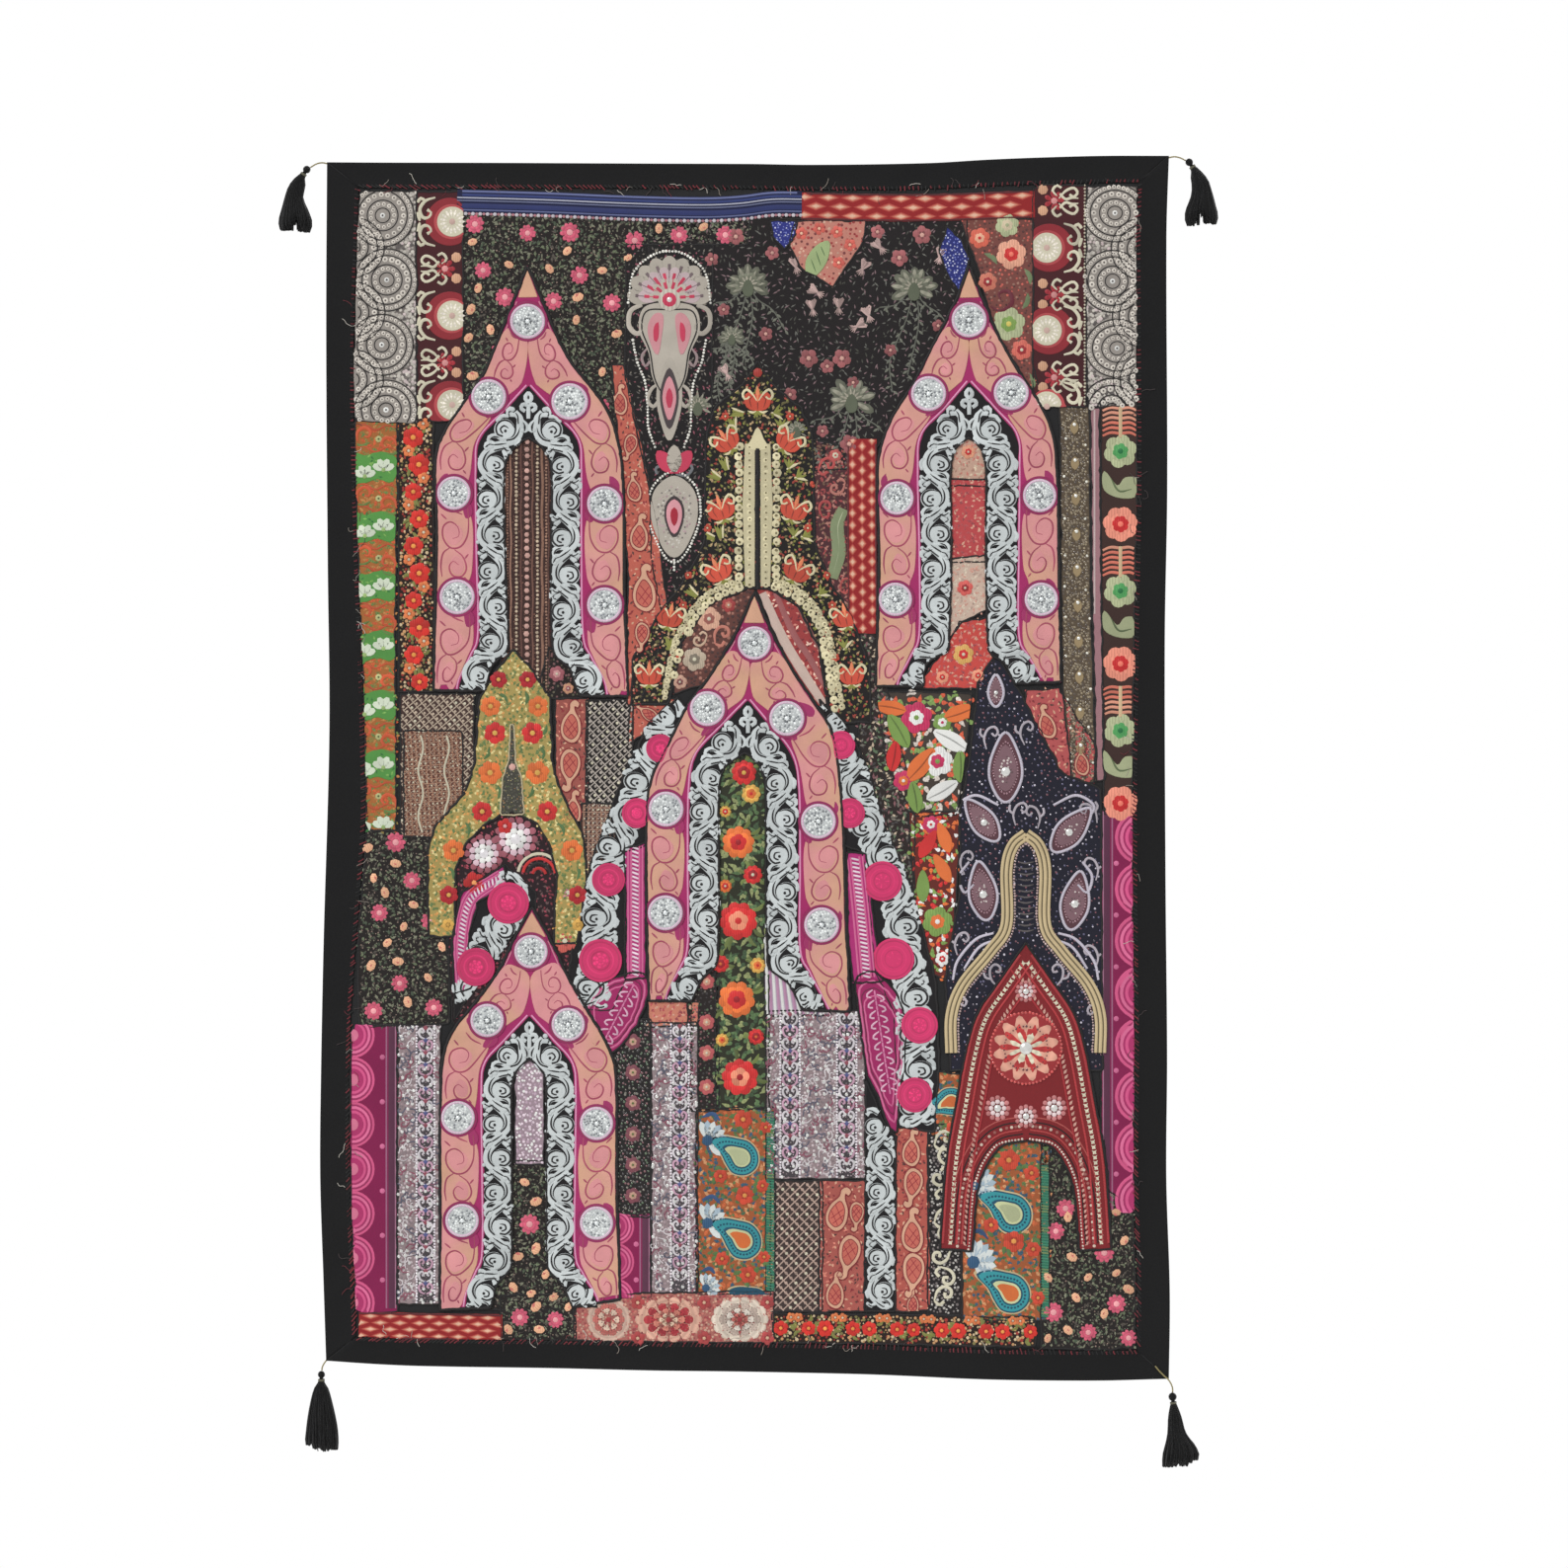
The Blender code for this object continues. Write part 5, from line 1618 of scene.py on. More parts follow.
def lattice(outline, ground, light, pitch, turn, level=BACK_LEVEL, knot=0.24):
    """Crossed threads with a knot in each square."""
    work = start_patch(outline, ground, level)
    line = work.limit
    middle, reach = line.mean(axis=0), np.ptp(line, axis=0).max() * 0.75
    for way in (turn, turn + 90):
        lay = placed(*middle, way)
        for offset in np.arange(-reach, reach, pitch):
            path = lay([(a, offset) for a in np.arange(-reach, reach, 5)])
            ribbon(work, path, pitch * 0.17, light * chance.uniform(0.75, 1.05), level, 0.5)
    a, b = np.meshgrid(np.arange(-reach, reach, pitch) + pitch / 2, np.arange(-reach, reach,
        pitch) + pitch / 2)
    spots = placed(*middle, turn)(np.column_stack((a.ravel(), b.ravel())))
    stamp(work, KNOT, *spots.T, pitch * knot, pick([light, light * 0.8, CREAM], len(spots)), level, rise=0.7)
    return work


lattice(box(-429, -655, -338, -832), dye(66, 48, 44), dye(186, 168, 148), 7.6,
    40).make("brown_cream_lattice")
work = lattice(box(-425, -700, -352, -832), dye(92, 58, 48), dye(170, 128, 104), 5.6, 4, BACK_LEVEL + 0.3)
for x in (-404, -372):
    ribbon(work, np.array([(x + 3 * math.sin(z / 9), z) for z in np.arange(-706, -828, -4.0)]), 2.4,
        CREAM * 0.9, BACK_LEVEL + 0.5)
work.make("brown_check_lattice")
lattice(box(-200, -662, -142, -868), dye(30, 26, 26), dye(178, 168, 158), 8.0,
    42).make("black_white_lattice")
lattice(box(-206, -790, -164, -880), dye(84, 56, 48), dye(176, 138, 116), 5.4, 0,
    BACK_LEVEL + 0.3).make("tan_check_lattice")

work = scraps(box(-306, -336, -238, -655), dye(58, 38, 35), [dye(96, 66, 56), dye(120, 84, 70)], 5.0, 1.0)
for x, width, colour in ((-300, 3, dye(120, 84, 70)), (-293, 2, dye(150, 112, 94)), (-280, 2, dye(96, 60,
        52)), (-266, 2, dye(110, 74, 62)), (-254, 3, dye(134, 98, 80)), (-246, 2, dye(90, 58, 50))):
    ribbon(work, np.array([(x + 0.6 * math.sin(z / 11), z) for z in np.arange(-340, -650, -5.0)]), width,
        colour, BACK_LEVEL, 0.5)
for x, size, colour in ((-286, 1.9, DULL_CREAM), (-273, 3.2, dye(190, 150, 140)), (-260, 1.9, DULL_CREAM),
        (-297, 1.3, dye(150, 112, 94)), (-249, 1.5, dye(160, 124, 104))):
    beads(work, [(x, -344), (x, -650)], size * 2.7, size, colour, BACK_LEVEL + 0.2, THREAD, rise=1.0)
work.make("striped_slot_cloth")
scraps([(-246, -598), (-232, -606), (-204, -640), (-204, -660), (-262, -660)], dye(34, 27, 26), [dye(120, 84,
    84), dye(92, 88, 70)], 6, level=BACK_LEVEL + 0.3, flowers=[(-236, -630, 10, dye(150, 84, 92), dye(196,
    140, 140), CREAM), (-222, -648, 7, dye(190, 140, 110), dye(150, 84, 92), CREAM)]).make("dark_slot_scrap")

DUSTY = [dye(196, 118, 106), dye(176, 78, 80), dye(206, 156, 134), dye(146, 66, 70)]
scraps(box(246, -336, 300, -398), dye(186, 152, 134), [dye(190, 116, 104), dye(160, 122, 106), dye(200, 180,
    156)], 5, length=6, flowers=[(272, -356, 9, dye(214, 150, 120), RED, CREAM)]).make("cream_slot_cloth")
scraps(box(246, -390, 300, -492), dye(176, 70, 72), DUSTY, 5.4, length=6,
    level=BACK_LEVEL + 0.2).make("red_slot_cloth")
scraps([(246, -488), (300, -484), (302, -548), (262, -566), (246, -592)], dye(192, 168, 152), [dye(196, 146,
    130), dye(176, 150, 136), dye(206, 190, 170)], 5, length=6, level=BACK_LEVEL + 0.4, flowers=[(268, -524,
    10, dye(206, 90, 84), dye(150, 40, 44), CREAM)]).make("pale_slot_cloth")
scraps([(300, -560), (262, -566), (238, -606), (206, -648), (308, -648)], dye(190, 72, 66), DUSTY, 5.4,
    length=6.5, level=BACK_LEVEL + 0.2, flowers=[(266, -606, 13, dye(206, 160, 90), RED, CREAM), (240, -634,
    8, dye(226, 150, 120), RED, CREAM), (284, -632, 8, dye(226, 150, 120), RED,
    CREAM)]).make("red_slot_foot")

OLIVE, ORANGE, YELLOW, DARK_RED = dye(96, 108, 58), dye(214, 108, 52), dye(206, 160, 78), dye(150, 26, 34)
work = scraps(box(-40, -726, 26, -1168), dye(44, 46, 34), [dye(84, 110, 70), dye(136, 144, 96), dye(58, 78,
    52)], 7.5, 2.6, length=11)
for x, z, size, colours in ((-5, -752, 17, (RED, DARK_RED, YELLOW)), (4, -778, 13, (YELLOW, ORANGE, RED)),
        (-12, -838, 22, (ORANGE, RED, DARK_RED)), (6, -878, 13, (RED, DARK_RED, CREAM)), (-12, -935, 26,
        (RED, dye(226, 140, 110), RED)), (-34, -988, 12, (RED, DARK_RED, ORANGE)), (12, -990, 11, (YELLOW,
        ORANGE, RED)), (-14, -1032, 25, (ORANGE, RED, DARK_RED)), (10, -1078, 11, (RED, DARK_RED, ORANGE)),
        (-32, -1082, 9, (YELLOW, ORANGE, RED)), (-10, -1128, 25, (RED, dye(226, 140, 110), DARK_RED)), (-28,
        -800, 8, (YELLOW, RED, CREAM)), (-28, -892, 9, (ORANGE, RED, CREAM))):
    for turn in chance.uniform(0, 360, 5):
        stroke(work, [(0, size * 0.8), (3, size * 1.15), (1, size * 1.5)], 5, OLIVE * chance.uniform(0.7,
            1.5), BACK_LEVEL + 0.2, placed(x, z, turn), (0.3, 0.1))
    petal_dye, ring_dye, eye_dye = colours
    turn = chance.uniform(0, 6)
    for ring, (share, count, colour) in enumerate(((0.78, 9, petal_dye), (0.5, 7, petal_dye * 1.25), (0.26,
            5, ring_dye))):
        angles = turn + ring * 0.4 + math.tau * np.arange(count) / count
        stamp(work, dome(9, 0.8, 0.9), x + size * share * 0.8 * np.cos(angles),
            z + size * share * 0.8 * np.sin(angles), size * 0.3, colour, BACK_LEVEL + 0.3 + ring * 0.5,
            rise=0.8, spread=0.1)
    disc(work, x, z, size * 0.18, eye_dye, BACK_LEVEL + 1.8, 0.6)
work.make("rose_garden_slot_cloth")

scraps(box(-288, -1104, -252, -1236), dye(150, 130, 140), [dye(214, 196, 206), dye(176, 150, 166), WHITE],
    4.6, 1.7, level=BACK_LEVEL + 0.2, finish=BEAD).make("lilac_slot_cloth")
black_floral("black_floral_slot", [(-300, -1232), (-246, -1232), (-212, -1414), (-322, -1416)], [(-270,
    -1310)], [(-276, -1258), (-262, -1282), (-262, -1340), (-284, -1350), (-250, -1372), (-290, -1388),
    (-240, -1400), (-268, -1396)])

# The clothes seen inside the arches.
scraps([(-60, -520), (12, -520), (6, -560), (-14, -590), (-46, -640), (-92, -655), (-92, -600)], dye(96, 60,
    54), [dye(160, 110, 96), dye(70, 46, 44)], 6, 2, flowers=[(-48, -562, 15, dye(206, 160, 136), dye(150,
    90, 80), CREAM), (-66, -612, 15, dye(176, 160, 140), dye(120, 110, 96), CREAM), (-24, -545, 9, dye(160,
    60, 60), dye(190, 120, 100), CREAM), (-84, -640, 9, dye(190, 150, 130), dye(120, 70, 70), CREAM)],
    curls=[(-34, -582, 40, 12, dye(190, 120, 104)), (-58, -588, 200, 9, dye(206, 176,
    150))]).make("arch_rose_scrap")
scraps([(8, -520), (70, -530), (104, -590), (108, -675), (80, -668), (52, -618), (28, -570)], dye(150, 60,
    60), [dye(206, 130, 116), dye(226, 190, 170), dye(112, 40, 46)], 6, length=6, lines=[([(18, -530), (40,
    -580), (66, -625), (94, -668)], 12, dye(196, 172, 160)), ([(34, -530), (56, -580), (76, -610), (98,
    -650)], 8, dye(150, 84, 84)), ([(60, -540), (78, -576), (94, -610)], 7, dye(120, 70,
    66))]).make("arch_stripe_scrap")
work = scraps([(-292, -790), (-356, -840), (-372, -960), (-364, -1064), (-300, -1064), (-196, -990), (-226,
    -870), (-250, -815)], dye(40, 26, 30), [dye(150, 60, 76), MAROON, dye(96, 70, 70)], 6, length=5)
for x, z, size in ((-326, -852, 24), (-287, -834, 27)):
    for share, count, colour in ((0.86, 14, dye(150, 84, 96)), (0.62, 11, dye(214, 184, 194)), (0.36, 7,
            WHITE)):
        angles = math.tau * np.arange(count) / count
        stamp(work, BUMP, x + size * share * np.cos(angles), z + size * share * np.sin(angles), size * 0.17,
            colour, BACK_LEVEL + 0.3, rise=1.4 - share)
    disc(work, x, z, size * 0.25, dye(240, 236, 238), BACK_LEVEL + 0.8, 0.8, MIRROR)
for reach in (26, 20, 14, 8):
    ribbon(work, np.array([(-258 + reach * math.cos(a), -878 + reach * math.sin(a)) for a in np.linspace(0.1,
        3, 14)]), 3.6, (RED * 0.8, dye(30, 22, 24), RED, CREAM)[reach // 6 - 1], BACK_LEVEL + 0.4, 1.0)
rose(work, -338, -888, 14, RED * 0.8, BACK_LEVEL + 0.4, dye(226, 150, 90))
rose(work, -300, -818, 10, RED * 0.9, BACK_LEVEL + 0.4, dye(226, 170, 170))
rose(work, -226, -960, 15, dye(196, 90, 80), BACK_LEVEL + 0.4, CREAM)
rose(work, -222, -900, 12, dye(206, 130, 150), BACK_LEVEL + 0.4, CREAM)
work.make("arch_rosette_scrap")

# ------------------------------
# The lower part: magenta scalloped sari borders down both sides, lilac cloths sewn with beads
# and sequins, turquoise paisley prints, lattices, and a row of faded red medallions.
# ------------------------------
def scallops(name, outline, x, stops, reach, side):
    """Half discs in pink arcs down one edge of a magenta strip, and a plum band at the other."""
    work = start_patch(outline, dye(124, 26, 72))
    far = (outline[2][0] if side > 0 else outline[0][0]) - side * 4
    low, high = min(z for _, z in outline), max(z for _, z in outline)
    for offset, width, colour in ((3, 9, dye(84, 34, 62)), (10, 1.8, dye(150, 96, 124)), (-1, 1.6, dye(160,
            110, 134))):
        ribbon(work, np.array([(far - side * offset, z) for z in np.arange(high - 2, low, -6.0)]), width,
            colour, BACK_LEVEL, 0.4)
    for z in stops:
        for share, colour in ((1, dye(206, 84, 130)), (0.9, dye(150, 36, 88)), (0.82, dye(214, 104, 146)),
                (0.7, dye(160, 38, 94)), (0.62, dye(206, 80, 130)), (0.5, dye(168, 40, 98)), (0.26, dye(206,
                110, 140))):
            turn = np.linspace(-1.57, 1.57, 15)
            half = np.column_stack((x + side * reach * share * np.cos(turn),
                z + reach * 1.02 * share * np.sin(turn)))
            fill(work, half, colour, BACK_LEVEL + 1 - share, rise=0.4, curved=False)
        stamp(work, BUMP, far - side * 15, z - reach, 3.4, dye(196, 100, 140), BACK_LEVEL, rise=0.9)
    return work.make(name)


scallops("magenta_scallop_left", box(-492, -1063, -432, -1418), -488, np.arange(-1076, -1440, -55.0), 27, 1)
scallops("magenta_scallop_right", box(436, -798, 488, -1296), 486, np.arange(-832, -1300, -64.0), 32, -1)
scallops("magenta_scallop_bottom", box(-164, -1296, -119, -1400), -163, np.arange(-1312, -1420, -44.0), 22,
    1)


def lilac_cloth(name, outline, bands):
    """Lilac-grey cloth with bead rows; bands are x positions of worked leaf borders."""
    work = scraps(outline, dye(140, 124, 126), [dye(206, 192, 194), dye(176, 154, 160), dye(132, 118, 122)],
        4.4, 1.5)
    low, high = work.limit.min(axis=0), work.limit.max(axis=0)
    for x, half in bands:
        fill(work, even_edges(np.array([(x - half, high[1] - 3), (x - half, low[1] + 3), (x + half,
            low[1] + 3), (x + half, high[1] - 3), (x - half, high[1] - 3)], float), 8), dye(64, 58, 62),
            BACK_LEVEL, rise=0.3, curved=False)
        for step, z in enumerate(np.arange(high[1] - 12, low[1] + 8, -15.0)):
            way = 1 if step % 2 else -1
            for side in (-1, 1):
                lay = placed(x, z, 0, half / 12, side)
                stroke(work, [(1, -7), (7, -4), (9, 3), (5, 7), (2, 3), (5, 1)], 2.8, (dye(206, 200, 204),
                    dye(190, 150, 170))[way > 0], BACK_LEVEL + 0.4, lay, (0.6, 0.9))
            stamp(work, BUMP, x, z + 7, 3.0, (dye(140, 70, 84), dye(80, 84, 130))[way > 0], BACK_LEVEL + 0.4)
        for side in (-half, half):
            beads(work, [(x + side, high[1] - 3), (x + side, low[1] + 3)], 3.6, 1.5, dye(222, 214, 220),
                BACK_LEVEL + 0.3)
    for x, z in strew(work.limit, 12.0):
        if all(abs(x - stop) > half for stop, half in bands):
            lay = placed(x, z, chance.uniform(0, 360), 0.8)
            for points in ([(-8, -3), (-2, 4), (4, 3), (4, -2), (0, -2)], [(3, 3), (8, 6), (10, 2)]):
                stroke(work, points, 1.7, (dye(92, 92, 108), dye(140, 78, 96), dye(206, 198,
                    200))[int(abs(x + z)) % 3], BACK_LEVEL + 0.4, lay, (0.6, 0.8))
    sequins = strew(work.limit, 11)
    stamp(work, KNOT, *sequins.T, 2.1, WHITE, BACK_LEVEL + 0.5, rise=0.9, finish=MIRROR)
    return work.make(name)


lilac_cloth("lilac_strip_left", box(-433, -1063, -380, -1408), [(-398, 11)])
lilac_cloth("lilac_strip_middle", box(-120, -1060, -62, -1394), [(-84, 11)])
lilac_cloth("lilac_panel", box(22, -1046, 145, -1254), [(52, 12), (122, 12)])
scraps([(-124, -1034), (-60, -1034), (-62, -1064), (-122, -1066)], dye(190, 120, 100), DUSTY, 5,
    length=6).make("coral_band_scrap")
DARK_BEADS = [dye(110, 106, 96), dye(84, 104, 78), dye(120, 80, 84), dye(60, 56, 56)]
scraps(box(-166, -1056, -119, -1300), dye(34, 31, 31), DARK_BEADS, 4.8, 1.4, finish=BEAD, flowers=[(-142, z,
    10, dye(120, 66, 76), dye(190, 150, 130), OLIVE) for z in range(-1084, -1290,
    -38)]).make("dark_bead_strip")
scraps([(124, -566), (160, -580), (172, -650), (206, -790), (206, -912), (146, -912), (140, -742), (132,
    -640)], dye(42, 34, 32), DARK_BEADS + [DULL_CREAM], 5.0, 1.6, length=7).make("dark_tangle_strip")
scraps(box(-74, -975, -36, -1170), dye(36, 30, 29), DARK_BEADS, 5.2, 1.4, flowers=[(-51, z, 10, dye(176, 84,
    86), dye(206, 150, 126), CREAM) for z in (-1010, -1060, -1098, -1140)]).make("dark_flower_scrap")

TURQUOISE, TEAL_LINE = dye(48, 142, 150), dye(22, 74, 96)


def paisley_print(name, outline, drops, fans, roses, ground=dye(150, 84, 50), level=BACK_LEVEL):
    """A block-printed cloth: turquoise paisleys on orange and green, with white fans at its edge."""
    work = scraps(outline, ground, [dye(90, 110, 64), dye(190, 96, 54), dye(64, 92, 66), dye(196, 140, 96),
        dye(52, 84, 104)], 5.6, 2.4, level, length=8)
    for x, z, size in roses:
        for turn in chance.uniform(0, 360, 4):
            stroke(work, [(0, 5), (4, 13), (1, 21)], 6, dye(84, 112, 62), level + 0.2, placed(x, z, turn,
                size / 14), (0.4, 0.1))
        rose(work, x, z, size, dye(190, 66, 44), level + 0.4, dye(206, 140, 70), 6)
    for x, z, size in fans:
        for turn in range(-80, 100, 20):
            fill(work, [(0, 2), (-3.4, 12), (0, 20), (3.4, 12)], (dye(206, 212, 210), dye(160, 178,
                190))[turn % 40 > 0], level + 0.3, placed(x, z, turn - 60, size / 18), rise=0.5)
        stamp(work, BUMP, x, z, size * 0.32, dye(44, 80, 112), level + 0.9)
        stroke(work, [(-6, 26), (6, 30), (14, 22)], 5, dye(48, 78, 120), level + 0.3, placed(x, z, 0,
            size / 20))
    drop = [(-30, 12), (-16, 16), (2, 12), (18, 6), (27, -8), (25, -24), (12, -33), (-4, -30), (-12, -18),
        (-18, -4)]
    middle = np.array((7, -12))
    for x, z, turn, size, flip, inner in drops:
        lay = placed(x, z, turn, size, flip)
        for share, colour, lift in ((1.08, dye(190, 170, 130), 0.2), (1.0, TEAL_LINE, 0.5), (0.93, TURQUOISE,
                0.7), (0.6, TEAL_LINE, 1.1), (0.52, dye(190, 196, 150), 1.3), (0.4, inner, 1.5)):
            fill(work, (np.array(drop, float) - middle) * share + middle, colour, level + lift, lay,
                rise=0.3)
        dots = (smooth(drop, 5, closed=True) - middle) * 0.76 + middle
        stamp(work, SPECK, *lay(dots[:-1]).T, 1.5 * size, TEAL_LINE, level + 1.0, rise=0.5)
    return work.make(name)


AMBER = dye(196, 100, 46)
paisley_print("turquoise_paisley_print", box(-64, -1166, 34, -1396), [(-16, -1216, 4, 1.0, 1, SAGE), (-14,
    -1318, 4, 1.05, 1, AMBER), (2, -1398, 10, 0.8, 1, AMBER)], [(-50, -1206, 22), (-50, -1308, 22), (-52,
    -1388, 16)], [(-6, -1180, 12), (-34, -1250, 9), (-4, -1274, 12), (-32, -1352, 9), (0, -1372, 11), (22,
    -1190, 8), (18, -1262, 8), (20, -1350, 8)])
paisley_print("turquoise_opening_print", box(264, -1196, 372, -1428), [(318, -1284, 4, 1.1, 1, SAGE), (316,
    -1382, 4, 1.1, 1, AMBER)], [(280, -1262, 24), (278, -1356, 26)], [(322, -1230, 14), (350, -1246, 10),
    (300, -1310, 10), (328, -1330, 14), (352, -1340, 10), (358, -1400, 9)])
paisley_print("turquoise_scrap", [(222, -1120), (264, -1124), (256, -1214), (226, -1200)], [(240, -1158, 60,
    0.8, 1, AMBER)], [], [(252, -1190, 8)])
for x, top, bottom in ((28, -1170, -1392), (367, -1236, -1424)):
    work = start_patch(box(x - 6, top, x + 5, bottom), dye(44, 104, 84), BACK_LEVEL + 0.3, edge=1.8)
    for z in np.arange(top - 3, bottom, -3.4):
        stroke(work, [(x - 5, z), (x + 4, z - 1)], 2.0, (dye(54, 124, 96), dye(110, 130,
            84))[round(z) % 3 == 0], BACK_LEVEL + 0.3, step=6, ends=(1, 1))
    work.make(f"green_selvedge_{'left' if x < 100 else 'right'}")
lattice(box(28, -1256, 92, -1418), dye(60, 48, 46), dye(186, 160, 146), 8.6, 44).make("rose_lattice")
paisley_strip("coral_paisley_panel", box(88, -1256, 146, -1418), [(112, -1292, -12, 0.9), (124, -1350, 172,
    0.9), (108, -1392, 0, 0.75), (134, -1300, 180, 0.6)], ground=dye(160, 84, 76), level=BACK_LEVEL + 0.2)
scraps(box(222, -1186, 264, -1422), dye(32, 28, 29), [dye(190, 186, 180), dye(120, 112, 110)], 5, 1.6,
    curls=[(240 + 5 * (k % 2), -1204 - 24 * k, 90 * k + 20, 12,
    CREAM) for k in range(9)]).make("scroll_scrap")
scraps([(78, -340), (128, -350), (130, -572), (104, -560), (84, -490)], dye(74, 42, 46), [dye(150, 66, 66),
    dye(112, 84, 66), dye(170, 116, 104)], 5, length=6, curls=[(96, -372, 20, 11, dye(176, 76, 74)), (112,
    -400, 200, 10, dye(186, 120, 108)), (94, -426, 60, 10, dye(170, 70, 70)), (120, -520, 40, 9, dye(170, 76,
    72))], flowers=[(108, -360, 8, dye(176, 84, 80), CREAM, RED)], lines=[([(104, -512), (112, -480), (110,
    -446), (118, -426)], 17, dye(128, 140, 104)), ([(105, -508), (112, -478), (111, -448), (117, -430)], 6,
    dye(176, 182, 150))]).make("maroon_leaf_scrap")
work = start_patch([(20, -940), (60, -960), (76, -1000), (104, -1052), (20, -1052)], dye(168, 152, 168))
# The pleats are flat ribbons in turn whitish and mauve on the lilac: painted light on one side of each pleat and
# painted shade on the other.
for x in np.arange(24, 110, 5.0):
    ribbon(work, smooth([(x, -1050), (x * 0.8 + 4, -1000), (x * 0.7 + 4, -955)], 6), 3.4, (WHITE * 0.9,
        dye(176, 130, 160))[int(x) % 2], BACK_LEVEL, 0.7)
work.make("lilac_pleated_scrap")

work = start_patch([(-214, -1398), (-120, -1394), (32, -1392), (32, -1460), (-120, -1462), (-216, -1460)],
    dye(160, 98, 90), BACK_LEVEL + 0.3)
cobble(work, work.limit, 4.2, 1.6, DUSTY + [dye(196, 160, 140)], BACK_LEVEL + 0.3)
ROW, turn_line = BACK_LEVEL + 0.5, np.linspace(0, math.tau, 30)
for x, wide, tones in ((-172, 26, (dye(190, 160, 144), dye(176, 96, 88), dye(206, 180, 160))), (-98, 40,
        (dye(206, 160, 140), dye(160, 46, 54), dye(196, 120, 104), dye(214, 186, 160))), (-10, 34, (dye(206,
        192, 176), dye(178, 160, 148), dye(206, 196, 184), dye(176, 92, 84)))):
    for ring, (tone, share) in enumerate(zip(tones, (1.0, 0.74, 0.5, 0.28))):
        count = max(round(14 * share), 6)
        turn = math.tau * np.arange(count) / count
        reach = np.column_stack((np.cos(turn) * wide * share, np.sin(turn) * 27 * share))
        stamp(work, LEAF, x + reach[:, 0] * 0.45, -1427 + reach[:, 1] * 0.45, 5.5 * share + 1.6, tone,
            ROW + ring * 0.4, length=np.linalg.norm(reach, axis=1) * 0.6, turn=np.arctan2(reach[:, 1],
            reach[:, 0]), rise=0.6)
        beads(work, np.column_stack((x + np.cos(turn_line) * wide * share * 0.7,
            -1427 + np.sin(turn_line) * 19 * share)), 3.6, 0.9, tone * 0.55, ROW + 0.5 + ring * 0.4, THREAD)
    stamp(work, BUMP, x, -1427, 3.4, dye(150, 50, 54), ROW + 1.9)
for x in (-136, -54, 24):
    for z in (-1406, -1450):
        rose(work, x, z, 9, dye(170, 66, 66), ROW, dye(206, 170, 140))
work.make("faded_medallion_row")


# ------------------------------
# Two narrow arches cut from embroidered neck fronts: the middle one has red blooms, cream curls
# and green leaves on black round a scalloped placket; the left one is olive with orange flowers.
# ------------------------------
ARCH_LEVEL = 2.7
BLOOM_RED, LEAF_LIME, IVORY = dye(192, 74, 54), dye(132, 134, 62), dye(214, 204, 166)


def bloom(work, x, z, turn, size, colour=BLOOM_RED):
    """A round red bloom under two cream curls, with lime and ivory leaves at its foot."""
    lay = placed(x, z, turn, size)
    for angle in (-70, -45, -22, 22, 45, 70):
        leaf_dye = LEAF_LIME if abs(angle) < 60 else IVORY
        stroke(work, [(0, -8), (angle / 22, -14), (angle / 7, -20 + abs(angle) / 9)], 3.6, leaf_dye,
            ARCH_LEVEL, lay, (0.6, 0.2))
    fill(work, [(0, -12), (-10, -9), (-13, 0), (-9, 6), (0, 3), (9, 6), (13, 0), (10, -9)], colour,
        ARCH_LEVEL + 0.2, lay)
    for points in ([(-6, -9), (-8, -1), (-4, 3)], [(0, -11), (0, -2)], [(6, -9), (8, -1), (4, 3)]):
        stroke(work, points, 1.5, colour * 0.45, ARCH_LEVEL + 0.9, lay, rise=0.4)
    stroke(work, [(0, -5), (0, 6), (0, 12)], 5, dye(222, 130, 90), ARCH_LEVEL + 0.5, lay, (0.5, 0.2))
    for side in (-1, 1):
        curl = np.array([(1, -2), (5, 4), (11, 9), (15, 4), (12, -1), (8, 2)], float) * (side, 1)
        stroke(work, curl, 3.2, IVORY, ARCH_LEVEL + 0.7, lay, (0.5, 0.9))


black_arch = [(12, -244), (-6, -272), (-42, -302), (-52, -340), (-54, -470), (-82, -520), (-112, -560),
    (-142, -612), (-144, -668), (-98, -668), (-82, -592), (-50, -546), (0, -524), (24, -524), (62, -546),
    (88, -598), (98, -668), (112, -690), (152, -690), (150, -620), (128, -560), (104, -520), (82, -470), (80,
    -340), (66, -302), (30, -272)]
work = start_patch(black_arch, dye(28, 25, 24), ARCH_LEVEL, edge=3.4)
spots = strew(work.limit, 5.5)
stamp(work, LEAF, *spots.T, 1.7, pick([LEAF_LIME * 0.8, dye(150, 60, 48), dye(90, 84, 50), dye(176, 150,
    110)], len(spots)), ARCH_LEVEL, length=chance.uniform(3, 7, len(spots)), turn=chance.uniform(0, 6.28,
    len(spots)), rise=0.5)
bloom(work, 12, -290, 0, 1.25)
disc(work, 12, -258, 6, dye(160, 54, 46), ARCH_LEVEL + 0.2, 0.8)
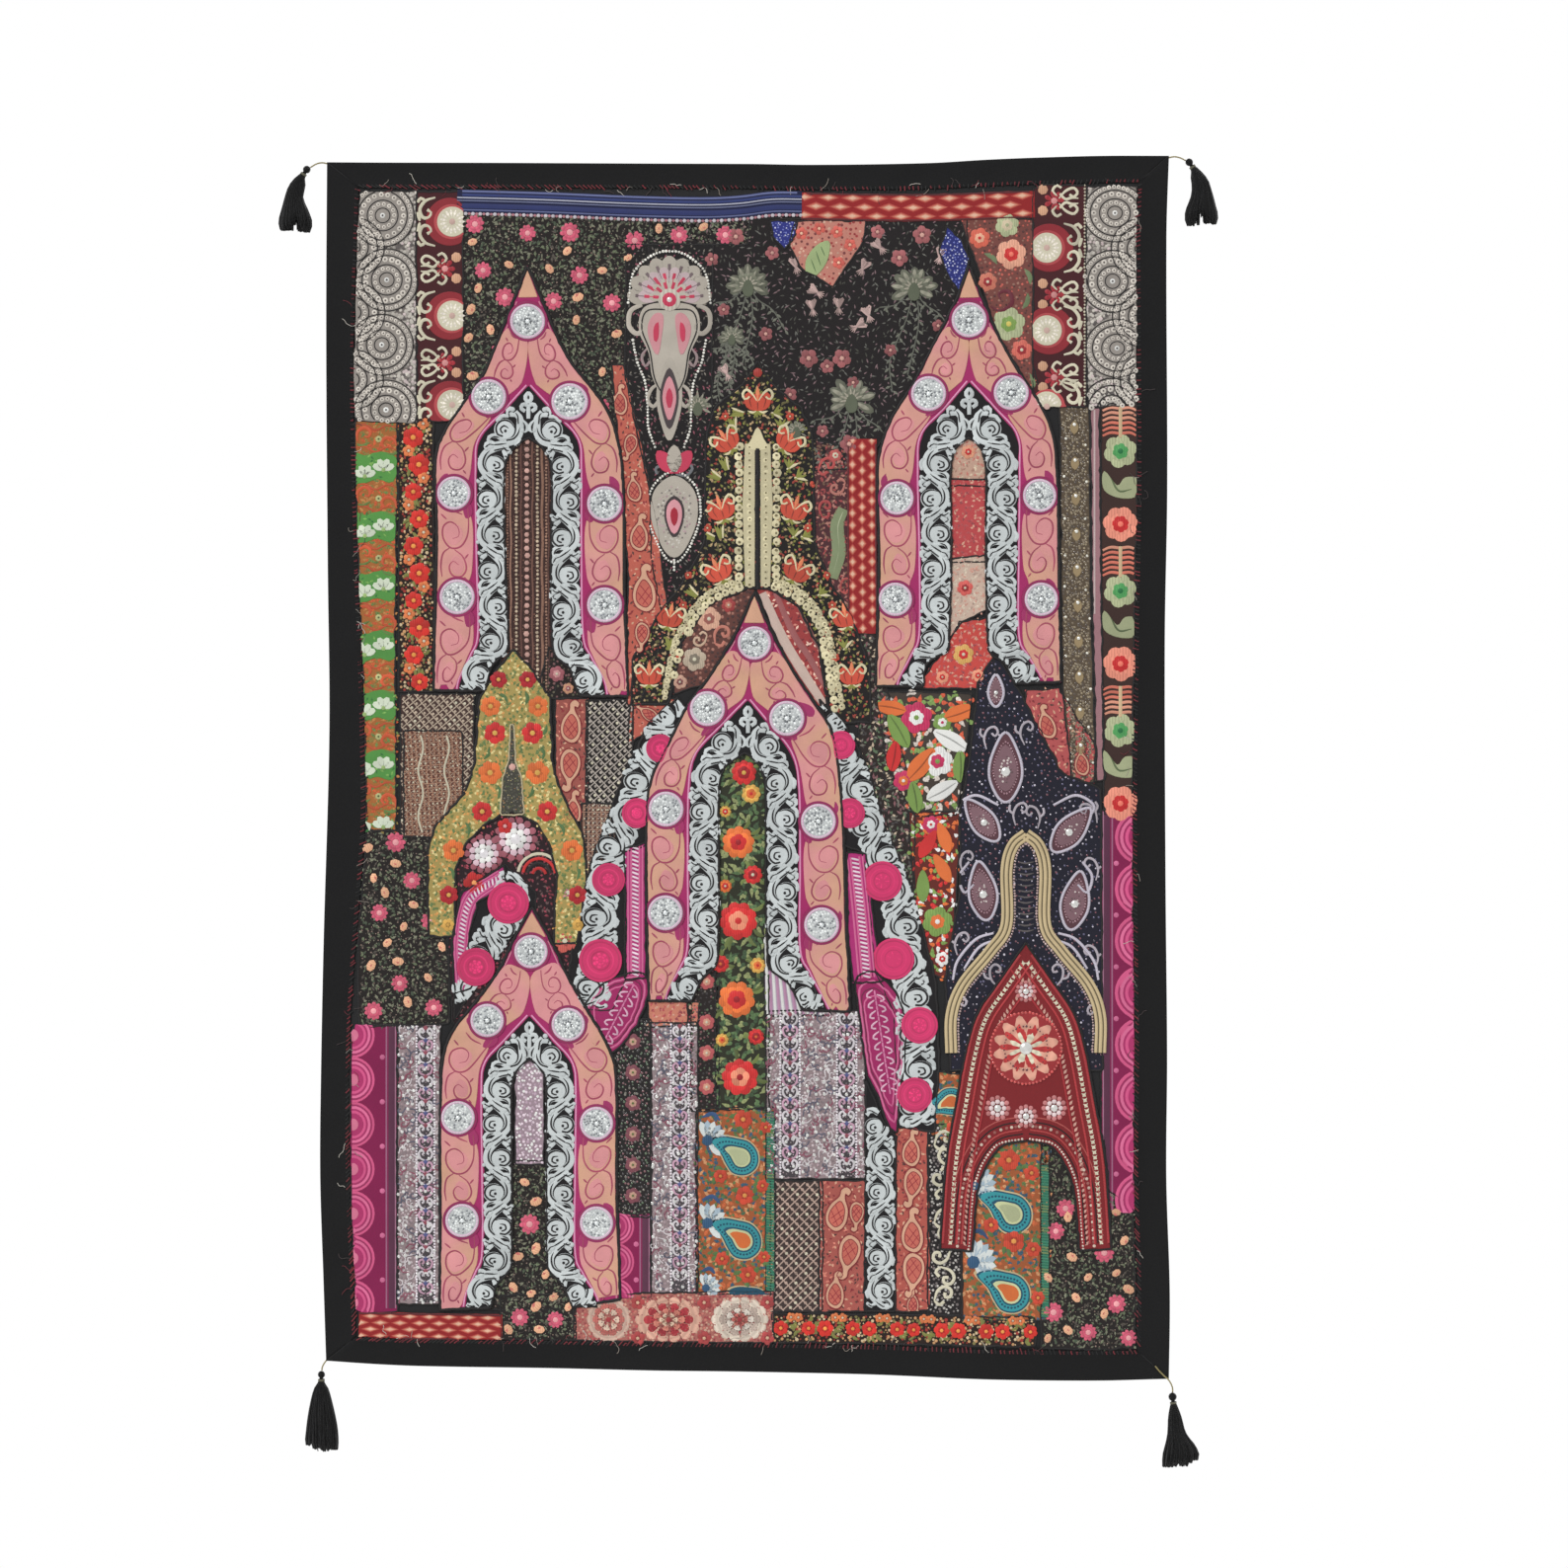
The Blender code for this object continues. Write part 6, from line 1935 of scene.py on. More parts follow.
for side in (-1, 1):
    for x, z, turn, size in ((40, -340, 34, 0.95), (46, -424, 18, 1.0), (50, -500, 26, 1.0), (108, -557, -12,
            0.95), (125, -629, 0, 0.9)):
        bloom(work, 12 + side * x - 9 * (z < -600), z, -turn * side, size * 1.3,
            BLOOM_RED * chance.uniform(0.85, 1.15))
    for x, z, turn in ((40, -372, 20), (52, -386, 60), (46, -456, 10), (24, -308, 80), (80, -530, 50), (108,
            -594, 0), (60, -460, 70), (30, -322, 10)):
        for angle in (-50, -20, 15, 45):
            stroke(work, [(0, -7), (angle / 16, 0), (angle / 6, 8)], 3.4, (LEAF_LIME, IVORY)[angle > 40],
                ARCH_LEVEL + 0.2, placed(12 + side * x, z, -(turn + angle / 3) * side), (0.7, 0.2))
    for x, z in ((62, -450), (40, -312), (86, -508), (70, -395), (92, -545), (96, -610)):
        rose(work, 12 + side * x, z, 5.5, BLOOM_RED * 0.9, ARCH_LEVEL + 0.3, IVORY)
    fill(work, [(12 + side * a, b) for a, b in ((4, -346), (4, -522), (15, -522), (18, -420), (15, -346))],
        IVORY * 0.85, ARCH_LEVEL + 0.2, curved=False, rise=0.6)
    for x, size in ((23, 5.2), (10, 3.8)):
        column = [(12 + side * x, -350), (12 + side * x, -520)]
        beads(work, column, size * 2.1, size, IVORY * 0.95, ARCH_LEVEL + 0.3, THREAD, BUMP, rise=1.0)
        beads(work, column, size * 2.1, size * 0.4, dye(120, 110, 80), ARCH_LEVEL + 1.1, THREAD, rise=0.5)
    edge = smooth([[(-8, -524), (-30, -532), (-50, -545), (-68, -568), (-82, -600), (-90, -635), (-93,
        -664)], [(30, -524), (52, -532), (70, -547), (86, -572), (95, -604), (101, -640), (107,
        -676)]][side > 0], 5)
    lay = along(edge, side)
    for offset, size, lift in ((1.5, 5.4, 0.2), (9.5, 4.0, 0.4)):
        row = lay([(a, offset) for a in np.arange(2, path_length(edge) - 2, 3)])
        beads(work, row, size * 1.75, size, IVORY * 0.95, ARCH_LEVEL + lift, THREAD, BUMP, rise=1.2)
        beads(work, row, size * 1.75, size * 0.34, dye(110, 100, 76), ARCH_LEVEL + lift + 1.0, THREAD,
            rise=0.4)
    for a in np.arange(8, path_length(edge) - 4, 13):
        stroke(work, [(a - 5, 5), (a, 12), (a + 5, 12), (a + 5, 7)], 2.6, dye(186, 176, 140),
            ARCH_LEVEL + 0.9, lay, (0.5, 0.9))
fill(work, [(12, -326), (5, -340), (0, -352), (24, -352), (19, -340)], IVORY, ARCH_LEVEL + 0.4)
couch(work, [(12, -352), (12, -526)], 6.0, base=ARCH_LEVEL)
work.make("black_bloom_arch")

olive_arch = [(-290, -601), (-310, -625), (-332, -662), (-337, -740), (-350, -778), (-386, -818), (-395,
    -850), (-394, -954), (-362, -954), (-361, -872), (-348, -838), (-320, -812), (-290, -800), (-262, -814),
    (-244, -842), (-236, -878), (-240, -962), (-211, -962), (-199, -880), (-203, -832), (-222, -794), (-240,
    -752), (-245, -660), (-268, -622)]
work = start_patch(olive_arch, dye(160, 142, 84), ARCH_LEVEL + 0.5, edge=3.6)
spots = strew(work.limit, 4.8)
stamp(work, LEAF, *spots.T, 2.0, pick([dye(214, 198, 136), dye(96, 116, 68), dye(112, 118, 62), dye(206, 150,
    84)], len(spots)), ARCH_LEVEL + 0.5, length=chance.uniform(3, 7, len(spots)), turn=chance.uniform(0,
    6.28, len(spots)), rise=0.6)
for side in (-1, 1):
    for x, z, size, colour in ((18, -637, 11, DARK_RED * 1.2), (30, -670, 13, ORANGE), (22, -703, 14, RED),
            (30, -752, 15, ORANGE), (40, -800, 13, RED * 0.9), (73, -848, 14, ORANGE), (80, -903, 12,
            DARK_RED * 1.3), (80, -940, 8, YELLOW)):
        rose(work, -289 + side * (x + chance.uniform(-2, 2)), z, size, colour, ARCH_LEVEL + 0.6, YELLOW, 6)
    for x, z in ((14, -660), (34, -728), (20, -776), (58, -822), (78, -876), (36, -700)):
        stroke(work, [(0, -8), (3, 0), (0, 9)], 4.4, dye(78, 108, 62), ARCH_LEVEL + 0.6,
            placed(-289 + side * x, z, chance.uniform(-60, 60)), (0.3, 0.1))
slit = np.array([(-293, -692), (-296, -738), (-303, -760), (-306, -804), (-276, -804), (-279, -760), (-287,
    -738), (-289, -692)], float)
fill(work, even_edges(ring_of(slit), 6), dye(62, 60, 52), ARCH_LEVEL + 0.5, rise=0.4, curved=False)
cobble(work, slit, 4.4, 1.2, [dye(120, 116, 104), dye(84, 84, 70)], ARCH_LEVEL + 0.9)
couch(work, ring_of(slit), 2.2, dye(186, 174, 140), base=ARCH_LEVEL + 0.3)
disc(work, -291, -745, 4.5, dye(206, 160, 150), ARCH_LEVEL + 0.9)
work.make("olive_rose_arch")

# ------------------------------
# The border of a dress hem, cut in two and sewn down both sides of the middle yoke, with a piece
# of it in the left arch: white scrolls and hot pink discs on black, beside a magenta braid.
# ------------------------------
HOT_PINK, STRIPE_PINK = dye(200, 46, 100), dye(204, 100, 144)
HEM_LEVEL = 2.6
LACE_WHITE, LACE_BLACK = dye(196, 202, 202), dye(24, 22, 24)
# One scroll of the white band, in a band 34 wide: white stems, then the black slits in them.
SCROLL_LENGTH = 44.0
SCROLL_STEMS = [
    (8.6, (0.8, 0.8), [(-6, -10), (3, 2), (14, 11), (27, 12), (38, 3), (48, -9)]),
    (6.0, (0.6, 1.0), [(2, -6), (7, -14), (3, -17), (0, -14)]),
    (5.6, (0.6, 1.0), [(36, 5), (34, -8), (40, -15), (45, -12)]),
    (5.0, (0.5, 0.9), [(1, 1), (0, 10), (5, 15), (9, 12)]),
    (4.8, (0.5, 0.8), [(38, 4), (43, 11), (40, 16)]),
    (4.6, (0.6, 0.9), [(20, 14), (25, 18), (31, 16)]),
    (4.4, (0.6, 0.9), [(9, -11), (13, -17), (20, -18)]),
]
SCROLL_SLITS = [
    (2.3, [(14, 3), (12, -5), (16, -13), (25, -15), (32, -9), (31, -2)]),
    (2.0, [(19, -2), (20, -8), (26, -9), (28, -4)]),
    (2.0, [(8, 7), (16, 10.5), (26, 10), (33, 4)]),
    (1.7, [(-3, -9), (2, -3), (7, 3)]), (1.7, [(36, 6), (41, 0), (45, -6)]), (1.6, [(1, 5), (3, 11), (8, 14)]),
    (1.6, [(42, 4), (44, 10), (41, 15)]), (1.5, [(3, -13), (6, -15), (8, -11)]), (1.5, [(34, -4), (37, -11), (42, -13)]),
]


def scroll_vine(work, path, half, base, start):
    """White scrolls swinging from side to side of a black band along a path."""
    length = path_length(path)
    units = max(round(length / SCROLL_LENGTH), 1)
    lay = along(path)
    size = np.array((length / units / SCROLL_LENGTH, half / 17))
    for unit in range(units):
        way = np.array((1, start if unit % 2 == 0 else -start))
        shift = np.array((unit * SCROLL_LENGTH, 0))

        def put(points):
            moved = (np.asarray(points, float) * way + shift) * size
            return lay(np.column_stack((np.clip(moved[:, 0], 0.5, length - 0.5), moved[:, 1])))

        lobe = circle(23, -5, 11.5)[:-1]
        fill(work, put(lobe), LACE_WHITE, base, rise=0.9, curved=False)
        for width, ends, points in SCROLL_STEMS:
            stroke(work, points, width * size[1], LACE_WHITE, base + 0.1, put, ends, step=3.1, rise=1.1)
            end = put(points[-1:])[0]
            disc(work, *end, width * size[1] * 0.52, LACE_WHITE, base + 0.1, 1.0)
        for width, points in SCROLL_SLITS:
            stroke(work, points, width * size[1], LACE_BLACK, base + 1.0, put, (0.3, 0.9), step=3.1,
                rise=0.35)
        disc(work, *put([(24, -3)])[0], 1.9, LACE_BLACK, base + 1.0, 0.3)


def hot_disc(work, x, z, radius, base):
    """A hot pink satin disc with two raised rings."""
    disc(work, x, z, radius, HOT_PINK, base, 0.8)
    for share, shade in ((0.88, 0.8), (0.62, 1.22), (0.44, 0.78)):
        ribbon(work, circle(x, z, radius * share), radius * 0.13, HOT_PINK * shade, base + 0.6, 0.5)
    stamp(work, LEAF, np.full(7, x), np.full(7, z), radius * 0.14, HOT_PINK * 1.3, base + 0.7,
        length=radius * 0.4, turn=np.arange(7) * 0.9, rise=0.4)


def braid(work, outline, path, half, base):
    """A magenta braid: pink edges and a white ladder down its middle."""
    work.limit = None
    line = sew_cloth(work, outline, dye(166, 46, 110), base, base=GROUND_HALF)
    lay, length = along(smooth(path, 5)), path_length(smooth(path, 5))
    for offset in (-half * 0.8, half * 0.8, half * 0.45, -half * 0.45):
        ribbon(work, lay([(a, offset) for a in np.arange(0, length, 5)]), 2.4, STRIPE_PINK, base, 0.8)
    for a in np.arange(3, length - 2, 5.2):
        stroke(work, [(a - 1.5, -half * 0.36), (a + 1.5, half * 0.36)], 2.6, dye(226, 206, 216), base + 0.2,
            lay, (0.8, 0.8), step=4)
    couch(work, ring_of(line), 2.8, base=base - 0.5)
    work.limit = None


def paddle(work, outline, start, end):
    """A magenta paddle at the foot of the braid: two pale lines inside its edge, curls down its middle."""
    work.limit = None
    line = sew_cloth(work, outline, dye(150, 38, 92), HEM_LEVEL + 0.3, curved=True)
    middle = line.mean(axis=0)
    for share, width, colour in ((0.87, 2.6, STRIPE_PINK), (0.78, 1.6, dye(110, 26, 66)), (0.68, 2.0,
            STRIPE_PINK)):
        ribbon(work, ring_of((line - middle) * share + middle), width, colour, HEM_LEVEL + 0.3, 0.8)
    lay = along(even(np.array([start, end], float), 5))
    for step, a in enumerate(np.arange(4, path_length(np.array([start, end], float)), 6.5)):
        side = 1 if step % 2 else -1
        stroke(work, [(a - 4, side * 2), (a, side * 9), (a + 4, side * 10), (a + 5, side * 5)], 2.4, dye(214,
            170, 190), HEM_LEVEL + 0.5, lay, (0.6, 0.9))
        stroke(work, [(a - 3, 0), (a + 3, 0)], 2.2, dye(206, 120, 160), HEM_LEVEL + 0.5, lay, (0.8, 0.8))
    couch(work, ring_of(line), 3.0, base=HEM_LEVEL - 0.3)


def hem_band(name, outline, path, half, discs, start):
    work = start_patch(outline, LACE_BLACK, HEM_LEVEL, edge=3.2)
    scroll_vine(work, smooth(path, 4), half, HEM_LEVEL, start)
    for x, z, radius in discs:
        hot_disc(work, x, z, radius, HEM_LEVEL + 0.9)
    return work


work = hem_band("left", [(-88, -660), (-122, -690), (-152, -752), (-192, -856), (-216, -958), (-226, -1044),
    (-168, -1046), (-150, -1004), (-152, -850), (-126, -842), (-120, -780), (-96, -714), (-76, -672)], [(-84,
    -668), (-118, -712), (-140, -790), (-168, -850), (-182, -920), (-186, -985), (-196, -1040)], 21, [(-108,
    -722, 17), (-137, -802, 18), (-172, -884, 20), (-182, -984, 26)], 1)
braid(work, [(-152, -846), (-126, -838), (-126, -1006), (-152, -1008)], [(-139, -842), (-139, -1004)], 11,
    HEM_LEVEL + 0.3)
paddle(work, [(-126, -1002), (-124, -1030), (-138, -1064), (-162, -1094), (-180, -1098), (-198, -1074),
    (-202, -1040), (-178, -1012), (-150, -1000)], (-140, -1012), (-180, -1088))
work.make("pink_disc_hem_left")

work = hem_band("right", [(88, -662), (118, -690), (148, -744), (166, -812), (198, -884), (216, -950), (232,
    -1010), (236, -1110), (230, -1196), (186, -1190), (180, -1050), (158, -1000), (142, -850), (120, -842),
    (116, -780), (104, -712)], [(92, -672), (126, -732), (142, -800), (168, -860), (186, -920), (196, -990),
    (206, -1060), (208, -1186)], 21, [(115, -718, 17), (126, -802, 18), (166, -886, 24), (180, -982, 25),
    (212, -1064, 22), (206, -1150, 21)], -1)
braid(work, [(122, -850), (146, -852), (162, -996), (168, -1010), (130, -1012), (124, -960)], [(132, -856),
    (140, -930), (147, -1008)], 12, HEM_LEVEL + 0.3)
paddle(work, [(134, -1008), (160, -1000), (190, -1040), (194, -1100), (187, -1150), (184, -1196), (172,
    -1184), (160, -1150), (146, -1120), (139, -1060)], (156, -1020), (176, -1150))
work.make("pink_disc_hem_right")

work = start_patch([(-300, -866), (-262, -900), (-262, -930), (-290, -952), (-352, -1040), (-362, -1058),
    (-366, -960), (-356, -900)], LACE_BLACK, HEM_LEVEL - 0.2)
scroll_vine(work, smooth([(-286, -880), (-300, -930), (-322, -968), (-350, -1040)], 4), 20, HEM_LEVEL - 0.2,
    1)
braid(work, [(-302, -866), (-354, -900), (-366, -960), (-362, -1024), (-340, -1018), (-346, -960), (-334,
    -912), (-298, -890)], [(-304, -880), (-342, -908), (-354, -960), (-351, -1018)], 10, HEM_LEVEL)
for x, z, radius in ((-296, -913, 25), (-336, -992, 23)):
    hot_disc(work, x, z, radius, HEM_LEVEL + 0.8)
work.make("pink_disc_hem_scrap")
scroll = start_patch([(146, -1132), (156, -1156), (170, -1188), (183, -1202), (182, -1418), (144, -1418)],
    LACE_BLACK, BACK_LEVEL + 0.5)
scroll_vine(scroll, smooth([(156, -1168), (163, -1215), (164, -1290), (163, -1412)], 4), 16,
    BACK_LEVEL + 0.5, 1)
scroll.make("black_scroll_strip")

# ------------------------------
# A bright printed scrap by the right yoke, and under it the tall beaded neck piece in navy, gold
# and red: leaves in pale cord, a gold keyhole band, and a red bell with a star flower in it.
# ------------------------------
work = scraps([(158, -652), (276, -654), (272, -700), (258, -804), (206, -806), (172, -742)], dye(64, 56,
    50), [dye(120, 148, 80), dye(206, 90, 60), dye(206, 196, 186)], 8, 3, length=10)
GRASS, CERISE = dye(118, 148, 74), dye(186, 44, 88)
for x, z, turn, size, colour in ((186, -700, 30, 1.2, GRASS), (214, -742, -40, 1.3, ORANGE), (250, -712, 60,
        1.2, WHITE), (206, -782, 10, 1.0, GRASS), (240, -774, -60, 1.1, WHITE * 0.95), (262, -744, 0, 1,
        GRASS), (176, -672, 80, 1.0, ORANGE), (262, -678, -70, 1.1, ORANGE), (180, -732, -10, 1, RED)):
    leaf_lay = placed(x, z, turn, size)
    fill(work, [(0, -20), (-8, -8), (-7, 8), (0, 20), (7, 8), (8, -8)], colour, BACK_LEVEL + 0.3, leaf_lay)
    stroke(work, [(0, -18), (1, 0), (0, 17)], 2, colour * 0.5, BACK_LEVEL + 1.0, leaf_lay)
for flower in ((208, -684, 20, CERISE, WHITE, GRASS), (234, -738, 19, WHITE * 0.95, CERISE, GRASS), (192,
        -762, 13, CERISE, ORANGE, WHITE), (240, -690, 12, GRASS, WHITE, CERISE)):
    print_flower(work, *flower, BACK_LEVEL + 0.5)
work.make("bright_flower_scrap")
work = scraps([(198, -800), (262, -800), (258, -900), (248, -1010), (226, -1000), (206, -920)], dye(96, 40,
    34), [ORANGE, GRASS, WHITE, RED], 7, 2.6, length=9, level=BACK_LEVEL + 0.2)
for x, z, turn, colour in ((222, -840, -30, RED), (240, -870, 30, ORANGE), (216, -892, 0, GRASS), (242, -832,
        20, ORANGE)):
    fill(work, [(0, -22), (-8, -8), (-6, 10), (0, 22), (7, 8), (8, -8)], colour, BACK_LEVEL + 0.5, placed(x,
        z, turn, 0.9))
for flower in ((234, -936, 19, GRASS, ORANGE, WHITE), (226, -816, 11, CERISE, WHITE, RED), (240, -982, 9,
        WHITE, RED, WHITE)):
    print_flower(work, *flower, BACK_LEVEL + 0.6)
work.make("orange_leaf_scrap")

NAVY, CORD_LILAC, GOLD_BAND, BELL_RED = dye(27, 27, 40), dye(190, 184, 196), dye(196, 176, 136), dye(120, 34,
    38)
TALL_LEVEL = 2.5
work = start_patch([(284, -640), (306, -604), (334, -650), (388, -752), (436, -772), (438, -1120), (250,
    -1120), (244, -1000), (262, -900), (262, -800), (276, -720)], NAVY, TALL_LEVEL, edge=3.2)
spots = strew(work.limit, 7.5)
stamp(work, KNOT, *spots.T, chance.uniform(0.9, 1.5, len(spots)), pick([CORD_LILAC, dye(84, 80, 112),
    dye(112, 60, 72), dye(70, 60, 76)], len(spots), [0.16, 0.3, 0.34, 0.2]), TALL_LEVEL, rise=0.8,
    finish=BEAD)
for x, z, turn, flip in ((344, -700, 10, 1), (300, -706, 0, 1), (336, -800, 0, 1), (352, -804, 0, -1), (420,
        -800, 20, -1), (270, -860, 10, 1), (424, -868, 0, -1), (264, -960, 0, 1), (424, -976, 0, -1), (262,
        -1040, 10, 1), (428, -1050, 0, -1), (306, -1000, 30, 1), (382, -1000, -30, -1)):
    curl = placed(x, z, turn, 0.95, flip)
    for points in ([(-6, -18), (-9, -4), (-4, 8), (5, 11), (9, 4), (5, -1), (1, 3)], [(-8, -4), (-14, 2),
            (-13, 9)]):
        stroke(work, points, 3.0, dye(176, 168, 176), TALL_LEVEL + 0.3, curl, (0.5, 0.9), rise=1.1)
for x, z, turn, size in ((306, -652, 0, 0.62), (318, -748, 0, 1.35), (290, -812, 38, 1.0), (398, -824, -42,
        1.1), (290, -900, 8, 1.15), (404, -912, -10, 1.15)):
    lay = placed(x, z, turn, size)
    leaf = [(0, 34), (-12, 14), (-15, -6), (-8, -24), (0, -30), (8, -24), (15, -6), (12, 14)]
    fill(work, leaf, dye(84, 50, 58), TALL_LEVEL + 0.2, lay, rise=0.5)
    fill(work, np.array(leaf, float) * 0.66, dye(124, 92, 100), TALL_LEVEL + 0.6, lay, rise=0.4)
    ribbon(work, lay(smooth(leaf, 3, closed=True)), 3.6, CORD_LILAC, TALL_LEVEL + 0.3, 1.6, ROUND, CORD)
    beads(work, lay(smooth(np.array(leaf, float) * 0.74, 3, closed=True)), 3.6, 1.2, dye(150, 110, 120),
        TALL_LEVEL + 0.8)
    cobble(work, lay(np.array(leaf, float) * 0.5), 4.4, 1.4, [dye(196, 186, 180), dye(90, 60, 66)],
        TALL_LEVEL + 0.9, finish=BEAD)
    disc(work, *lay([(0, -2)])[0], 4.5 * size, WHITE, TALL_LEVEL + 1.4, 1.2, MIRROR)
for side in (-1, 1):
    for points in ([(34, -792), (62, -780), (84, -792), (80, -806)], [(40, -950), (62, -958), (84, -984),
            (90, -1008)], [(36, -958), (58, -968), (76, -994)], [(70, -862), (82, -880), (76, -900), (64,
            -890)]):
        stroke(work, [(343 + side * a, b) for a, b in points], 3.6, CORD_LILAC, TALL_LEVEL + 0.3, ends=(0.8,
            0.8), rise=1.5, profile=ROUND, finish=CORD)
    bell = smooth([(343 + side * a, b) for a, b in ((0, -962), (32, -1008), (60, -1050), (74, -1096), (86,
        -1160), (98, -1230), (106, -1340))], 6)
    mouth = smooth([(343 + side * a, b) for a, b in ((0, -1206), (34, -1216), (58, -1262), (66, -1342))], 6)
    work.limit = None
    sew_cloth(work, np.concatenate((bell, mouth[::-1])), BELL_RED, TALL_LEVEL + 0.8, ravel=0.3)
    work.limit = None
    lay = along(bell, -side)
    for offset, width, colour in ((3, 3.4, dye(160, 50, 54)), (20, 2.6, dye(176, 56, 60)), (34, 2.4, dye(160,
            44, 50))):
        ribbon(work, lay([(a, offset) for a in np.arange(16, path_length(bell) - 4, 6)]), width, colour,
            TALL_LEVEL + 0.8, 1.2, ROUND, CORD)
    for offset, way, colour in ((9, 0.5, CREAM), (15, -0.5, CREAM), (27, 0.5, dye(196, 150, 136))):
        run = np.arange(20, path_length(bell) - 6, 6.6)
        spots = lay(np.column_stack((run, np.full(len(run), offset))))
        ahead = lay(np.column_stack((run + 2, np.full(len(run), offset + 4 * way)))) - spots
        stamp(work, LEAF, *spots.T, 1.9, colour, TALL_LEVEL + 0.9, length=7.5, turn=np.arctan2(ahead[:, 1],
            ahead[:, 0]), rise=0.9)
    beads(work, mouth + (side * 5, 2), 4.0, 1.5, dye(206, 190, 176), TALL_LEVEL + 1.0)
    lay = along(mouth, side)
    for offset, width, colour in ((9, 1.6, BLACK), (14, 2.4, dye(166, 60, 60)), (24, 1.6, BLACK), (30, 1.6,
            dye(176, 84, 80))):
        ribbon(work, lay([(a, offset) for a in np.arange(2, path_length(mouth) - 3, 5)]), width, colour,
            TALL_LEVEL + 0.8, 1.0, ROUND, CORD)
    for order, a in enumerate(np.arange(5, path_length(mouth) - 4, 5.0)):
        stamp(work, KNOT, *lay([(a, 19)]).T, 2.1, (dye(206, 186, 170), dye(150, 90, 84))[order % 2],
            TALL_LEVEL + 1.0, rise=1.0)
    couch(work, bell, 3.4, base=TALL_LEVEL + 0.2)
    couch(work, mouth, 3.2, base=TALL_LEVEL + 0.2)
    couch(work, [bell[-1], mouth[-1]], 3.2, base=TALL_LEVEL + 0.2)
    gold = smooth([(343 + side * a, b) for a, b in ((0, -828), (16, -842), (24, -872), (24, -940), (44,
        -972), (78, -1014), (92, -1052), (92, -1100))], 5)
    for offset, width, colour, lift in ((0, 15, dye(96, 84, 60), 0), (-5.4, 4, GOLD_BAND, 0.4), (0, 4.6,
            GOLD_BAND, 0.6), (5.4, 4, GOLD_BAND, 0.4)):
        ribbon(work, along(gold)([(a, offset) for a in np.arange(0, path_length(gold), 5)]), width, colour,
            TALL_LEVEL + 1.0 + lift, 1.0, ROUND)
    beads(work, along(gold, side)([(a, -9.5) for a in np.arange(4, path_length(gold), 5)]), 3.6, 1.4,
        dye(176, 150, 146), TALL_LEVEL + 0.6)
for z in np.arange(-862, -950, -7.0):
    stroke(work, [(333, z), (343, z - 2), (353, z)], 2.2, dye(90, 84, 84), TALL_LEVEL + 0.2)
STAR = TALL_LEVEL + 1.2
disc(work, 343, -1092, 44, dye(150, 40, 44), STAR, 0.8)
for reach, count, colour in ((42, 12, dye(206, 150, 130)), (33, 10, dye(176, 50, 50)), (22, 8, CREAM)):
    turn = np.radians(np.arange(count) * 360 / count + reach)
    stamp(work, LEAF, np.full(count, 343.0), np.full(count, -1092.0), reach * 0.2, colour,
        STAR + 0.6 + (42 - reach) * 0.02, length=reach, turn=turn, rise=1.0)
for radius, colour in ((44, dye(196, 70, 66)), (27, dye(90, 24, 30))):
    beads(work, circle(343, -1092, radius), 4.6, 1.8, colour, STAR + 0.7)
disc(work, 343, -1092, 8, WHITE, STAR + 1.8, 1.6, MIRROR)
for x, z, radius in ((343, -1022, 11), (308, -1166, 13), (343, -1176, 12), (378, -1166, 13)):
    for share, count, colour in ((1, 12, dye(190, 120, 120)), (0.62, 8, dye(226, 206, 206))):
        turn = np.arange(count) * math.tau / count
        stamp(work, BUMP, x + radius * share * np.cos(turn), z + radius * share * np.sin(turn),
            radius * 0.24, colour, STAR, rise=1.6 - share * 0.6)
    disc(work, x, z, radius * 0.36, WHITE, STAR + 0.8, 1.0, MIRROR)
work.make("tall_beaded_neck_piece")
# ------------------------------
# The four neckline yokes, cut from dresses and sewn down whole: peach satin scrolls on magenta,
# silver rosettes, and a band of white scrolls on black round the neck slot. Black cord is
# couched along their cut edges. They are sewn on over the patches.
# ------------------------------
MAGENTA, PEACH, PINK, ROSE = dye(156, 42, 96), dye(206, 158, 130), dye(212, 142, 144), dye(158, 66, 90)
LACE_EDGE = dye(222, 150, 186)
YOKE_LEVEL, LACE_LEVEL = 3.2, 3.8


def peach_satin(places):
    """Peach turning to pink and back in soft uneven areas."""
    x, z = places.T
    mix = np.clip(0.5 + 0.8 * np.sin(x / 19 + 2 * np.sin(z / 33)) * np.sin(z / 27 + x / 40), 0, 1)[:, None]
    return PEACH * (1 - mix) + PINK * mix


# A side band of the yoke: its neutral length from the peak, and half its width.
BAND_LENGTH, BAND_HALF = 560.0, 30.0
BAND_SATIN = [(84, 2), (90, -25), (150, -27), (300, -28), (450, -27), (558, -28), (558, 17), (520, 22), (470,
    20), (430, 12), (405, 20), (350, 22), (312, 12), (280, 20), (220, 22), (188, 12), (160, 18), (120, 27),
    (92, 27)]
# Rose lines of one scroll between two rosettes, along -50 to 50 and across -27 to 22.
BAND_LINES = [
    [(-46, 18), (-30, 19), (-10, 17), (5, 7), (8, -8), (-3, -19), (-18, -19), (-25, -8), (-19, 3), (-8, 4), (-4, -5)],
    [(46, -20), (32, -22), (16, -19), (8, -9)],
    [(10, -2), (18, 10), (32, 15), (43, 8), (43, -5), (33, -10), (25, -4), (29, 4)],
    [(-48, -14), (-40, -3), (-36, 10)], [(-34, -22), (-28, -14)], [(14, 18), (20, 13)], [(48, 16), (44, 12)],
]
BAND_PINKS = [[(-20, -15), (-8, -17), (4, -8), (0, 4), (-12, 10), (-22, 2)], [(18, -2), (30, -8), (41, -1),
    (38, 9), (24, 9)]]
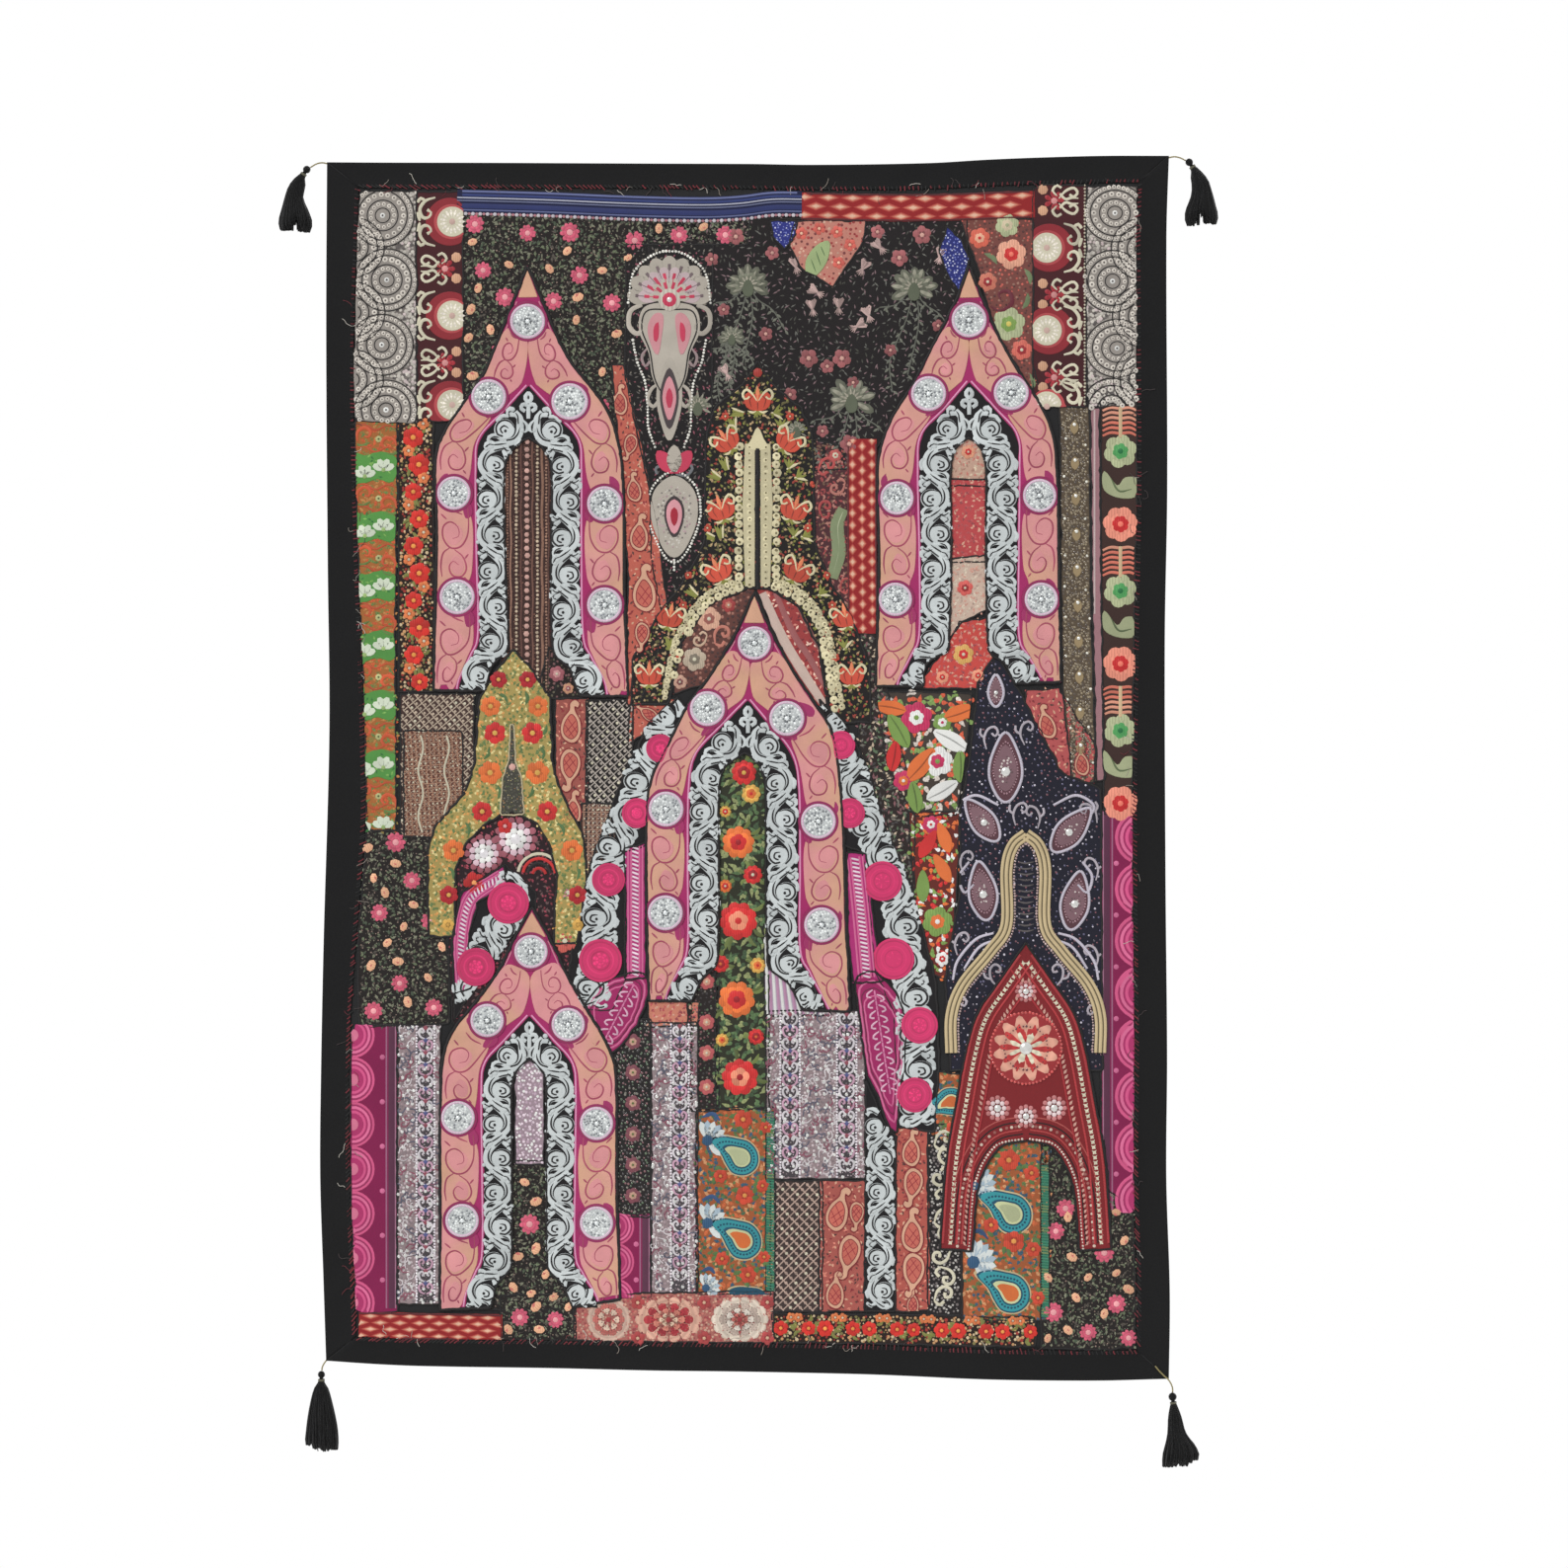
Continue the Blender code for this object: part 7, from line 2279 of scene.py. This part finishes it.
BAND_SCROLLS = [(118, 0.66), (238, 0.98), (372, 0.98), (506, 0.98)]
BAND_GAPS = [(168, 1), (300, 1), (438, 1), (196, -1), (330, -1), (466, -1)]


def make_yoke(name, outer, lace, slot, rosettes):
    """A neckline yoke. Each pair of lines runs from the peak to the left and the right foot."""
    work = Handwork()
    outer_lines, lace_lines, slot_lines = ([smooth(points, 6) for points in pair] for pair in (outer, lace,
        slot))
    body = sew_cloth(work, np.concatenate((outer_lines[0], slot_lines[0][::-1], slot_lines[1][1:],
        outer_lines[1][::-1][:-1])), MAGENTA, YOKE_LEVEL, ravel=0.3)
    sew_cloth(work, np.concatenate((lace_lines[0], slot_lines[0][::-1], slot_lines[1][1:],
        lace_lines[1][::-1][:-1])), LACE_BLACK, LACE_LEVEL, ravel=0.3, base=YOKE_LEVEL)
    band = work.limit
    peak = np.array(outer[0][0], float)
    for side, (edge, lace_line, slot_line) in enumerate(zip(outer_lines, lace_lines, slot_lines)):
        work.limit = body
        lay = between(edge, even(np.concatenate(([peak], lace_line)), 6.0), BAND_LENGTH, BAND_HALF)
        fill(work, lay(smooth(BAND_SATIN, 7, closed=True)[:-1]), peach_satin, YOKE_LEVEL, rise=0.9,
            curved=False)
        for along_band, size in BAND_SCROLLS:
            move = (along_band, -2)
            for points in BAND_PINKS:
                fill(work, lay(smooth(np.array(points, float) * size + move, 5, closed=True)[:-1]), PINK,
                    YOKE_LEVEL + 0.7, rise=0.4, curved=False, grain=(0.95, 0.3))
            for points in BAND_LINES:
                stroke(work, np.array(points, float) * size + move, 2.1, ROSE, YOKE_LEVEL + 1.0, lay, (0.5,
                    0.5), rise=0.4)
        for a, way in BAND_GAPS:
            middle = -20 if way > 0 else 17
            gap = np.array([(-13, -8), (6, -7), (12, -2), (4, 5), (-6, 3)], float) * (1, -way) + (a, middle)
            fill(work, lay(smooth(gap, 5, closed=True)[:-1]), MAGENTA, YOKE_LEVEL + 0.6, rise=0.35,
                curved=False)
        out = -1 if side == 0 else 1
        ribbon(work, lace_line + (2.4 * out, 1.4), 2.0, LACE_EDGE, YOKE_LEVEL, 0.9)
        ribbon(work, edge[8:] - (4.2 * out, 0.0), 1.6, dye(206, 130, 150), YOKE_LEVEL, 0.9)
        work.limit = band
        first, second = (np.column_stack([np.interp(np.linspace(0, 1, 90), np.linspace(0, 1, len(line)),
            values) for values in line.T]) for line in (lace_line, slot_line))
        scroll_vine(work, even((first + second)[3:] / 2, 4.0), 18.0, LACE_LEVEL, -out)
    work.limit = body
    tip = np.array([peak - (0, 7), outer_lines[0][7] + (4, 0), outer_lines[1][7] - (4, 0), peak - (0, 7)])
    fill(work, even_edges(tip, 6.0), PEACH, YOKE_LEVEL, rise=0.9, curved=False)
    for x, z, radius in rosettes:
        # Painted shade: a ring of magenta darker than the ground round each raised rosette.
        disc(work, x, z, radius + 3.5, MAGENTA * 0.8, YOKE_LEVEL + 0.4, 0.9)
        rosette(work, x, z, radius, YOKE_LEVEL + 1.1)
    work.limit = None
    for points in ([(0, -7), (-4, -14), (0, -21)], [(0, -7), (4, -14), (0, -21)], [(0, -22), (0, -40)], [(0,
            -25), (-6, -22), (-9, -27), (-4, -31)], [(0, -25), (6, -22), (9, -27), (4, -31)]):
        stroke(work, points, 5.0, LACE_WHITE, LACE_LEVEL, placed(*lace[0][0]), (0.6, 0.9), rise=1.2)
    couch(work, np.concatenate((outer_lines[0][::-1], outer_lines[1][1:])), 4.4, base=YOKE_LEVEL - 0.4)
    couch(work, np.concatenate((slot_lines[0][::-1], slot_lines[1][1:])), 3.4, base=LACE_LEVEL - 0.6)
    for inner, outside in zip(slot_lines, outer_lines):
        couch(work, [inner[-1], outside[-1]], 4.0, base=YOKE_LEVEL - 0.4)
    return work.make(name)


make_yoke(
    "yoke_top_left",
    ([(-272, -126), (-290, -172), (-325, -257), (-352, -297), (-378, -338), (-386, -375), (-384, -450),
      (-386, -550), (-388, -650)],
     [(-272, -126), (-253, -172), (-225, -235), (-190, -280), (-172, -308), (-160, -345), (-154, -400),
      (-152, -550), (-148, -658)]),
    ([(-271, -275), (-301, -308), (-330, -341), (-334, -380), (-333, -480), (-331, -580), (-340, -608),
      (-354, -636), (-357, -650)],
     [(-271, -275), (-241, -308), (-212, -341), (-208, -380), (-208, -480), (-206, -582), (-196, -610),
      (-180, -638), (-176, -657)]),
    ([(-271, -338), (-292, -354), (-301, -384), (-300, -480), (-296, -585), (-298, -603), (-316, -620),
      (-325, -651)],
     [(-271, -338), (-252, -352), (-242, -384), (-243, -480), (-242, -586), (-237, -608), (-220, -624),
      (-208, -657)]),
    [(-272, -195, 21), (-320, -288, 21), (-220, -294, 22), (-363, -407, 20), (-177, -420, 21),
     (-359, -535, 21), (-177, -545, 21)],
)
make_yoke(
    "yoke_top_right",
    ([(273, -126), (255, -172), (228, -225), (205, -270), (180, -310), (166, -345), (160, -385), (162, -500),
      (158, -645)],
     [(273, -126), (292, -172), (310, -215), (340, -265), (362, -300), (377, -338), (382, -400), (384, -500),
      (386, -640)]),
    ([(273, -270), (245, -303), (216, -336), (212, -380), (214, -480), (214, -580), (205, -606), (190, -634),
      (187, -645)],
     [(273, -270), (303, -303), (330, -336), (333, -380), (332, -480), (332, -582), (343, -608), (358, -632),
      (361, -642)]),
    ([(273, -338), (256, -352), (250, -384), (251, -480), (248, -585), (245, -602), (220, -618), (217, -645)],
     [(273, -338), (288, -352), (294, -384), (294, -480), (296, -585), (300, -606), (317, -617), (330, -642)]),
    [(273, -193, 21), (223, -284, 21), (325, -283, 21), (184, -413, 20), (360, -410, 20), (182, -538, 20),
     (362, -538, 20)],
)
make_yoke(
    "yoke_middle",
    ([(8, -528), (-15, -580), (-45, -630), (-75, -670), (-97, -715), (-117, -755), (-125, -800), (-125, -920),
      (-122, -1033)],
     [(8, -528), (30, -580), (55, -625), (85, -670), (103, -700), (112, -750), (118, -830), (122, -950),
      (126, -1047)]),
    ([(0, -663), (-33, -697), (-63, -731), (-71, -775), (-72, -870), (-72, -965), (-82, -995), (-97, -1022),
      (-99, -1034)],
     [(0, -663), (28, -697), (53, -731), (61, -775), (62, -870), (62, -970), (74, -1000), (90, -1030),
      (98, -1046)]),
    ([(-4, -727), (-28, -745), (-36, -775), (-36, -870), (-37, -965), (-40, -990), (-58, -1008), (-70, -1034)],
     [(-4, -727), (14, -742), (22, -775), (22, -870), (24, -970), (28, -995), (50, -1012), (68, -1045)]),
    [(8, -592, 20), (-50, -673, 21), (48, -685, 21), (-101, -797, 21), (87, -812, 21), (-102, -925, 21),
     (91, -940, 21)],
)
make_yoke(
    "yoke_bottom_left",
    ([(-267, -918), (-290, -960), (-310, -1000), (-340, -1040), (-364, -1070), (-377, -1110), (-380, -1200),
      (-380, -1300), (-380, -1415)],
     [(-267, -918), (-243, -960), (-222, -1005), (-195, -1050), (-173, -1090), (-163, -1130), (-162, -1250),
      (-160, -1330), (-158, -1402)]),
    ([(-270, -1053), (-298, -1083), (-323, -1112), (-327, -1150), (-326, -1250), (-326, -1345), (-334, -1370),
      (-346, -1396), (-349, -1413)],
     [(-270, -1053), (-243, -1083), (-219, -1112), (-215, -1150), (-216, -1250), (-216, -1345), (-206, -1372),
      (-190, -1398), (-186, -1412)]),
    ([(-270, -1106), (-286, -1120), (-292, -1148), (-292, -1250), (-292, -1350), (-294, -1366), (-310, -1384),
      (-318, -1413)],
     [(-270, -1106), (-254, -1120), (-249, -1148), (-249, -1250), (-248, -1350), (-245, -1368), (-228, -1386),
      (-216, -1412)]),
    [(-268, -973, 20), (-322, -1058, 20), (-222, -1063, 20), (-358, -1178, 20), (-187, -1185, 20),
     (-353, -1305, 20), (-187, -1308, 20)],
)


# ------------------------------
# The border: four strips of black cotton, folded over the patchwork's raw edges and mitred at
# the corners. Each is sewn down with dark red and black thread, which puckers it a little.
# ------------------------------
# Round a strip, from its outer fold over the front to the inner fold, then along the back:
# the share of its width, the height, how much the puckers lift it.
STRIP_SECTION = [(0.0, 0.0, 0), (0.006, 0.6, 0), (0.025, 1.0, 0), (0.09, 1.15, 0.1), (0.2, 1.1, 0.3), (0.34,
    1.1, 0.6), (0.48, 1.15, 0.9), (0.62, 1.3, 1.1), (0.76, 1.7, 1.1), (0.88, 2.3, 0.9), (0.97, 2.75, 0.5),
    (1.01, 2.6, 0.2), (1.025, 2.1, 0.1), (1.0, 1.3, 0), (0.98, -1.0, 0), (0.9, -1.25, 0), (0.6, -1.15, 0),
    (0.3, -1.1, 0), (0.08, -1.0, 0), (0.006, -0.6, 0)]
STRIPS = {"top": ((1.04, 0.035), 0.0316, 1), "bottom": ((1.04, 0.037), 0.0345, -1), "left": ((1.48, 0.042),
    0.0552, -1), "right": ((1.51, 0.041), 0.0558, 1)}
STRIP_STEP = 4.0
border_cotton = cotton("border_cotton", dye(15, 15, 16), 0.0007, 0.35, 0.0)
section = np.array(STRIP_SECTION)
for side, (flat, area, way) in STRIPS.items():
    rows = round(flat[0] / MM / STRIP_STEP)
    share = np.linspace(0, 1, rows)
    run = share * flat[0] / MM
    pucker = sum(np.sin(run / chance.uniform(5, 22) + chance.uniform(0, 6)) * chance.uniform(0.05,
        0.16) for _ in range(9))
    slow = sum(np.sin(run / chance.uniform(30, 90) + chance.uniform(0, 6)) * chance.uniform(0.1,
        0.25) for _ in range(5))
    seam = np.clip(np.minimum(run, run[-1] - run) / 3.0, 0.0, 1.0) ** 0.5
    grid = np.empty((rows, len(section), 3))
    for column, (inset, height, lifted) in enumerate(section):
        grid[:, column, :2] = edge_point(side, share, inset)
        lean = pucker * lifted + slow * (0.3 + 0.7 * lifted) * (abs(height) > 0.7)
        grid[:, column, 2] = (height + lean * (1 if height > 0 else 0.5)) * (0.55 + 0.45 * seam)
    columns = len(section)
    i, j = np.meshgrid(np.arange(rows - 1), np.arange(columns), indexing="ij")
    a, b = (i * columns + j).ravel(), (i * columns + (j + 1) % columns).ravel()
    faces = np.column_stack((a, a + columns, b + columns, b))
    middles = np.array([grid[0].mean(axis=0), grid[-1].mean(axis=0)])
    points = np.concatenate((grid.reshape(-1, 3), middles))
    around, last = np.arange(columns), (rows - 1) * columns
    caps = np.concatenate((np.column_stack((around, (around + 1) % columns, np.full(columns,
        rows * columns))), np.column_stack((last + (around + 1) % columns, last + around, np.full(columns,
        rows * columns + 1)))))
    if way < 0:
        faces, caps = faces[:, ::-1], caps[:, ::-1]
    strip = make_object(f"border_strip_{side}", hang(points), [faces, caps], [border_cotton])
    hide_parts(f"border_{side}")

# Slanting stitches along the inner fold, the mitre seams, and ends of thread left hanging.
work = Handwork(within=None)
STITCH_RED, STITCH_BLACK = dye(104, 26, 36), dye(14, 14, 15)
for side, (flat, _, _) in STRIPS.items():
    share = np.arange(0.004, 0.996, 5.6 * MM / flat[0])
    share = share + chance.normal(0, 0.0005, len(share))
    outside, within = edge_point(side, share, 0.9), edge_point(side, share, 1.09)
    for start, end in zip(outside, within):
        lean = np.array((1.6, 0.0)) if side in ("top", "bottom") else np.array((0.0, 1.6))
        slack = chance.uniform(0.35, 1.1)
        colour = STITCH_RED if chance.random() < 0.6 else STITCH_BLACK
        ribbon(work, np.array([start, (start + end) / 2 + lean, start + (end - start) * slack + lean * 2]),
            1.5, vary(colour, 0.2), 2.7, 0.5)
    for _ in range(34):
        at = chance.uniform(0.02, 0.98)
        start = edge_point(side, np.array([at]), chance.uniform(0.85, 1.2))[0]
        turns = np.cumsum(chance.normal(0, 0.5, 5)) + chance.uniform(0, 6.28)
        steps = np.column_stack((np.cos(turns), np.sin(turns))) * chance.uniform(1.5, 4.0)
        tone = pick([dye(150, 140, 130), dye(110, 40, 50), dye(196, 190, 180), dye(70, 60, 60)], 1)[0]
        ribbon(work, smooth(start + np.cumsum(np.concatenate(([(0, 0)], steps)), axis=0), 1.5), 0.7, tone,
            2.7, 0.5)
for out in (-1, 1):
    for up in (-1, 1):
        inset = np.linspace(0.03, 0.97, 14)
        seam_line = np.array([corner_point(out, up, k) for k in inset])
        ribbon(work, seam_line, 1.0, dye(8, 8, 9), 0.85, 0.3)
work.make("border_stitches")

# The stitches of the patchwork show on the back as short dashes, along the larger pieces' edges.
BACK_LINES = [
    [(-272, -130), (-352, -300), (-384, -400), (-386, -645), (-152, -655), (-156, -380), (-200, -270), (-272, -130)],
    [(273, -130), (180, -310), (162, -420), (160, -640), (384, -640), (380, -380), (330, -245), (273, -130)],
    [(8, -532), (-90, -700), (-124, -850), (-122, -1036), (124, -1044), (114, -780), (60, -640), (8, -532)],
    [(-267, -922), (-350, -1050), (-378, -1150), (-378, -1412), (-160, -1402), (-166, -1120), (-267, -922)],
    [(12, -248), (-50, -330), (-54, -470), (-142, -640)], [(12, -248), (78, -330), (82, -470), (150, -680)],
    [(343, -640), (262, -800), (246, -1000), (250, -1110), (232, -1340)],
    [(343, -640), (432, -780), (436, -1110), (446, -1345)], [(-290, -604), (-336, -740), (-394, -850), (-394, -950)],
    [(-290, -604), (-242, -750), (-200, -850), (-211, -960)],
    [(-482, -62), (484, -62)], [(-484, -320), (-390, -318)], [(-484, -826), (-340, -830)], [(-482, -1062), (-60, -1060)],
    [(-408, -40), (-408, -310)], [(-352, -62), (-352, -290)], [(352, -62), (354, -290)], [(418, -40), (418, -300)],
    [(-432, -320), (-432, -1060)], [(434, -300), (438, -1290)], [(-118, -1062), (-118, -1390)],
    [(-62, -1062), (-62, -1392)], [(26, -1050), (30, -1418)], [(144, -1050), (146, -1416)], [(30, -1256), (144, -1256)],
    [(-482, -1420), (480, -1420)], [(182, -1190), (182, -1416)], [(224, -1190), (226, -1416)],
]
work = Handwork(behind=True, within=None)
for line in BACK_LINES:
    lay, length = along(even(np.array(line, float), 6)), path_length(np.array(line, float))
    tone = pick([dye(60, 58, 58), dye(34, 32, 34), dye(110, 36, 48), dye(84, 80, 76)], 1, [0.35, 0.35, 0.15,
        0.15])[0]
    for start in np.arange(2, length - 6, 8.2):
        a = start + chance.normal(0, 0.4)
        b = chance.normal(0, 0.5)
        ribbon(work, lay([(a, b), (a + 2, b), (a + chance.uniform(3.4, 5), b + chance.normal(0, 0.4))]), 1.3,
            vary(tone, 0.15), 1.05, 0.5)
work.make("back_stitches")


# ------------------------------
# The tassels: a black yarn skirt gathered at the neck, bound there with grey-green thread, under
# a ball of the same yarn wound round the cord's end. The strands' ends are cut unevenly.
# ------------------------------
PIECE_GAP, NECK_RADIUS, WRAP_DROP = 0.3, 2.8, 2.0
SHOULDER_DROP, SHOULDER_RADIUS, DEPTH_SHARE = 5.0, 4.7, 0.62
STRANDS, CORE_STRANDS = 260, 30
# The locks that a skirt parts into, from left to right: each reaches to a share of the half width,
# swings sideways by some millimetres at its end, and is cut short by some.
LOCKS = {"top_left": [(-0.5, -1, 2), (0, -2.5, 0), (0.5, 3, 3), (1, 1, 0)], "top_right": [(-0.5, -1, 0), (0,
    -3, 3), (0.5, 2.5, 0), (1, 1, 2)], "bottom_left": [(-0.72, -2.5, 9), (-0.2, 0, 4), (0.35, 0, 0), (1, 0,
    3)], "bottom_right": [(-0.3, -1, 0), (0.2, 0, 2.5), (0.6, 0, 0.5), (0.85, 1.5, 6), (1, 3, 9)]}
black_yarn = plain_thread("black_yarn", dye(11, 11, 12), 2.4, 0.05, sheen=0.12, specular=0.14)
grey_thread = plain_thread("grey_wrap_thread", dye(104, 102, 84), 0.5, 0.4, sheen=0.1)
for corner, (_, _, _, _, head_radius, notch, skirt) in TASSELS.items():
    head_centre = head_place[corner]
    plane_y = head_centre[1]
    axis = np.array((skirt[0][0] * MM, plane_y, skirt[0][1] * MM)) - head_centre
    axis /= np.linalg.norm(axis)
    across = np.cross(axis, (0.0, 1.0, 0.0))
    across /= np.linalg.norm(across)
    back = np.cross(across, axis)
    neck = head_centre + axis * (head_radius + PIECE_GAP) * MM

    ball = Bundle()
    along_axis = np.linspace(-1, 1, 15)
    core = head_radius - 1.0
    ball.add(head_centre + axis * (along_axis * core * 0.985)[:, None] * MM,
        np.maximum(np.sqrt(np.clip(1 - along_axis**2, 0, 1)), 0.12) * core * MM, 14)
    turn = np.linspace(0, 7.5 * math.tau, 260)
    polar = np.linspace(0.25, math.pi - 0.2, 260)
    wind = head_radius - 0.72
    wound = (head_centre + (-axis[None] * np.cos(polar)[:,
        None] + across[None] * (np.sin(polar) * np.cos(turn))[:,
        None] + back[None] * (np.sin(polar) * np.sin(turn))[:, None]) * wind * MM)
    ball.add(wound, 0.7 * MM, 6, strand_turns=1.3)
    head = ball.make(f"wound_head_{corner}", black_yarn)
    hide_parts(f"tassel_head_{corner}")

    turn = np.linspace(0, 3.2 * math.tau, 90)
    rise = np.linspace(-1.25, 1.25, 90) + WRAP_DROP
    helix = (neck + axis[None] * rise[:, None] * MM + (across[None] * np.cos(turn)[:,
        None] + back[None] * np.sin(turn)[:, None]) * (NECK_RADIUS + 0.9) * MM)
    binding = Bundle()
    binding.add(helix, 0.5 * MM, 6, strand_turns=1.0)
    wrap = binding.make(f"neck_wrap_{corner}", grey_thread)
    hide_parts(f"tassel_wrap_{corner}")

    stops = [(neck - axis * 1.2 * MM, across, 1.8, 1.8), (neck + axis * 3.2 * MM, across, NECK_RADIUS - 0.4,
        NECK_RADIUS - 0.4), (neck + axis * (SHOULDER_DROP + 0.8) * MM, across, SHOULDER_RADIUS - 0.3,
        SHOULDER_RADIUS - 0.3)]
    stops += [(np.array((x * MM, plane_y, z * MM)), np.array((1.0, 0, 0)), half - 0.8,
        (half - 0.8) * DEPTH_SHARE) for x, z, half in skirt]
    strands = Bundle()
    for order in range(STRANDS + CORE_STRANDS):
        outer = order < STRANDS
        angle = order * 2.39996 + chance.normal(0, 0.05)
        share = chance.uniform(0.72, 1.0) if outer else chance.uniform(0.1, 0.6)
        reach, shift, short = next(lock for lock in LOCKS[corner] if math.cos(angle) <= lock[0])
        swing = chance.normal(0, 0.05, len(stops)).cumsum()
        path = []
        for step, (centre, wide, half, deep) in enumerate(stops):
            low = max(step - 2, 0) / (len(stops) - 3)
            side = math.cos(angle + swing[step] * low) * share
            front = math.sin(angle + swing[step] * low) * share
            apart = low**2 * (shift + chance.normal(0, 0.3)) if step > 2 else 0.0
            path.append(centre + (wide * (side * half + apart) + np.array((0, 1.0, 0)) * front * deep) * MM)
        curve = smooth(np.array(path), 8 * MM)
        cut = short + abs(chance.normal(0, 1.1)) + notch * (1 - abs(math.cos(angle))) ** 1.5
        gone = np.concatenate(([0], np.cumsum(np.linalg.norm(np.diff(curve, axis=0), axis=1))))
        at = np.linspace(0, gone[-1] - cut * MM, len(curve))
        curve = np.column_stack([np.interp(at, gone, values) for values in curve.T])
        thick = np.interp(np.linspace(0, 1, len(curve)), (0, 0.06, 0.25, 0.9, 1), (0.3, 0.32, 0.62, 0.78,
            0.66))
        strands.add(curve, thick * (1.0 if outer else 1.9) * MM, 4 if outer else 5, strand_turns=1.3)
    skirt_piece = strands.make(f"yarn_skirt_{corner}", black_yarn)
    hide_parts(f"tassel_skirt_{corner}")
